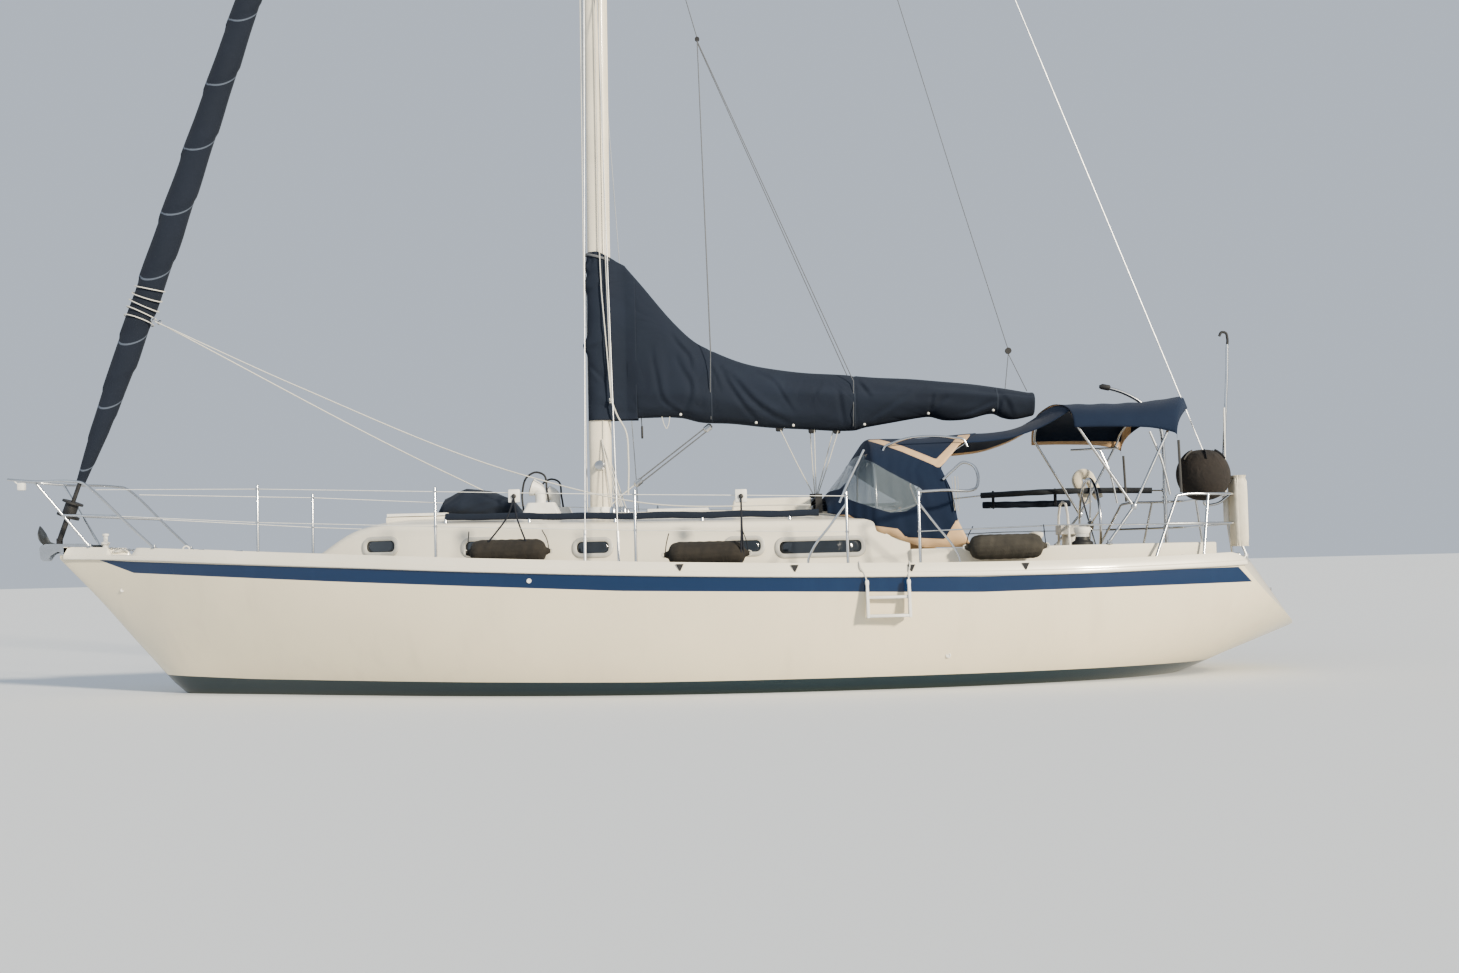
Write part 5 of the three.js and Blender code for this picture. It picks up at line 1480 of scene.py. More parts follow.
@dataclass
class Deckhouse:
    """The cabin trunk with its portlights, hatches, handrails and roof gear."""

    portlights: tuple[tuple[float, float, float, float], ...] = ((2.745, 1.322, 0.31, 0.14),
        (1.81, 1.292, 0.31, 0.14), (0.805, 1.262, 0.32, 0.14), (-0.52, 1.24, 0.32, 0.14),
        (-1.18, 1.218, 0.75, 0.145))

    def build_shell(self) -> None:
        """The trunk: straight sides, a round shoulder and a cambered roof."""
        x = np.concatenate([np.linspace(-1.958, 2.9, 90), np.linspace(2.93, 3.44, 24)])
        edge_half, edge = (interpolated(TRUNK_TABLE, column, x) for column in (2, 3))
        side_top = edge - 0.06
        side_z = 0.8 + (side_top[:, None] - 0.8) * np.linspace(0, 1, 4)[None]
        side_y = house_side(x[:, None], side_z)
        round_y = edge_half - 0.06
        turn = np.linspace(0, np.pi / 2, 8)[None, 1:]
        shoulder_y = round_y[:, None] + (edge_half + 0.014 - round_y)[:, None] * np.cos(turn)
        shoulder_z = side_top[:, None] + (roof_height(x, round_y) - side_top)[:, None] * np.sin(turn)
        roof_y = round_y[:, None] * np.linspace(1, 0, 10)[None, 1:]
        roof_z = roof_height(x[:, None], roof_y)
        y = np.hstack([side_y, shoulder_y, roof_y])
        z = np.hstack([side_z, shoulder_z, roof_z])
        half = np.stack([np.broadcast_to(x[:, None], y.shape), y, z], -1)
        other = (half * (1, -1, 1))[:, -2::-1]
        shell = loft(np.concatenate([half, other], 1))
        seats = []
        for x_mid in (2.52, 0.09):
            top = roof_height(x_mid - 0.29, 0) + 0.012
            seats.append(block((x_mid - 0.29, -0.29, top - 0.08), (x_mid + 0.29, 0.29, top), 0.008))
        piece("deckhouse", gathered([shell, *seats]), WHITE_GELCOAT, replaces=["cabin_trunk"], sharp=30)

    def portlight(self, x: float, z: float, width: float, height: float) -> tuple[Form, Form]:
        """A frame and a pane that lie on the side: an outline in the side's own plane.

        Args:
            x: Its middle, lengthwise.
            z: Its middle's height.
            width: Its width.
            height: Its height.

        Returns:
            The frame and the pane.
        """
        outline = round_rectangle(width, height, 0.06)

        def on_side(flat: Array, out: float) -> Array:
            """Points of the side under a flat pattern, moved out by a distance."""
            px, pz = x + flat[..., 0], z + flat[..., 1]
            return np.stack([px, house_side(px, pz) + out, pz], -1)
        ring = sweep(on_side(outline, 0.004), oval(0.021, 0.012, 12, 2.6), closed=True, up=(0, 1, 0))
        shares = np.array([1.0, 0.6, 0.2])[:, None, None]
        grid = on_side(outline[None] * shares * 0.96, 0.003)
        pane = surface(grid, wrap_columns=True)
        last = np.arange(2 * len(outline), 3 * len(outline))[None, :]
        return ring, Form(pane.points, pane.faces + [last])

    def build_portlights(self) -> None:
        """Pale frames and the dark panes inside them."""
        made = [self.portlight(*row) for row in self.portlights]
        piece("portlight_frames", gathered([ring for ring, _ in made]).both(), FRAME_PLASTIC)
        panes = gathered([pane for _, pane in made])
        wall = piece("portlight_panes", panes.both(), PANE)
        wall.modifiers.new("wall", "SOLIDIFY").thickness = 0.004

    def build_handrails(self) -> None:
        """Handrails in their dark canvas sleeves, with the feet that carry them."""
        x = np.linspace(2.15, -1.18, 40)
        y = interpolated(TRUNK_TABLE, 2, x) - 0.095
        path = np.stack([x, y, roof_height(x, y) + 0.052 + 0.004 * np.sin(x * 9.4)], 1)
        sleeve = sweep(path, oval(0.016, 0.03, 14, 2.6), 1 + 0.05 * np.sin(x * 47), up=(0, 0, 1))
        feet = []
        for px, py, pz in path[::9]:
            low = roof_height(px, py)
            feet.append(lathe([(0.0, -0.01), (0.02, -0.01), (0.014, 0.01), (0.012, pz - low),
                (0.0, pz - low)], (px, py, low), sides=12))
        for side, form in on_sides(sleeve):
            piece(f"handrail_sleeve_{side}", form, COVER_CANVAS, replaces=[f"handrail_{side}"])
        piece("handrail_feet", gathered(feet).both(), STEEL)

    def build_roof_gear(self) -> None:
        """The sea hood, hatches, vents, traveller and the bag on the foredeck."""
        refined("sea_hood", "sea_hood_cover", WHITE_GELCOAT, edge=0.02)
        refined("companionway_hatch", "sliding_hatch_top", PANE, Body.SLIDING_HATCH)
        refined("washboards", "companionway_boards", TEAK)
        for name, body, x in (("fore", Body.FORE_HATCH, 2.52), ("mid", Body.MID_HATCH, 0.09)):
            refined(f"{name}_hatch_lid", f"{name}_hatch_top", WHITE_PLASTIC, body)
            top = roof_height(x - 0.29, 0) + 0.012 + 0.006 + 0.026
            outline = round_rectangle(0.46, 0.46, 0.05) + (x - 0.004, 0)
            piece(f"{name}_hatch_pane", prism(outline, top - 0.004, top + 0.002), PANE, body)
        refined("traveller", "traveller_track", BLACK, edge=0.003)
        refined("cockpit_coaming", "coaming", WHITE_GELCOAT, edge=0.014)
        self.build_vents()
        self.build_bag()

    def build_vents(self) -> None:
        """Each vent: a tapered box, a cowl turned forward with a black disc in its mouth as painted shade of
        the hollow, and a dark guard hoop over it.
        """
        x, y = 1.33, 0.56
        z = roof_height(x, y)
        rings = []
        for share in np.linspace(0, 1, 6):
            grow = 1 - 0.3 * share
            outline = round_rectangle(0.43 * (1 - 0.42 * share), 0.22 * grow, 0.03)
            rings.append(np.column_stack([x - 0.01 + outline[:, 0], y + outline[:, 1],
                np.full(len(outline), z - 0.06 + 0.19 * share)]))
        box = loft(np.array(rings))
        neck = flowing([(x, y, z + 0.1), (x, y, z + 0.19), (x + 0.015, y, z + 0.25),
            (x + 0.075, y, z + 0.275)], 18)
        size = np.interp(np.linspace(0, 1, 18), [0, 0.5, 0.8, 1], [0.048, 0.05, 0.066, 0.08])
        cowl = sweep(neck, oval(1, 1, 20), size, up=(0, 1, 0))
        # flat black disc over the cowl's closed end: painted shade of the hollow inside
        mouth = lathe([(0.0, -0.002), (0.066, -0.002), (0.07, 0.004)], (x + 0.078, y, z + 0.2755),
            (1, 0, 0.35), 20)
        guard = tube([(x + 0.15, y, z + 0.02), (x + 0.165, y, z + 0.23), (x + 0.12, y, z + 0.37),
            (x + 0.04, y, z + 0.412), (x - 0.03, y, z + 0.39), (x - 0.06, y, z + 0.24),
            (x - 0.09, y, z + 0.02)], 0.009, 40)
        for side, form in on_sides(box + cowl):
            piece(f"vent_{side}", form, WHITE_PLASTIC, replaces=[f"dorade_vent_{side}"])
        piece("vent_guards", guard.both(), BLACK)
        piece("vent_mouth_shade", mouth.both(), BLACK)

    def build_bag(self) -> None:
        """The dark bag: ovals that swell and sag, with creases."""
        share = np.linspace(0, 1, 36)
        x = 2.36 - 0.79 * share
        half = np.interp(share, [0, 0.08, 0.3, 0.6, 0.9, 1], [0.03, 0.15, 0.23, 0.235, 0.17, 0.04])
        height = np.interp(share, [0, 0.08, 0.35, 0.62, 0.9, 1], [0.06, 0.17, 0.27, 0.235, 0.15, 0.05])
        angle = circle_angles(48)[None]
        ripple = (1 + 0.035 * np.sin(5 * angle + 9 * share[:, None]) + 0.02
            * np.sin(11 * angle - 23 * share[:, None]))
        lift = np.maximum(np.sin(angle), -0.72) * ripple
        base = roof_height(x, 0)[:, None] + 0.004
        grid = np.stack([np.broadcast_to(x[:, None], lift.shape), 0.06 + half[:, None] * np.cos(angle)
            * ripple, base + height[:, None] * (0.42 + 0.58 * lift)], -1)
        stuffed("foredeck_bag", grid, COVER_CANVAS, replaces=["deck_bag"], sharp=70)

    def build(self) -> None:
        """Everything of the deckhouse."""
        self.build_shell()
        self.build_portlights()
        self.build_handrails()
        self.build_roof_gear()


# Spars, sails and rigging


def mast_x(z: Array | float) -> Array:
    """Where the mast's middle stands at a height."""
    return 0.842 - 0.0085 * np.asarray(z)


COVER_TABLE = [
    (0.56, 2.49, 2.72, 3.96, 0.062),
    (0.42, 2.45, 2.72, 3.79, 0.105),
    (0.1, 2.41, 2.72, 3.4, 0.15),
    (-0.15, 2.395, 2.71, 3.175, 0.165),
    (-0.71, 2.37, 2.69, 2.955, 0.175),
    (-1.57, 2.325, 2.66, 2.85, 0.17),
    (-2.42, 2.345, 2.64, 2.775, 0.16),
    (-3.0, 2.375, 2.61, 2.695, 0.135),
    (-3.25, 2.425, 2.59, 2.645, 0.095),
]
HEM_TABLE = [
    (0.56, 2.497), (0.39, 2.497), (0.05, 2.486), (-0.14, 2.441), (-0.42, 2.418), (-0.8, 2.374),
    (-1.187, 2.343), (-1.586, 2.325), (-1.7, 2.351), (-2.284, 2.436), (-2.45, 2.4), (-2.665, 2.408),
    (-2.896, 2.45), (-3.0, 2.408), (-3.1, 2.392), (-3.306, 2.43),
]
FOLDS = (
    (0.022, 0.012, ((0.32, 3.14), (0.27, 2.87), (0.21, 2.64), (0.05, 2.52))),
    (0.022, 0.014, ((0.13, 3.28), (0.05, 3.17), (-0.04, 3.05), (-0.06, 2.92))),
    (0.024, 0.015, ((0.09, 3.07), (0.02, 2.92), (-0.04, 2.82), (-0.05, 2.72), (0.02, 2.54))),
    (0.018, 0.008, ((-0.2, 3.02), (-0.28, 2.88), (-0.33, 2.7))),
    (0.026, 0.017, ((-0.31, 2.99), (-0.43, 2.75), (-0.57, 2.54), (-0.68, 2.42))),
    (0.028, 0.019, ((-0.36, 2.94), (-0.49, 2.79), (-0.61, 2.64), (-0.8, 2.49), (-1.0, 2.39))),
    (0.02, 0.01, ((-0.66, 2.9), (-0.83, 2.8), (-0.92, 2.65), (-1.03, 2.48))),
    (0.02, 0.008, ((-1.3, 2.8), (-1.22, 2.68), (-1.15, 2.56))),
    (0.024, 0.013, ((-1.43, 2.74), (-1.46, 2.55), (-1.49, 2.37))),
    (0.022, 0.016, ((-1.62, 2.8), (-1.68, 2.71), (-1.74, 2.62))),
    (0.024, 0.012, ((-2.12, 2.68), (-1.98, 2.58), (-1.7, 2.4))),
    (0.024, 0.013, ((-2.47, 2.62), (-2.38, 2.55), (-2.3, 2.45))),
    (0.018, 0.01, ((-2.33, 2.66), (-2.31, 2.55), (-2.29, 2.45))),
    (0.022, 0.013, ((-2.92, 2.58), (-2.76, 2.5), (-2.58, 2.44))),
    (0.02, 0.014, ((-2.97, 2.6), (-2.95, 2.52), (-2.92, 2.45))),
    (0.024, 0.01, ((-2.9, 2.68), (-3.0, 2.58), (-3.09, 2.41))),
    (0.024, -0.01, ((0.74, 3.34), (0.83, 3.22), (0.93, 3.19))),
    (0.022, -0.009, ((0.78, 3.84), (0.86, 3.76), (0.93, 3.74))),
    (0.02, 0.009, ((0.74, 2.82), (0.83, 2.92), (0.92, 3.02))),
)


def folds(x: Array, z: Array) -> Array:
    """How far the cloth stands out beside its folds: a narrow hollow along each line, a broad ridge aft of
    it.

    Args:
        x: How far forward.
        z: The height.

    Returns:
        The distances.
    """
    shape = np.broadcast_shapes(x.shape, z.shape)
    spots = np.stack([np.broadcast_to(x, shape), np.broadcast_to(z, shape)], -1).reshape(-1, 2)
    total = np.zeros(len(spots))
    for width, depth, line in FOLDS:
        far, side, along = to_line(spots, flowing(line, 14))
        ridge = np.exp(-((far * side / width + 1.7) / 1.3) ** 2)
        total += depth * np.sin(np.pi * along) ** 0.5 * (0.7 * ridge - np.exp(-(far / width) ** 2))
    return total.reshape(shape)


def cover_half(x: Array, z: Array) -> Array:
    """Half width of the sail cover at a height: an oval's, narrower towards the ridge.

    Args:
        x: How far forward.
        z: The height.

    Returns:
        The half width.
    """
    bottom, wide, top, half = (interpolated(COVER_TABLE, column, x) for column in (1, 2, 3, 4))
    up = np.clip((z - wide) / np.where(z > wide, top - wide, wide - bottom), -0.7, 1)
    return half * np.sqrt(1 - up**2) * (1 - 0.45 * np.clip(up, 0, 1))


def stay_point(z: Array | float) -> Array:
    """A point of the forestay at a height: straight, with a slight sag aft.

    Args:
        z: The height.

    Returns:
        The point.
    """
    head = np.array([mast_x(16.7) + 0.15, 0, 16.64])
    foot = np.array([6.005, 0, 1.42])
    up = (np.asarray(z, float)[..., None] - foot[2]) / (head[2] - foot[2])
    return foot + (head - foot) * up - np.array([0.071, 0, 0]) * 4 * up * (1 - up)


@dataclass
class Rig:
    """Mast, boom, covers, furled sail and the lines on them."""

    chord: float = 0.21
    width: float = 0.14
    head: float = 16.7
    cover_rows: int = 230
    fasteners: tuple[float, ...] = (0.05, -0.66, -1.01, -1.68, -2.284, -2.896)

    def build_mast(self) -> None:
        """The mast: an oval section with a track at its back, its collar at the deck and two winches."""
        z = np.array([1.3, 16.7])
        section = oval(self.chord / 2, self.width / 2, 44, 2.3)
        rings = np.stack([mast_x(z)[:, None] + section[None, :, 0],
            np.broadcast_to(section[None, :, 1], (2, 44)), np.broadcast_to(z[:, None], (2, 44))], -1)
        spar = loft(rings)
        aft = self.chord / 2
        track = loft(np.array([[(mast_x(h) - aft - 0.006, -0.012, h), (mast_x(h) - aft - 0.006, 0.012, h),
            (mast_x(h) - aft + 0.01, 0.014, h), (mast_x(h) - aft + 0.01, -0.014, h)] for h in (2.75, 16.6)]))
        step_z = roof_height(0.83, 0)
        boot = lathe([(0.0, -0.05), (0.15, -0.05), (0.146, 0.01), (0.128, 0.035), (0.122, 0.075),
            (0.0, 0.075)], (mast_x(1.6), 0, step_z), sides=40)
        x, level = 0.61, 2.59
        face = mast_x(level) - aft
        lugs = [block((x - 0.022, -0.022, level + side * 0.077 - 0.01),
            (face + 0.03, 0.022, level + side * 0.077 + 0.01), 0.004) for side in (-1, 1)]
        plate = block((face - 0.012, -0.034, level - 0.095), (face + 0.04, 0.034, level + 0.095), 0.006)
        winch = lathe([(0.0, -0.02), (0.05, -0.02), (0.05, 0.015), (0.034, 0.025), (0.03, 0.08),
            (0.04, 0.105), (0.04, 0.118), (0.0, 0.124)], (mast_x(2.05), 0.062, 2.05), (0, 1, 0), 24)
        piece("mast_spar", gathered([spar, track, *lugs, plate]), SPAR_PAINT, replaces=["mast"])
        piece("mast_boot", boot, WHITE_PLASTIC)
        piece("mast_winches", winch.both(), STEEL)
        for node in ("lower_spreaders", "upper_spreaders"):
            refined(node, f"{node}_foil", SPAR_PAINT, edge=0)
        refined("boom", "boom_spar", SPAR_PAINT, Body.BOOM, edge=0)
        self.build_vang()

    def build_vang(self) -> None:
        """The vang: a rope tackle between two blocks, held to the mast's foot by a strop."""
        low, high = np.array([0.47, 0, 1.885]), np.array([-0.2, 0, 2.385])
        falls = [tube([low + (0, y, rise), high + (0, 0.6 * y, rise)], 0.005, sides=8)
            for y in (-0.016, 0.016) for rise in (-0.022, 0.022)]
        piece("vang_falls", gathered(falls), GREY_LINE, Body.BOOM, replaces=["boom_vang"])
        aim = (high - low) / np.linalg.norm(high - low)
        shells = [sweep(np.array([at - 0.045 * aim, at - 0.03 * aim, at + 0.03 * aim, at + 0.045 * aim]),
            oval(0.032, 0.022, 16, 2.6), np.array([0.5, 1.0, 1.0, 0.5]), up=(0, 1, 0)) for at in (low, high)]
        piece("vang_blocks", gathered(shells), STEEL, Body.BOOM)
        foot, hook = (0.735, 0, 1.675), (0.505, 0, 1.862)
        line_between("vang_strop", tube([foot, (0.62, 0, 1.775), hook], 0.006, 12, 8), WHITE_ROPE)

    def build_foot_gear(self) -> None:
        """Turning blocks at the mast's foot, and the lines that run aft from them along the roof."""
        shells, lines = [], []
        for x, y in ((0.64, 0.12), (0.6, 0.2), (0.7, 0.27)):
            z = roof_height(x, y)
            shells.append(sweep(np.array([(x, y, z - 0.004), (x, y, z + 0.012), (x, y, z + 0.06),
                (x, y, z + 0.078)]), oval(0.03, 0.02, 14, 2.6), np.array([1.0, 1.0, 0.9, 0.4]), up=(0, 1, 0)))
            aft = -0.4 - 0.9 * y
            run = np.linspace(x, aft, 14)
            lines.append(sweep(np.stack([run, np.interp(run, [aft, x], [y + 0.18, y]),
                roof_height(run, np.interp(run, [aft, x], [y + 0.18, y])) + 0.018], 1), oval(0.006, 0.006, 8),
                up=(0, 0, 1)))
            rise = mast_x(2.4) - 0.02
            lines.append(tube([(x, y, z + 0.05), (rise, 0.085, 2.3)], 0.005, sides=8))
        piece("foot_blocks", gathered(shells).both(), STEEL)
        piece("roof_lines", gathered(lines).both(), WHITE_ROPE)

    def cover_grid(self) -> Array:
        """The sail cover round the boom: ovals from a table, with folds that fall from the top and hang at
        the bottom.

        Returns:
            The points.
        """
        x = np.concatenate([np.linspace(0.56, -3.275, self.cover_rows), [-3.29, -3.298, -3.302, -3.303]])[:,
            None]
        wide, top, half = (interpolated(COVER_TABLE, column, x) for column in (2, 3, 4))
        bottom = interpolated(HEM_TABLE, 1, x)
        tuck = np.concatenate([np.ones(self.cover_rows), [0.98, 0.9, 0.55, 0.02]])[:, None]
        angle = np.linspace(-np.pi / 2 + 0.05, 3 * np.pi / 2 - 0.05, 104)[None]
        up = np.sin(angle)
        rise = np.where(up > 0, (top - wide) * up, (wide - bottom) * up)
        down = (1 - up) / 2
        along = (0.56 - x) / 3.8
        drape = (0.005 * np.sin(7 * angle + 16 * along) * np.sin(np.pi * down) + 0.004
            * np.sin(38 * along + 4 * down))
        crease = (sum(-0.008 * np.exp(-((x - at) / 0.016) ** 2) for at in (-0.245, -1.592))
            * np.clip(up + 0.9, 0, 1))
        z = wide + tuck * (rise + 0.5 * drape + crease * np.clip(up, 0, 1))
        side = np.cos(angle)
        pleat = folds(x + np.where(side < 0, 0.06, 0.0), z) * np.clip(np.abs(side) * 3, 0, 1)
        narrow = np.where(up > 0, 1 - 0.45 * up, 1)
        y = tuck * side * (half * narrow * (1 + (drape + crease) / 0.12)) + tuck * np.sign(side) * pleat
        return np.stack([np.broadcast_to(x, y.shape), y, z], -1)[:, ::-1]

    def build_covers(self) -> None:
        """The cover over the flaked sail, its white fasteners, and the collar that bends at the gooseneck."""
        grid = self.cover_grid()
        cloth("sail_cover_cloth", grid, SAIL_COVER_CANVAS, Body.BOOM,
            replaces=["sail_cover"], thick=0.0025,
            fields={"seam": lambda at: (at[:, 0] + 0.245) / 1.347 + 0.5})
        knobs = []
        for x in self.fasteners:
            bottom = interpolated(HEM_TABLE, 1, x) + 0.028
            y = 0.3 * interpolated(COVER_TABLE, 4, x) + 0.06
            knobs.append(lathe([(0.0, 0.0), (0.013, 0.002), (0.013, 0.012), (0.006, 0.018), (0.0, 0.02)],
                (x, y, bottom), (0, 1, -0.5), 14))
        piece("cover_fasteners", gathered(knobs).both(), WHITE_PLASTIC, Body.BOOM)
        turn = np.linspace(-1, 1, 97)[None]
        level = np.linspace(0, 1, 110)[:, None]
        flap = np.clip((np.abs(turn) - 0.42) / 0.58, 0, 1)
        top = np.interp(flap, [0, 0.33, 0.5, 0.714, 1], [4.09, 4.035, 4.0, 3.962, 3.83])
        z = 2.48 + (top - 2.48) * level
        centre = mast_x(z)
        gather = 1 + np.clip((z - 3.9) / 0.1, 0, 1) * 0.04 * np.sin(13 * np.pi * turn)
        bumps = sum(reach * np.exp(-((z - at) / wide) ** 2) for at, wide, reach in ((3.95, 0.035, 0.034),
            (3.78, 0.055, 0.038), (3.2, 0.065, 0.044)))
        side = 0.088 * gather + 0.003 * np.sin(23 * z + 5 * turn)
        round_turn = np.clip(turn / 0.42, -1, 1) * np.pi / 2
        x = np.where(flap > 0, centre + (0.46 - centre) * flap, centre + (0.112 * gather + bumps)
            * np.cos(round_turn))
        ease = np.clip(flap / 0.714, 0, 1)
        aft = cover_half(np.minimum(x, 0.56), z) + 0.004
        y = np.where(flap > 0, np.sign(turn) * (side + (aft - side) * ease**2 * (3 - 2 * ease)),
            side * np.sin(round_turn))
        y += np.sign(turn) * folds(x, z)
        strap = sweep(np.array([(mast_x(4.04) + 0.126 * math.cos(a), 0.1 * math.sin(a),
            4.04 + 0.036 * math.cos(a)) for a in circle_angles(40)]), oval(0.004, 0.012, 8), closed=True,
            up=(0, 0, 1))
        piece("collar_strap", strap, GREY_LINE)
        collar = cloth("cover_collar_cloth", np.stack([x, y, z], -1), SAIL_COVER_CANVAS,
            None, replaces=["sail_cover_collar"],
            fields={"seam": lambda at: np.zeros(len(at))})
        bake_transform(collar)

    def build_headsail(self) -> None:
        """The furled sail: ovals up the forestay whose edge winds round in a spiral."""
        z = np.linspace(2.01, 15.8, 330)
        half = np.interp(z, [2.01, 2.5, 3.2, 4.4, 6.5, 9.5, 12.5, 15.2, 15.8],
            [0.038, 0.08, 0.112, 0.126, 0.112, 0.092, 0.062, 0.034, 0.018])
        aft = np.interp(z, [2.01, 2.5, 3.2, 4.4, 6.5, 9.5, 12.5, 15.8], [0.008, 0.018, 0.024, 0.028, 0.026,
            0.02, 0.014, 0.004])
        angle = circle_angles(40)[None]
        pitch = np.interp(z, [2, 5, 15.8], [0.42, 0.62, 0.75])
        wind = np.cumsum(np.gradient(z) / pitch) * 2 * np.pi
        phase = np.mod(angle - wind[:, None], 2 * np.pi) / (2 * np.pi)
        step = 1 + 0.1 * (phase - 0.5) + 0.015 * np.sin(3 * angle + 11 * z[:, None])
        middle = stay_point(z)
        grid = np.stack([middle[:, None, 0] - aft[:, None] + half[:, None] * step * np.cos(angle),
            0.86 * half[:, None] * step * np.sin(angle), middle[:, None, 2] + 0.34 * half[:, None]
            * np.cos(angle)], -1)
        stuffed("headsail_roll", grid, HEADSAIL_CANVAS, replaces=["furled_headsail"], sharp=50,
            fields={"seam": lambda at: at[:, 2] / 0.62 + at[:, 1] * 1.6})
        stay = tube([stay_point(1.46), stay_point(2.05)], 0.011) + tube([stay_point(15.78), stay_point(16.6)],
            0.006)
        swivel = sweep(np.array([stay_point(h) for h in (15.86, 15.87, 15.97, 15.98)]), oval(1, 1, 16),
            np.array([0.024, 0.034, 0.034, 0.024]))
        piece("headsail_stay", stay + swivel, STEEL)
        turns = []
        for i, level in enumerate((3.56, 3.63, 3.7, 3.78, 3.86)):
            around = circle_angles(40)
            radius = float(np.interp(level, [3.2, 4.4], [0.112, 0.126])) * 1.1 + 0.006
            at = stay_point(level)
            turns.append(sweep(np.column_stack([at[0] - 0.026 + radius * np.cos(around),
                0.88 * radius * np.sin(around), at[2] + 0.34 * radius * np.cos(around) + 0.02
                * np.sin(around + i)]), oval(0.006, 0.006, 8), closed=True))
        piece("sheet_turns", gathered(turns), WHITE_ROPE)
        clew = (5.045, 0.075, 3.535)
        leads = [tube([clew, (3.6, 0.3, 2.84), (1.431, 0.62, 1.93), (0.4, 0.78, 1.66), (-1.12, 0.8, 1.6)],
            0.006, 60, 8), tube([(5.045, -0.075, 3.535), (2.4, -0.8, 2.05), (0.9, -1.26, 1.33),
            (0.2, -1.42, 1.14)], 0.006, 60, 8)]
        ring = lathe([(0.014, 0.0), (0.024, 0.004), (0.014, 0.008)], (5.052, 0.078, 3.545), (0, 1, 0), 16)
        piece("headsail_sheets", gathered(leads), WHITE_ROPE)
        piece("clew_ring", ring.both(), STEEL)
        refined("roller_furler", "furling_drum", BLACK, edge=0.004)

    def build_lines(self) -> None:
        """Standing and running lines: shrouds, halyards, lazy jacks, topping lift and mainsheet."""
        for node in ("masthead", "backstay", "cap_shroud_port", "cap_shroud_starboard", "lower_shroud_port",
                "lower_shroud_starboard"):
            frame["nodes"][node].data.materials.clear()
            frame["nodes"][node].data.materials.append((STEEL if node == "masthead" else WIRE).material())
        mast_aft = 0.62
        jacks = [tube([(mast_aft, 0, 9.2), (-0.187, 0.0, 6.158)], 0.004)]
        for side in (-1, 1):
            block_at = (-0.187, side * 0.03, 6.12)
            for x, z in ((-0.245, 3.06), (-1.585, 2.78)):
                y = side * 0.145
                jacks.append(tube([block_at, (x, y, z), (x + 0.01, side * 0.165, z - 0.3),
                    (x + 0.01, side * 0.09, z - 0.6 if x > -1 else 2.36)], 0.004))
        piece("lazy_jacks", gathered(jacks), GREY_LINE, Body.BOOM)
        pulley = lathe([(0.0, -0.012), (0.022, -0.012), (0.022, 0.012), (0.0, 0.012)], (-0.187, 0, 6.145),
            (0, 1, 0), 18)
        lift_block = lathe([(0.0, -0.014), (0.03, -0.014), (0.03, 0.014), (0.0, 0.014)], (-3.075, 0, 3.05),
            (0, 1, 0), 18)
        piece("jack_pulley", pulley + lift_block, BLACK, Body.BOOM)
        lift = [tube([(0.6, 0, 16.45), (-2.665, 0, 4.512), (-3.07, 0, 3.08)], 0.0035)]
        for x in (-3.03, -3.24):
            lift.append(tube([(-3.075, 0, 3.02), (x, 0.0, 2.66)], 0.0035))
        piece("topping_lift", gathered(lift), GREY_LINE, Body.BOOM)
        knot = (0.7, 0.138, 2.655)
        halyards = [tube([(0.955, 0.05, 1.62), (0.955, 0.05, 2.4), (0.945, 0.055, 4.2), (0.86, 0.045, 16.4)],
            0.005, sides=8), tube([(0.93, -0.06, 1.62), (0.94, -0.06, 4.2), (0.85, -0.05, 16.4)], 0.005,
            sides=8), tube([(0.775, 0.074, 16.3), (0.789, 0.098, 4.12), (0.775, 0.112, 3.7), knot], 0.006,
            sides=8), tube([(0.72, 0.074, 16.3), (0.735, 0.096, 4.1), (0.72, 0.114, 3.6), knot], 0.0045,
            sides=8), tube([(0.788, 0.077, 2.5), (0.8, 0.077, 1.64)], 0.004, sides=8)]
        turn = np.linspace(0, 4 * np.pi, 40)
        halyards.append(tube(np.column_stack([knot[0] + 0.014 * np.cos(turn), knot[1] + 0.01 * np.sin(turn),
            knot[2] - 0.02 + 0.003 * turn]), 0.007, sides=8))
        piece("halyards", gathered(halyards), WHITE_ROPE)
        low_end = (0.575, 0.146, 2.38)
        tail = tube([knot, (0.64, 0.148, 2.5), low_end, (0.55, 0.142, 2.1), (0.56, 0.13, 1.76)], 0.008, 40, 8)
        line_between("halyard_tail", tail, WHITE_ROPE)
        bight = tube([(0.235, 0.03, 2.515), (0.205, 0.045, 2.41), (0.19, 0.045, 2.385), (0.176, 0.045, 2.41),
            (0.155, 0.03, 2.515)], 0.004, 24, 8)
        hook = tube([(0.43, 0, 2.5), (0.425, 0.01, 2.42)], 0.004) + block((0.414, 0.0, 2.3),
            (0.434, 0.02, 2.42), 0.006)
        piece("reef_line", bight, WHITE_ROPE, Body.BOOM)
        piece("boom_hook", hook, BLACK, Body.BOOM)
        falls = []
        for x, end, y in ((-0.88, -1.18, 0.03), (-1.17, -1.2, -0.03), (-1.21, -1.21, 0.03),
                (-1.4, -1.22, -0.03), (-1.45, -1.23, 0.03)):
            falls.append(sweep(flowing([(end, y, 1.735), ((x + end) / 2, y, 2.04), (x, y * 0.6, 2.37)], 24),
                oval(0.005, 0.005, 8)))
        line_between("mainsheet", gathered(falls), WHITE_ROPE)
        blocks = [block((x - 0.035, -0.024, z), (x + 0.035, 0.024, z + 0.065), 0.015) for x,
            z in ((-0.88, 2.335), (-1.19, 2.31), (-1.425, 2.3))]
        piece("sheet_blocks", gathered(blocks), BLACK, Body.BOOM)

    def build(self) -> None:
        """Everything of the rig."""
        self.build_mast()
        self.build_foot_gear()
        self.build_covers()
        self.build_headsail()
        self.build_lines()


# Rails, canopies and what is in and round the cockpit


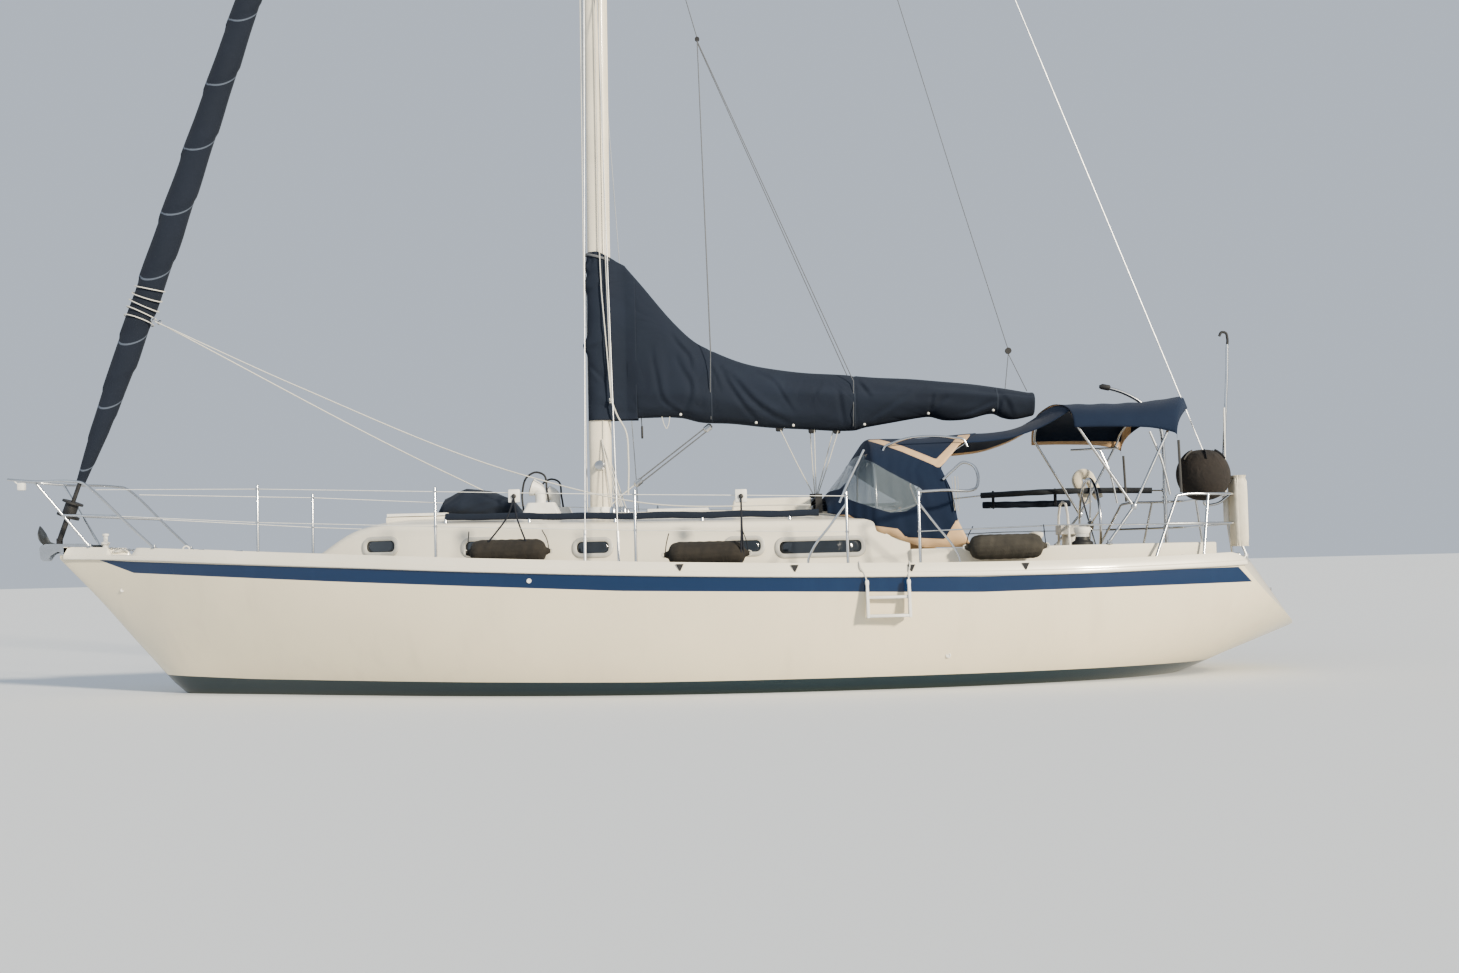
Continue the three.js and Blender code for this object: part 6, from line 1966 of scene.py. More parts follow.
def on_rail(x: float) -> Spot:
    """Where a foot stands on the toe rail."""
    return (x, hull_at(x, Column.HALF_BEAM) - 0.023, hull_at(x, Column.DECK) + 0.0785)


def on_deck(x: float, inset: float = 0.095) -> Spot:
    """Where a foot stands on the deck, a distance inside its edge."""
    y = hull_at(x, Column.HALF_BEAM) - inset
    return (x, y, deck_height(x, y))


def flange(at: Spot, radius: float = 0.034) -> Form:
    """A round foot: a low disc with a collar.

    Args:
        at: Its middle.
        radius: Its radius.

    Returns:
        The surface.
    """
    profile = [(0.0, -0.004), (radius, -0.004), (radius, 0.004), (radius * 0.55, 0.01), (radius * 0.5, 0.028),
        (0.0, 0.028)]
    return lathe(profile, at, sides=18)


@dataclass
class DeckRails:
    """Pulpit, pushpit, stanchions and wires."""

    tube_radius: float = 0.0125
    height: float = 0.665
    stanchions: tuple[float, ...] = (3.82, 2.12, 0.39, -1.38)
    gate_aft: float = -1.99
    shares: tuple[float, float] = (0.95, 0.5)
    pulpit_top: tuple[Spot, ...] = ((5.2, 0.482, 1.652), (5.44, 0.492, 1.893), (5.5, 0.492, 1.945),
        (5.56, 0.484, 1.984), (5.65, 0.462, 1.998), (6.085, 0.31, 2.018), (6.3, 0.205, 2.04),
        (6.425, 0.11, 2.056))
    stern_top: tuple[Spot, ...] = ((-4.337, 1.0, 1.591), (-4.4, 0.985, 1.603), (-4.632, 0.935, 1.606),
        (-4.8, 0.855, 1.606), (-4.895, 0.76, 1.606), (-4.924, 0.64, 1.606), (-4.924, 0.43, 1.606))
    stern_low: tuple[Spot, ...] = ((-4.205, 1.103, 1.345), (-4.58, 1.0, 1.345), (-4.78, 0.88, 1.345),
        (-4.89, 0.77, 1.345), (-4.924, 0.64, 1.345), (-4.924, 0.43, 1.345))
    stern_legs: tuple[tuple[float, float, Spot], ...] = ((-4.05, 1.225, (-4.337, 1.0, 1.591)),
        (-4.525, 1.07, (-4.632, 0.935, 1.604)), (-4.99, 0.43, (-4.924, 0.43, 1.606)))

    def wire_point(self, x: float, share: float) -> Spot:
        """A point of a wire at a stanchion."""
        at = on_deck(x)
        return (at[0], at[1], at[2] + self.height * share)

    def across(self, points: Sequence[Spot]) -> list[Spot]:
        """A line continued on the other side, back to its start's mirror image."""
        return [*points, *[(x, -y, z) for x, y, z in reversed(points)]]

    def build_pulpit(self) -> None:
        """The bow rail: one bent tube, front legs and middle rails, on round feet."""
        feet = [on_rail(4.905), on_rail(5.645)]
        front = (6.085, 0.31, 2.018)
        top = [feet[0], *self.pulpit_top]
        lower = [tuple(np.array(feet[0]) * 0.43 + np.array(top[2]) * 0.57),
            tuple(np.array(feet[1]) * 0.51 + np.array(front) * 0.49)]
        hoop = tube(self.across(top), self.tube_radius, 150, 12)
        sides = gathered([tube([feet[1], front], self.tube_radius, sides=12), tube(lower, 0.011, sides=12),
            *[flange(foot, 0.028) for foot in feet]])
        lamp = block((6.315, -0.03, 1.955), (6.385, 0.03, 2.03), 0.014)
        strut = tube([(6.35, 0, 1.985), (6.43, 0.0, 2.055)], 0.007)
        piece("bow_rail", hoop + sides.both(), STEEL, replaces=["pulpit"])
        piece("bow_lamp", lamp + strut, WHITE_PLASTIC)

    def brace(self, x: float, towards: float) -> Form:
        """A gate stanchion's brace, bent out at the top and down to the deck.

        Args:
            x: Where the stanchion stands.
            towards: 1 for forward, -1 for aft.

        Returns:
            The brace.
        """
        high = self.wire_point(x, 0.86)
        foot = on_deck(x + towards * 0.33)
        knee = (foot[0] - towards * 0.012, foot[1], foot[2] + 0.15)
        bend = [tuple(np.array(high) + (np.array(knee) - high) * share) for share in (0.0, 0.45, 0.93)]
        return tube([*bend, (foot[0], foot[1], foot[2] + 0.1), foot], 0.01, 40) + flange(foot, 0.022)

    def stanchion(self, x: float) -> Form:
        """An upright with its foot, rings for the wires and a cap.

        Args:
            x: How far forward.

        Returns:
            The upright.
        """
        foot = on_deck(x)
        top = foot[2] + self.height + 0.012
        post = lathe([(0.0, 0), (self.tube_radius, 0), (self.tube_radius, top - foot[2] - 0.012),
            (self.tube_radius * 0.7, top - foot[2] - 0.003), (0.0, top - foot[2])], foot, sides=16)
        rings = [lathe([(0.0125, -0.008), (0.016, -0.006), (0.016, 0.006), (0.0125, 0.008)],
            self.wire_point(x, share), sides=14) for share in self.shares]
        return gathered([post, flange(foot), *rings])

    def build_lifelines(self) -> None:
        """Stanchions, white-coated wires and the braces beside the gate."""
        ends = [(5.425, 0.508, 1.915), (5.19, 0.498, 1.664)]
        posts = gathered([*[self.stanchion(x) for x in self.stanchions], self.brace(self.stanchions[-1], 1)])
        wires = gathered([tube([end, *[self.wire_point(x, share) for x in self.stanchions]], 0.0035, sides=8)
            for end, share in zip(ends, self.shares)])
        for (side, form), (_, lines) in zip(on_sides(posts), on_sides(wires)):
            piece(f"stanchions_{side}", form, STEEL, replaces=[f"lifelines_{side}"])
            piece(f"wires_{side}", lines, WHITE_WIRE)

    def build_pushpit(self) -> None:
        """The stern rail, the gate's aft stanchions with their grab bows, and the padded rail to starboard.

        """
        port = []
        for x, y, top in self.stern_legs:
            foot = (x, y, deck_height(x, y))
            port += [tube([foot, top], self.tube_radius, sides=12), flange(foot, 0.026)]
        port += [self.stanchion(self.gate_aft), self.brace(self.gate_aft, -1)]
        bow = [self.wire_point(self.gate_aft, 1), (-2.24, 1.52, 1.668), (-2.47, 1.4, 1.668),
            (-2.525, 1.33, 1.69), (-2.512, 1.165, 1.905), (-2.455, 1.15, 1.925), (-2.35, 1.152, 1.855),
            (-2.262, 1.16, 1.775)]
        port.append(tube(bow, self.tube_radius, 70, 12))
        low = [self.wire_point(self.gate_aft, 0.5), (-3.2, hull_at(-3.2, Column.HALF_BEAM) - 0.155, 1.352),
            self.stern_low[0]]
        port.append(tube(low, 0.006, sides=8))
        port = gathered(port)
        sleeves = []
        for z in (1.345, 1.606, 1.722):
            sleeves.append(lathe([(0.0215, -0.02), (0.03, -0.02), (0.03, 0.02), (0.0215, 0.02),
                (0.0215, -0.02)], (-4.738, -0.84, z), sides=20))
            sleeves.append(tube([(-4.738, -0.868, z), (-4.738, -0.915, z)], 0.012))
        rails = gathered([tube(self.across(self.stern_top), self.tube_radius, 110, 12),
            tube(self.across(self.stern_low), 0.011, 90, 10), *sleeves])
        padded = [(-3.0, -1.47, 1.74), (-3.85, -1.115, 1.748), (-4.16, -1.105, 1.746), (-4.64, -0.947, 1.726),
            (-4.738, -0.915, 1.722)]
        x, y, z = self.wire_point(self.gate_aft, 1)
        core = tube([(x, -y, z), *padded], 0.0085)
        piece("stern_rail", gathered([rails, port.both(), core]), STEEL, replaces=["pushpit"])
        path = flowing(padded[:-1], 90)
        swell = 1 + 0.06 * np.sin(np.linspace(0, 40, 90)) * np.sin(np.linspace(0, np.pi, 90))
        stuffed("rail_pad", rings_along(path, oval(0.03, 0.03, 18), swell, (0, 0, 1)), PAD_CLOTH)
        roll = flowing([(-3.02, -1.5, 1.64), (-3.45, -1.36, 1.632), (-3.88, -1.24, 1.628)], 50)
        stuffed("rail_roll", rings_along(roll, oval(0.034, 0.034, 16),
            1 + 0.05 * np.sin(np.linspace(0, 30, 50)), (0, 0, 1)), COVER_CANVAS)
        ties = [sweep(np.array([(x, y - 0.036 * math.sin(t), 1.69 + 0.092 * math.cos(t))
            for t in circle_angles(24)]), oval(0.003, 0.009, 8), closed=True, up=(1, 0, 0)) for x,
            y in ((-3.12, -1.44), (-3.72, -1.22))]
        piece("roll_ties", gathered(ties), DARK_ROPE)

    def build(self) -> None:
        """All the rails."""
        self.build_pulpit()
        self.build_lifelines()
        self.build_pushpit()


def arch(half: Array, foot: Array, top: Array, square: Array, count: int) -> tuple[Array, Array]:
    """Rows of y and z over an arch: cosine and sine raised to 2 / square.

    Args:
        half: Half its width.
        foot: Height of its feet.
        top: Height of its crown.
        square: How square it is.
        count: Points across.

    Returns:
        Across and up.
    """
    angle = np.linspace(0, np.pi, count)[None]
    cos, sin = np.cos(angle), np.clip(np.sin(angle), 0, 1)
    return half * np.sign(cos) * np.abs(cos) ** (2 / square), foot + (top - foot) * sin ** (2 / square)


@dataclass
class Canopies:
    """The dodger, the bimini and the panel between them, with their frames."""

    dodger: tuple[tuple[float, ...], ...] = ((-1.262, 0.9, 1.52, 1.672, 2.4, 0),
        (-1.47, 1.04, 1.47, 1.93, 2.9, 0), (-1.67, 1.165, 1.345, 2.216, 3.2, 0),
        (-2.18, 1.195, 1.19, 2.23, 3.2, 0.5), (-2.695, 1.215, 1.185, 2.25, 3.2, 1))
    lean_table: tuple[tuple[float, float], ...] = ((0, 0), (0.14, 0.246), (0.33, 0.44), (0.54, 0.352),
        (0.75, 0.32), (1, 0.19))
    front: float = -3.416
    aft: float = -4.617
    half: float = 1.01
    square: float = 2.5
    front_sweep: float = -0.039
    aft_sweep: float = 0.259
    bimini: tuple[tuple[float, ...], ...] = ((0, 2.5, 2.222, 0), (0.25, 2.496, 2.222, 0),
        (0.5, 2.496, 2.216, 0), (0.75, 2.51, 2.202, 0), (0.95, 2.542, 2.162, 0), (1.0, 2.532, 2.138, 0.03),
        (1.02, 2.44, 2.1, 0.07))
    side_window: tuple[tuple[float, float], ...] = ((-1.545, 2.035), (-1.8, 1.865), (-2.0, 1.745),
        (-2.085, 1.7), (-2.05, 1.575), (-1.935, 1.51), (-1.8, 1.5), (-1.663, 1.545), (-1.5, 1.61),
        (-1.405, 1.655), (-1.4, 1.7))
    front_window: tuple[tuple[float, float], ...] = ((0.8, 1.735), (0.88, 2.04), (-0.88, 2.04), (-0.8, 1.735))

    def lean(self, z: Array, crown: Array) -> Array:
        """How far forward of its crown the dodger's aft edge stands, by the share of the way down.

        Args:
            z: The height.
            crown: The crown's height.

        Returns:
            The distance.
        """
        down = np.clip((crown - z) / (crown - 1.15), 0, 1)
        shares, reach = zip(*self.lean_table)
        return np.interp(down, shares, reach)

    def dodger_grid(self) -> Array:
        """The dodger's arches, straight between its five seams, with a little sag between the bows.

        Returns:
            The points.
        """
        table = np.array(self.dodger)
        at = np.linspace(0, 4, 60)
        x, half, foot, top, square, lean = (np.interp(at, range(5), table[:, k])[:, None] for k in range(6))
        y, z = arch(half, foot, top, square, 121)
        over = np.clip((z - foot) / (top - foot), 0, 1)
        sag = 0.014 * np.sin(np.pi * np.clip(at - 2, 0, 2) / 2)[:, None] ** 2 * over**3
        ripple = (0.004 * np.sin(14 * at[:, None] + 9 * y) * (1 - over) + 0.003 * np.sin(23 * at[:, None])
            * over)
        side = np.sign(y) * ripple * (np.abs(y) > 0.8 * half)
        grid_x = x + lean * self.lean(z, top)
        return np.stack([np.broadcast_to(grid_x, y.shape), y + side - np.sign(y) * 0.004, z - sag],
            -1)[:, ::-1]

    def dodger_fields(self) -> Fields:
        """Where the dodger's windows and tan strips are.

        Returns:
            A rule for each, by name.
        """
        def window(at: Array) -> Array:
            """Inside the side windows or the windscreen.

            Args:
                at: The points.

            Returns:
                The distances.
            """
            side = np.where(np.abs(at[:, 1]) > 0.78, inside_distance(at[:, [0, 2]], self.side_window), -1.0)
            front = np.where(at[:, 0] > -1.66, inside_distance(at[:, 1:], self.front_window), -1.0)
            return np.maximum(side, front)

        def strip(at: Array) -> Array:
            """Inside the chafe strips, the hem or the corner patch.

            Args:
                at: The points.

            Returns:
                The distances.
            """
            flat = at[:, [0, 2]]
            roof = near_line(flat, [(-1.7, 2.19), (-1.95, 2.075), (-2.235, 1.925)], 0.03)
            raked = near_line(flat, [(-2.235, 1.925), (-2.56, 2.222)], 0.036)
            foot = np.interp(at[:, 0], [-2.5, -1.921, -1.864, -1.578, -1.443],
                [1.184, 1.224, 1.3, 1.345, 1.44])
            hem = np.where(np.abs(at[:, 1]) > 0.8, foot + 0.058 - at[:, 2], -1.0)
            patch = inside_distance(flat, [(-2.22, 1.2), (-2.373, 1.44), (-2.56, 1.15)])
            found = np.maximum.reduce([roof, raked, hem, patch])
            return np.where(np.abs(at[:, 1]) > 0.55, found, -1.0)
        return {"window": window, "strip": strip}

    def build_dodger(self) -> None:
        """The dodger's cloth, its bows, side stays, the grab tube on its roof, its corner posts and webbing
        loops on its port side.
        """
        cloth("dodger_cloth", self.dodger_grid(), CANOPY_CANVAS,
            replaces=["dodger_canopy"], fields=self.dodger_fields())
        tubes = []
        for row, inset, shift in ((2, 0.036, -0.012), (4, 0.044, 0.041)):
            x, half, foot, top, square, lean = self.dodger[row]
            y, z = arch(half - inset, foot, top - inset, square, 80)
            keep = z[0] > 1.19
            line = np.stack([x + shift + lean * self.lean(z[0], top - inset), y[0], z[0]], 1)[keep]
            tubes.append(sweep(line, oval(0.0125, 0.0125, 12)))
        for side in (-1, 1):
            tubes.append(tube([(-1.69, side * 1.12, 1.45), (-2.0, side * 1.14, 1.56),
                (-2.29, side * 1.15, 1.6)], 0.009, 20))
        piece("dodger_tubes", gathered(tubes), STEEL, replaces=["dodger_frame"])
        grab = tube([(-1.765, 0.9, 2.04), (-1.79, 0.9, 2.095), (-1.87, 0.9, 2.132), (-2.4, 0.9, 2.162),
            (-2.49, 0.9, 2.145), (-2.525, 0.9, 2.08)], 0.011, 60, 12)
        piece("dodger_grab_tubes", grab.both(), STEEL)
        post = tube([(-1.59, 1.07, 2.062), (-1.405, 1.12, 1.7), (-1.36, 1.128, 1.6)], 0.012, 20, 12)
        piece("dodger_corner_posts", post.both(), STEEL)
        loops = []
        for shift in (0.0, 0.028):
            path = flowing([(-2.335 - shift, 1.215, 1.8), (-2.34 - shift, 1.222, 1.6),
                (-2.35 - shift, 1.224, 1.5), (-2.362 - shift, 1.222, 1.6), (-2.357 - shift, 1.215, 1.8)], 40)
            loops.append(sweep(path, oval(0.0015, 0.007, 8), up=(0, 1, 0)))
        piece("dodger_webbing", gathered(loops), WHITE_CANVAS)

    def bimini_grid(self) -> Array:
        """The bimini's arches: swept ends, a dip between the bows and a lip turned down at the back.

        Returns:
            The points.
        """
        shares = np.concatenate([np.linspace(0, 1.0, 48), [1.007, 1.014, 1.02]])
        crown, edge, past = (interpolated(self.bimini, k, shares)[:, None] for k in (1, 2, 3))
        y, z = arch(np.full_like(crown, self.half), edge, crown, np.full_like(crown, self.square), 81)
        out = (y / self.half) ** 2
        share = np.minimum(shares, 1.0)[:, None]
        front, aft = self.front + self.front_sweep * out, self.aft + self.aft_sweep * out
        ripple = 0.004 * np.sin(31 * share + 6 * y) * (1 - out)
        return np.stack([front + (aft - front) * share - past * (1 - out), y, z + ripple - 0.004],
            -1)[:, ::-1]

    def build_bimini(self) -> None:
        """The bimini's cloth with its light edge, the frame under it, straps and brackets."""
        def lining(at: Array) -> Array:
            """Inside the light binding along the edges and the front and back ends of the inner side.

            Args:
                at: The points.

            Returns:
                The distances.
            """
            low = interpolated(self.bimini, 2, np.clip((self.front - at[:, 0]) / 1.2, 0, 1))
            ends = 0.035 - np.minimum(np.abs(at[:, 0] - self.front + 0.02), np.abs(at[:, 0] + 4.4))
            return np.maximum(low + 0.03 - at[:, 2], ends)
        plain = {"strip": nowhere, "window": nowhere}
        # inner side in the darker canvas: painted shade under the bimini
        cloth("bimini_cloth", self.bimini_grid(), CANOPY_CANVAS,
            replaces=["bimini_canopy"], lining=SHADED_UNDERSIDE_CANVAS,
            fields={**plain, "lining": lining})
        hinge, joint = (-3.692, 1.15, 1.2), (-3.935, 1.08, 1.503)
        tubes = []
        for start, via, row in ((hinge, [joint], (0.93, 2.536, 2.168)), (joint, [], (0.03, 2.5, 2.222))):
            share, crown, edge = row
            y, z = arch(np.array([[self.half - 0.032]]), np.array([[edge - 0.032]]),
                np.array([[crown - 0.032]]), np.array([[self.square]]), 60)
            out = (y[0] / self.half) ** 2
            x = ((self.front + self.front_sweep * out) * (1 - share) + (self.aft + self.aft_sweep * out)
                * share)
            over = np.stack([x, y[0], z[0]], 1)[3:-3]
            lead = np.linspace(via[0] if via else start, over[0], 14)[:-1]
            if via:
                lead = np.vstack([np.linspace(start, via[0], 8)[:-1], lead])
            tubes.append(sweep(np.vstack([lead, over, lead[::-1] * (1, -1, 1)]), oval(0.0125, 0.0125, 12)))
        feet = lathe([(0.0, 0), (0.03, 0), (0.03, 0.008), (0.016, 0.014), (0.016, 0.034), (0.0, 0.038)],
            (hinge[0], hinge[1], 1.1805), sides=18)
        knuckle = block((joint[0] - 0.022, joint[1] - 0.018, joint[2] - 0.024),
            (joint[0] + 0.022, joint[1] + 0.018, joint[2] + 0.024), 0.008)
        piece("bimini_tubes", gathered([*tubes, feet.both(), knuckle.both()]), STEEL,
            replaces=["bimini_frame"])
        strap = sweep(np.array([(-4.375, 0.985, 2.085), (-4.385, 0.975, 1.62)]), oval(0.0015, 0.012, 8),
            up=(1, 0, 0))
        piece("bimini_straps", strap.both(), BLACK)
        bar = tube([(-3.84, -0.965, 2.155), (-4.32, -0.94, 2.165)], 0.01)
        piece("bimini_bar", bar, STEEL)
        strut = tube([(-4.13, 0.965, 2.168), (-4.225, 0.955, 1.92), (-4.29, 0.96, 1.606)], 0.01, 16)
        piece("bimini_struts", strut.both(), STEEL)

    def build_connector(self) -> None:
        """The panel between the canopies: straight across, hollow lengthwise where the boom's end passes over
        it.
        """
        aft_x, half, foot, top, square, _ = self.dodger[-1]
        share = np.linspace(0, 1, 34)[:, None]
        y = np.linspace(-0.86, 0.86, 61)[None]

        def over(reach: float, low: float, high: float, power: float) -> Array:
            """Height of an arch at y."""
            return low + (high - low) * (1 - np.abs(y / reach) ** power) ** (1 / power)
        near = over(half, foot, top, square)
        far = over(self.half, self.bimini[0][2], self.bimini[0][1], self.square)
        tuck = 0.014
        start = aft_x + tuck + self.lean(near, top)
        end = self.front + self.front_sweep * (y / self.half) ** 2 - tuck
        x = start + (end - start) * share
        ripple = 0.003 * np.sin(18 * share) * np.cos(5 * y) * np.sin(np.pi * share)
        z = near + (far - near) * share**2.6 - 0.005 - 0.007 * share**8 + ripple

        def window(at: Array) -> Array:
            """Inside the clear strip on each side."""
            flat = np.column_stack([at[:, 0], np.abs(at[:, 1])])
            return inside_distance(flat, [(-2.8, 0.4), (-3.18, 0.34), (-3.18, 0.12), (-2.8, 0.12)])

        def lining(at: Array) -> Array:
            """Inside the tan binding along each side of the inner face."""
            return np.abs(at[:, 1]) - 0.815
        # inner side in the darker canvas: painted shade under the panel
        cloth("canopy_panel", np.stack([x, np.broadcast_to(y, x.shape), z], -1), CANOPY_CANVAS,
            replaces=["canopy_connector"],
            lining=SHADED_UNDERSIDE_CANVAS, fields={"window": window, "strip": nowhere, "lining": lining})

    def build(self) -> None:
        """All the canopies."""
        self.build_dodger()
        self.build_bimini()
        self.build_connector()


@dataclass
class Helm:
    """Wheel, pedestal and winches."""

    wheel_at: Spot = (-3.79, 0.0, 1.37)
    radius: float = 0.44

    def build(self) -> None:
        """Everything at the helm."""
        refined("pedestal", "binnacle", WHITE_PLASTIC, edge=0.004)
        x, _, z = self.wheel_at
        angle = circle_angles(72)
        rim = sweep(np.column_stack([np.full(72, x), self.radius * np.cos(angle),
            z + self.radius * np.sin(angle)]), oval(0.015, 0.013, 12), closed=True)
        spokes = [tube([(x, 0.03 * math.cos(a), z + 0.03 * math.sin(a)), (x, self.radius * math.cos(a),
            z + self.radius * math.sin(a))], 0.008) for a in (k * math.pi / 3 + 0.3 for k in range(6))]
        hub = lathe([(0.0, -0.025), (0.046, -0.025), (0.046, 0.01), (0.034, 0.022), (0.0, 0.025)], (x, 0, z),
            (1, 0, 0))
        shaft = tube([(x - 0.035, 0, z), (-3.644, 0, z)], 0.015, sides=14)
        piece("wheel", gathered([rim, *spokes, hub, shaft]), STEEL, Body.WHEEL, replaces=["steering_wheel"])
        base = lathe([(0.0, 0.0), (0.092, 0.0), (0.092, 0.024), (0.064, 0.04), (0.06, 0.07), (0.0, 0.07)],
            (-3.48, 1.06, 1.1803), sides=32)
        drum = lathe([(0.0, 0.07), (0.058, 0.07), (0.056, 0.092), (0.072, 0.118), (0.074, 0.15),
            (0.06, 0.156), (0.03, 0.162), (0.0, 0.162)], (-3.48, 1.06, 1.1803), sides=32)
        for side, form in on_sides(drum):
            piece(f"winch_drum_{side}", form, WHITE_PLASTIC, replaces=[f"winch_{side}"])
        piece("winch_bases", base.both(), BLACK)


@dataclass
class DeckGear:
    """Fenders, step, grill, canister, buoy, hoist, ladder and bow roller."""

    fenders: tuple[tuple[float, float, float], ...] = ((1.5, 0.66, 1.411), (-0.2, 0.66, 1.35),
        (-2.76, 0.64, 1.352))

    def build_fenders(self) -> None:
        """Each fender: a turned body in a ribbed cloth sleeve, hung by both ends from the rail."""
        turn = circle_angles(14)
        for number, (x, length, line_z) in enumerate(self.fenders, 1):
            wire_y = hull_at(x, Column.HALF_BEAM) - 0.095 - (0.06 if x < -1.99 else 0)
            y, z = wire_y - 0.136, line_z - 0.172
            s = np.linspace(-1, 1, 60)
            reach = length / 2
            radius = np.interp(np.abs(s) * (reach + 0.03),
                [0, reach - 0.09, reach - 0.055, reach - 0.024, reach - 0.006, reach + 0.03],
                [0.106, 0.105, 0.097, 0.078, 0.034, 0.018])
            angle = circle_angles(48)[None]
            ribs = (1 + 0.018 * np.sin(16 * angle + 3 * s[:, None]) + 0.012
                * np.sin(29 * s[:, None] + 2 * angle))
            swollen = radius[:, None] * ribs
            grid = np.stack([np.broadcast_to(x + s[:, None] * (reach + 0.03), swollen.shape),
                y + swollen * np.cos(angle), z + swollen * np.sin(angle)], -1)
            stuffed(f"fender_sleeve_{number}", grid, WORN_CLOTH if number == 3 else FENDER_CLOTH,
                replaces=[f"fender_{number}"])
            eyes = [sweep(np.column_stack([x + end * (reach + 0.028 + 0.02 * np.cos(turn)), np.full(14, y),
                z + 0.02 * np.sin(turn)]), oval(0.006, 0.006, 8), closed=True) for end in (-1, 1)]
            ties = [tube([(x + end * (reach + 0.02), y, z + 0.01), (x + end * (reach + 0.01), y + 0.02,
                z + 0.08), (x + end * (reach - 0.02), wire_y, line_z + 0.004)], 0.004, 16, 8)
                for end in (-1, 1)]
            piece(f"fender_eyes_{number}", gathered(eyes), WHITE_ROPE)
            piece(f"fender_ties_{number}", gathered(ties), DARK_ROPE)
        self.build_line_plates()

    def build_line_plates(self) -> None:
        """White hanger plates on the top wire with the dark lanyards that hang from them."""
        plates, lines, knobs = [], [], []
        for x, z, ends in ((1.42, 1.705, ((0.24, 0.38), (-0.08, 0.38))),
                (-0.5, 1.65, ((0.015, 0.56), (-0.01, 0.5)))):
            y = hull_at(x, Column.HALF_BEAM) - 0.095
            plates.append(block((x - 0.05, y - 0.008, z - 0.052), (x + 0.05, y + 0.01, z + 0.06), 0.01))
            knobs.append(lathe([(0.0, 0.0), (0.02, 0.0), (0.02, 0.014), (0.008, 0.02), (0.0, 0.02)],
                (x, y + 0.01, z), (0, 1, 0), 16))
            for reach, drop in ends:
                lines.append(tube([(x, y + 0.02, z - 0.01), (x + 0.2 * reach, y + 0.012, z - 0.4 * drop),
                    (x + 0.7 * reach, y - 0.05, z - 0.8 * drop), (x + reach, y - 0.09, z - drop)], 0.007, 24,
                    8))
        piece("hanger_plates", gathered(plates), WHITE_PLASTIC)
        piece("hanger_knobs", gathered(knobs), BLACK)
        piece("hanger_lanyards", gathered(lines), DARK_ROPE)

    def build_stern_gear(self) -> None:
        """The covered grill, the rescue canister, the pole and small posts on the stern rail."""
        angle = np.linspace(0, 2 * np.pi, 73)[None]
        climb = np.linspace(0.1, np.pi - 0.03, 44)[:, None]
        radius = 0.238 * np.sin(climb) ** 0.85
        gather = np.clip(np.cos(climb) - 0.55, 0, 1)
        fold = 1 + 0.1 * np.sin(14 * angle) * gather + 0.01 * np.sin(5 * angle + 3 * climb)
        shell = np.stack([-4.69 + radius * fold * np.cos(angle), 0.62 + radius * fold * np.sin(angle),
            1.788 + 0.23 * np.cos(climb) + 0 * angle], -1)
        cloth("grill_cover", shell[:, ::-1], GRILL_CANVAS,
            replaces=["kettle_grill"], thick=0.003)
        arm = tube([(-4.69, 0.62, 1.575), (-4.69, 0.62, 1.53), (-4.8, 0.62, 1.525), (-4.918, 0.622, 1.6)],
            0.012, 24, 12)
        piece("grill_arm", arm, STEEL)
        straps = []
        bend = np.linspace(0.95, 0.4, 10)
        for way in np.arange(6) * math.pi / 3 + 0.4:
            reach = 0.241 * np.sin(bend) ** 0.85 + 0.003
            straps.append(sweep(np.column_stack([-4.69 + reach * math.cos(way), 0.62 + reach * math.sin(way),
                1.79 + 0.234 * np.cos(bend)]), oval(0.006, 0.014, 8), np.linspace(0.7, 1.0, 10),
                up=(0, 0, 1)))
        piece("grill_straps", gathered(straps), BLACK)
        levels = np.concatenate([[1.137, 1.15, 1.165], np.linspace(1.18, 1.715, 24),
            [1.728, 1.738, 1.748, 1.762, 1.776]])
        spread = np.interp(levels, [1.137, 1.15, 1.165, 1.2, 1.6, 1.715, 1.738, 1.748, 1.776],
            [0.92, 0.86, 0.9, 0.96, 1.0, 0.98, 0.86, 0.8, 0.88])
        outline = round_rectangle(0.124, 0.224, 0.04, 12)
        way = circle_angles(len(outline))[None]
        frill = np.interp(levels, [1.15, 1.18, 1.7, 1.748], [1.0, 0.15, 0.1, 1.0])[:, None]
        pleats = (1 + 0.05 * frill * np.sin(13 * way) - 0.035 * np.exp(-((way - 1.2) / 0.22) ** 2)
            * (1 - frill))
        flat = outline[None] * (spread[:, None] * pleats)[..., None]
        rings = np.dstack([-5.0 + flat[..., 0], 0.6025 + flat[..., 1],
            np.broadcast_to(levels[:, None], pleats.shape)])
        stuffed("canister_cover", rings, WHITE_CANVAS, replaces=["rescue_canister"],
            sharp=50)
        pole = tube([(-4.955, 0.3, 1.62), (-5.055, 0.27, 2.77), (-5.07, 0.26, 3.02)], 0.014, sides=12)
        staff = tube([(-4.965, 0.36, 1.58), (-4.985, 0.36, 2.42)], 0.009, sides=12)
        piece("stern_pole", pole, STEEL)
        piece("stern_staff", staff, WHITE_PLASTIC)
        hook = tube([(-5.07, 0.26, 3.0), (-5.074, 0.26, 3.08), (-5.06, 0.26, 3.13), (-5.02, 0.26, 3.135),
            (-5.0, 0.26, 3.1)], 0.012, 24, 10)
        piece("pole_hook", hook, BLACK)
        post = tube([(-4.925, 0.5, 1.345), (-4.925, 0.5, 1.58)], 0.028, sides=16)
        piece("stern_light_post", post, WHITE_PLASTIC)

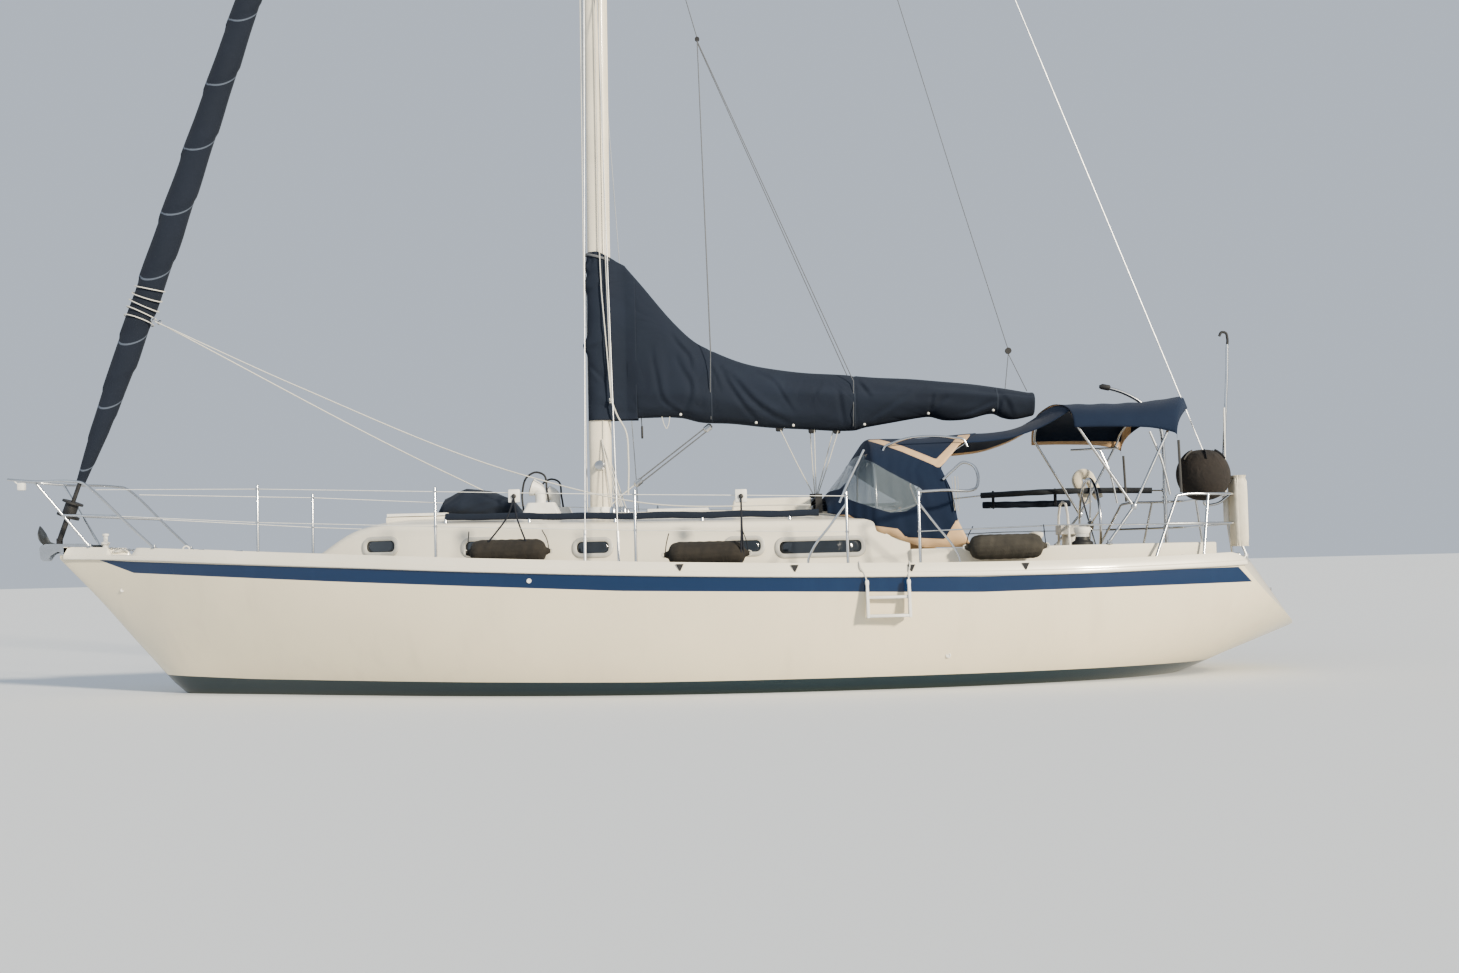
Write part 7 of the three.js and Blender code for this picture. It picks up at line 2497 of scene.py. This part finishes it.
    def build_buoy(self) -> None:
        """The horseshoe buoy: a flattened oval carried round a U, with two straps."""
        x, z, reach, tilt = -4.015, 1.86, 0.065, -0.42
        turn = np.linspace(0, np.pi, 26)
        u = np.concatenate([np.full(10, reach), reach * np.cos(turn), np.full(10, -reach)])
        v = np.concatenate([np.linspace(-0.235, -0.01, 10), reach * np.sin(turn),
            np.linspace(-0.01, -0.235, 10)])
        px, pz = x + u * math.cos(tilt) - v * math.sin(tilt), z + u * math.sin(tilt) + v * math.cos(tilt)
        path = np.stack([px, np.full(len(u), -1.217), pz], 1)
        plump = np.interp(np.linspace(0, 1, len(u)), [0, 0.06, 0.94, 1], [0.78, 1, 1, 0.78])
        stuffed("buoy_cover", rings_along(path, oval(0.053, 0.044, 20, 2.8), plump, (0, 1, 0)), WHITE_CANVAS,
            replaces=["horseshoe_buoy"])

    def build_moving(self) -> None:
        """The hoist, the folding ladder, the boarding step and the bow roller."""
        arm = [(-4.738, -0.84, 1.05), (-4.738, -0.84, 1.755), (-4.742, -0.84, 2.06), (-4.69, -0.84, 2.43),
            (-4.53, -0.84, 2.61), (-4.35, -0.84, 2.715), (-4.19, -0.84, 2.768)]
        straight = np.linspace(arm[0], arm[1], 8)[:-1]
        path = np.vstack([straight, flowing(arm[1:], 50)])
        post = sweep(path, oval(0.019, 0.019, 14))
        collar = lathe([(0.0, -0.01), (0.03, -0.01), (0.03, 0.01), (0.0, 0.01)], (-4.738, -0.84, 1.65),
            sides=18)
        head = sweep(np.array([(-4.232, -0.84, 2.756), (-4.222, -0.84, 2.762), (-4.15, -0.84, 2.778),
            (-4.126, -0.84, 2.778)]), oval(0.03, 0.028, 16, 3.0), np.array([0.5, 1.0, 1.0, 0.55]),
            up=(0, 0, 1))
        piece("hoist_arm", post + collar, STEEL, Body.HOIST, replaces=["outboard_hoist"])
        piece("hoist_head", head, BLACK, Body.HOIST)
        hinge, lean, half, length, middle = (-5.465, 0.72), (0.592, 0.806), 0.165, 0.43, -0.26

        def place(y: float, distance: float) -> Spot:
            """A point on the ladder."""
            return (hinge[0] + lean[0] * distance, middle + y, hinge[1] + lean[1] * distance)
        parts = [tube([place(side * half, 0), place(side * half, length)], 0.0125, sides=12)
            for side in (-1, 1)]
        parts.append(tube([place(-half - 0.02, 0), place(half + 0.02, 0)], 0.012, sides=12))
        parts += [tube([place(-half, d), place(half, d)], 0.014, sides=12) for d in (0.15, 0.29, length)]
        piece("ladder_steps", gathered(parts), STEEL, Body.LADDER, replaces=["stern_ladder"])
        refined("ladder_bracket", "ladder_hinge", STEEL, edge=0.003)
        self.build_step()
        self.build_anchor()

    def build_anchor(self) -> None:
        """The bow roller, the anchor stowed on it with its scoop ahead of the stem, and its chain."""
        outline = [(5.6, 1.35), (5.7, 1.432), (6.1, 1.44), (6.145, 1.425), (6.16, 1.395), (6.15, 1.3),
            (6.12, 1.278), (6.085, 1.276), (6.05, 1.33), (5.99, 1.362), (5.6, 1.33)]
        cheeks = [prism(outline, side * 0.045 - 0.004, side * 0.045 + 0.004, axis=1) for side in (-1, 1)]
        wheel = lathe([(0.0, -0.04), (0.03, -0.04), (0.026, -0.012), (0.018, 0.0), (0.026, 0.012),
            (0.03, 0.04), (0.0, 0.04)], (6.11, 0, 1.39), (0, 1, 0), 24)
        floor = block((5.6, -0.045, 1.337), (6.0, 0.045, 1.347), 0.003)
        made = piece("anchor_roller", gathered([*cheeks, floor]), STEEL, replaces=["bow_roller"])
        bevel = made.modifiers.new("edges", "BEVEL")
        bevel.width, bevel.segments = 0.002, 2
        share = np.linspace(0, 1, 26)[:, None]
        across = np.linspace(-1, 1, 21)[None]
        half = np.interp(share, [0, 0.15, 0.35, 0.6, 0.8, 1], [0.03, 0.078, 0.1, 0.088, 0.052, 0.008])
        x = 6.104 + 0.07 * share + 0.022 * across**2 * (1 - share)
        scoop = np.stack([x, across * half, np.broadcast_to(1.428 + 0.182 * share, x.shape)], -1)
        # fluke and shank in the dark anchor steel, whose darkness is painted shade
        fluke = piece("anchor_fluke", surface(scoop), ANCHOR_STEEL, oriented=False)
        wall = fluke.modifiers.new("wall", "SOLIDIFY")
        wall.thickness, wall.offset = 0.007, 0
        shank = sweep(flowing([(5.58, 0, 1.404), (5.9, 0, 1.412), (6.04, 0, 1.428), (6.088, 0, 1.448),
            (6.118, 0, 1.5)], 40), oval(0.016, 0.009, 12, 5.0), np.linspace(1.0, 1.15, 40), up=(0, 1, 0))
        links = []
        turn = circle_angles(14)
        for number in range(15):
            flat, upright = (1.0, 0.0) if number % 2 else (0.0, 1.0)
            centre = np.array([5.575 - 0.021 * number, 0.0, 1.392 - 0.0022 * number])
            ring = np.column_stack([0.017 * np.cos(turn), 0.009 * flat * np.sin(turn),
                0.009 * upright * np.sin(turn)])
            links.append(sweep(centre + ring, oval(0.0035, 0.0035, 6), closed=True))
        piece("anchor_shank", gathered([shank, wheel]), ANCHOR_STEEL)
        piece("anchor_chain", gathered(links), STEEL)

    def build_step(self) -> None:
        """The folding step on the topsides: two tapered cheeks, two treads and the lanyards up to the rail.

        """
        back = topside_half(-1.7, 0.76) + 0.034
        parts = []
        for x in (-1.88, -1.535):
            outline = [(back, 0.615), (back + 0.094, 0.615), (back + 0.094, 0.665), (back + 0.045, 0.9),
                (back + 0.03, 0.928), (back + 0.004, 0.925)]
            cheek = prism(outline, x, x + 0.024, axis=0)
            pivot = lathe([(0.0, 0.0), (0.02, 0.0), (0.02, 0.03), (0.0, 0.034)],
                (x - 0.003, back + 0.02, 0.905), (1, 0, 0), 18)
            parts += [cheek, pivot]
        for y0, y1, z in ((back + 0.002, back + 0.094, 0.618), (back + 0.002, back + 0.052, 0.77)):
            parts.append(block((-1.86, y0, z), (-1.53, y1, z + 0.026), 0.008))
        made = piece("hull_step", gathered(parts), WHITE_PLASTIC, replaces=["boarding_step"])
        bevel = made.modifiers.new("edges", "BEVEL")
        bevel.width, bevel.segments = 0.003, 2
        ties = []
        for x, shift in ((-1.868, -0.02), (-1.523, 0.06)):
            top = on_rail(x + shift)
            ties.append(tube([(x, back + 0.02, 0.915), (x + 0.4 * shift, top[1] + 0.045, 0.99),
                (x + 0.8 * shift, top[1] + 0.042, 1.03), (x + shift, top[1] + 0.012, top[2] + 0.008),
                (x + shift, top[1] - 0.05, top[2] - 0.04)], 0.006, 30, 8))
        piece("step_lanyards", gathered(ties), WHITE_ROPE)

    def build_foredeck(self) -> None:
        """The small mooring post, a coiled line beside it and a ring on the foredeck."""
        x, y = 5.507, 0.1
        z = deck_height(x, y)
        post = lathe([(0.0, -0.01), (0.06, -0.01), (0.06, 0.012), (0.03, 0.022), (0.026, 0.09), (0.04, 0.105),
            (0.04, 0.118), (0.02, 0.128), (0.02, 0.175), (0.03, 0.182), (0.03, 0.2), (0.0, 0.204)], (x, y, z),
            sides=24)
        turn = np.linspace(0, 6 * np.pi, 90)
        coil = np.column_stack([x - 0.16 + (0.055 + 0.012 * np.sin(2.3 * turn)) * np.cos(turn),
            0.16 + (0.05 + 0.01 * np.cos(1.7 * turn)) * np.sin(turn), z + 0.016 + 0.0045 * turn / np.pi
            + 0.004 * np.sin(3.1 * turn)])
        ring = sweep(np.array([(4.583 + 0.03 * math.cos(t), 0.62, 1.345 + 0.03 * math.sin(t))
            for t in circle_angles(24)]), oval(0.008, 0.008, 8), closed=True)
        piece("mooring_post", post, WHITE_PLASTIC)
        piece("foredeck_coil", sweep(coil, oval(0.007, 0.007, 8), up=(0, 0, 1)), WHITE_ROPE)
        piece("foredeck_ring", ring.moved(y=hull_at(4.583, Column.HALF_BEAM) - 0.72), WHITE_PLASTIC)

    def build(self) -> None:
        """All the deck gear."""
        self.build_foredeck()
        self.build_fenders()
        self.build_stern_gear()
        self.build_buoy()
        self.build_moving()


# What stays as CAD, and the studio


def dress_underwater() -> None:
    """Gives the parts below the waterline their finishes."""
    for node, finish in (("fin_keel", ANTIFOULING), ("rudder", ANTIFOULING), ("propeller", BRONZE),
            ("shaft_strut", BRONZE)):
        frame["nodes"][node].data.materials.clear()
        frame["nodes"][node].data.materials.append(finish.material())


@dataclass
class Studio:
    """Camera, floor and soft light."""

    camera_at: Spot = (-0.51, 14.52, 1.071)
    turn: float = math.radians(-0.463)
    pitch: float = math.radians(2.97)
    roll: float = math.radians(1.421)
    lens: float = 37.82

    def build_camera(self) -> None:
        """The camera at the photograph's place."""
        forward = Vector((-math.sin(self.turn) * math.cos(self.pitch),
            -math.cos(self.turn) * math.cos(self.pitch), math.sin(self.pitch)))
        right = Vector((-math.cos(self.turn), math.sin(self.turn), 0))
        up = right.cross(forward)
        tilted = right * math.cos(self.roll) - up * math.sin(self.roll)
        upright = up * math.cos(self.roll) + right * math.sin(self.roll)
        data = bpy.data.cameras.new("camera")
        data.lens, data.sensor_width, data.sensor_fit = self.lens, 36.0, "HORIZONTAL"
        data.clip_end = 1000
        camera = bpy.data.objects.new("camera", data)
        camera.matrix_world = Matrix((tilted, upright, -forward)).transposed().to_4x4()
        camera.location = self.camera_at
        bpy.context.scene.collection.objects.link(camera)
        bpy.context.scene.camera = camera

    def build_light(self) -> None:
        """A warm soft key from the stern's side, a cool fill from the bow and a pale sky."""
        for name, energy, color, spread, towards in (("key", 5.0, (1.0, 0.9, 0.72), 6, (0.62, -0.7, -0.36)),
                ("fill", 0.4, (0.8, 0.9, 1.0), 60, (-0.75, -0.55, -0.35))):
            lamp = bpy.data.lights.new(name, "SUN")
            lamp.energy, lamp.color, lamp.angle = energy, color, math.radians(spread)
            made = bpy.data.objects.new(name, lamp)
            made.rotation_mode = "QUATERNION"
            made.rotation_quaternion = Vector(towards).to_track_quat("-Z", "Y")
            bpy.context.scene.collection.objects.link(made)
        world = bpy.data.worlds.new("studio")
        world.use_nodes = True
        ground = world.node_tree.nodes["Background"]
        ground.inputs["Color"].default_value = (0.78, 0.86, 0.97, 1)
        ground.inputs["Strength"].default_value = 0.6
        bpy.context.scene.world = world
        bpy.context.scene.view_settings.look = "AgX - Medium High Contrast"

    def build_floor(self) -> None:
        """The plain pale floor at the waterline."""
        reach = 300.0
        form = surface(np.array([[(-reach, -reach, 0), (reach, -reach, 0)],
            [(-reach, reach, 0), (reach, reach, 0)]], float))
        mesh = bpy.data.meshes.new("floor")
        mesh.from_pydata(form.points.tolist(), [], form.faces[0].tolist())
        made = bpy.data.objects.new("floor", mesh)
        bpy.context.scene.collection.objects.link(made)
        finish = Finish("floor_paper", (0.74, 0.76, 0.78), (0.73, 0.75, 0.77), 0.9, patches=0.05, relief=0.0)
        mesh.materials.append(finish.material())

    def build(self) -> None:
        """The whole studio."""
        self.build_camera()
        self.build_light()
        self.build_floor()


def main() -> None:
    logging.basicConfig(level=logging.INFO, format="%(name)s: %(message)s")
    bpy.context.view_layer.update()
    for part in (Studio(), Hull(), Deckhouse(), Rig(), DeckRails(), Canopies(), Helm(), DeckGear()):
        part.build()
        LOG.info("built %s", type(part).__name__)
    dress_underwater()


if __name__ == "__main__":
    main()
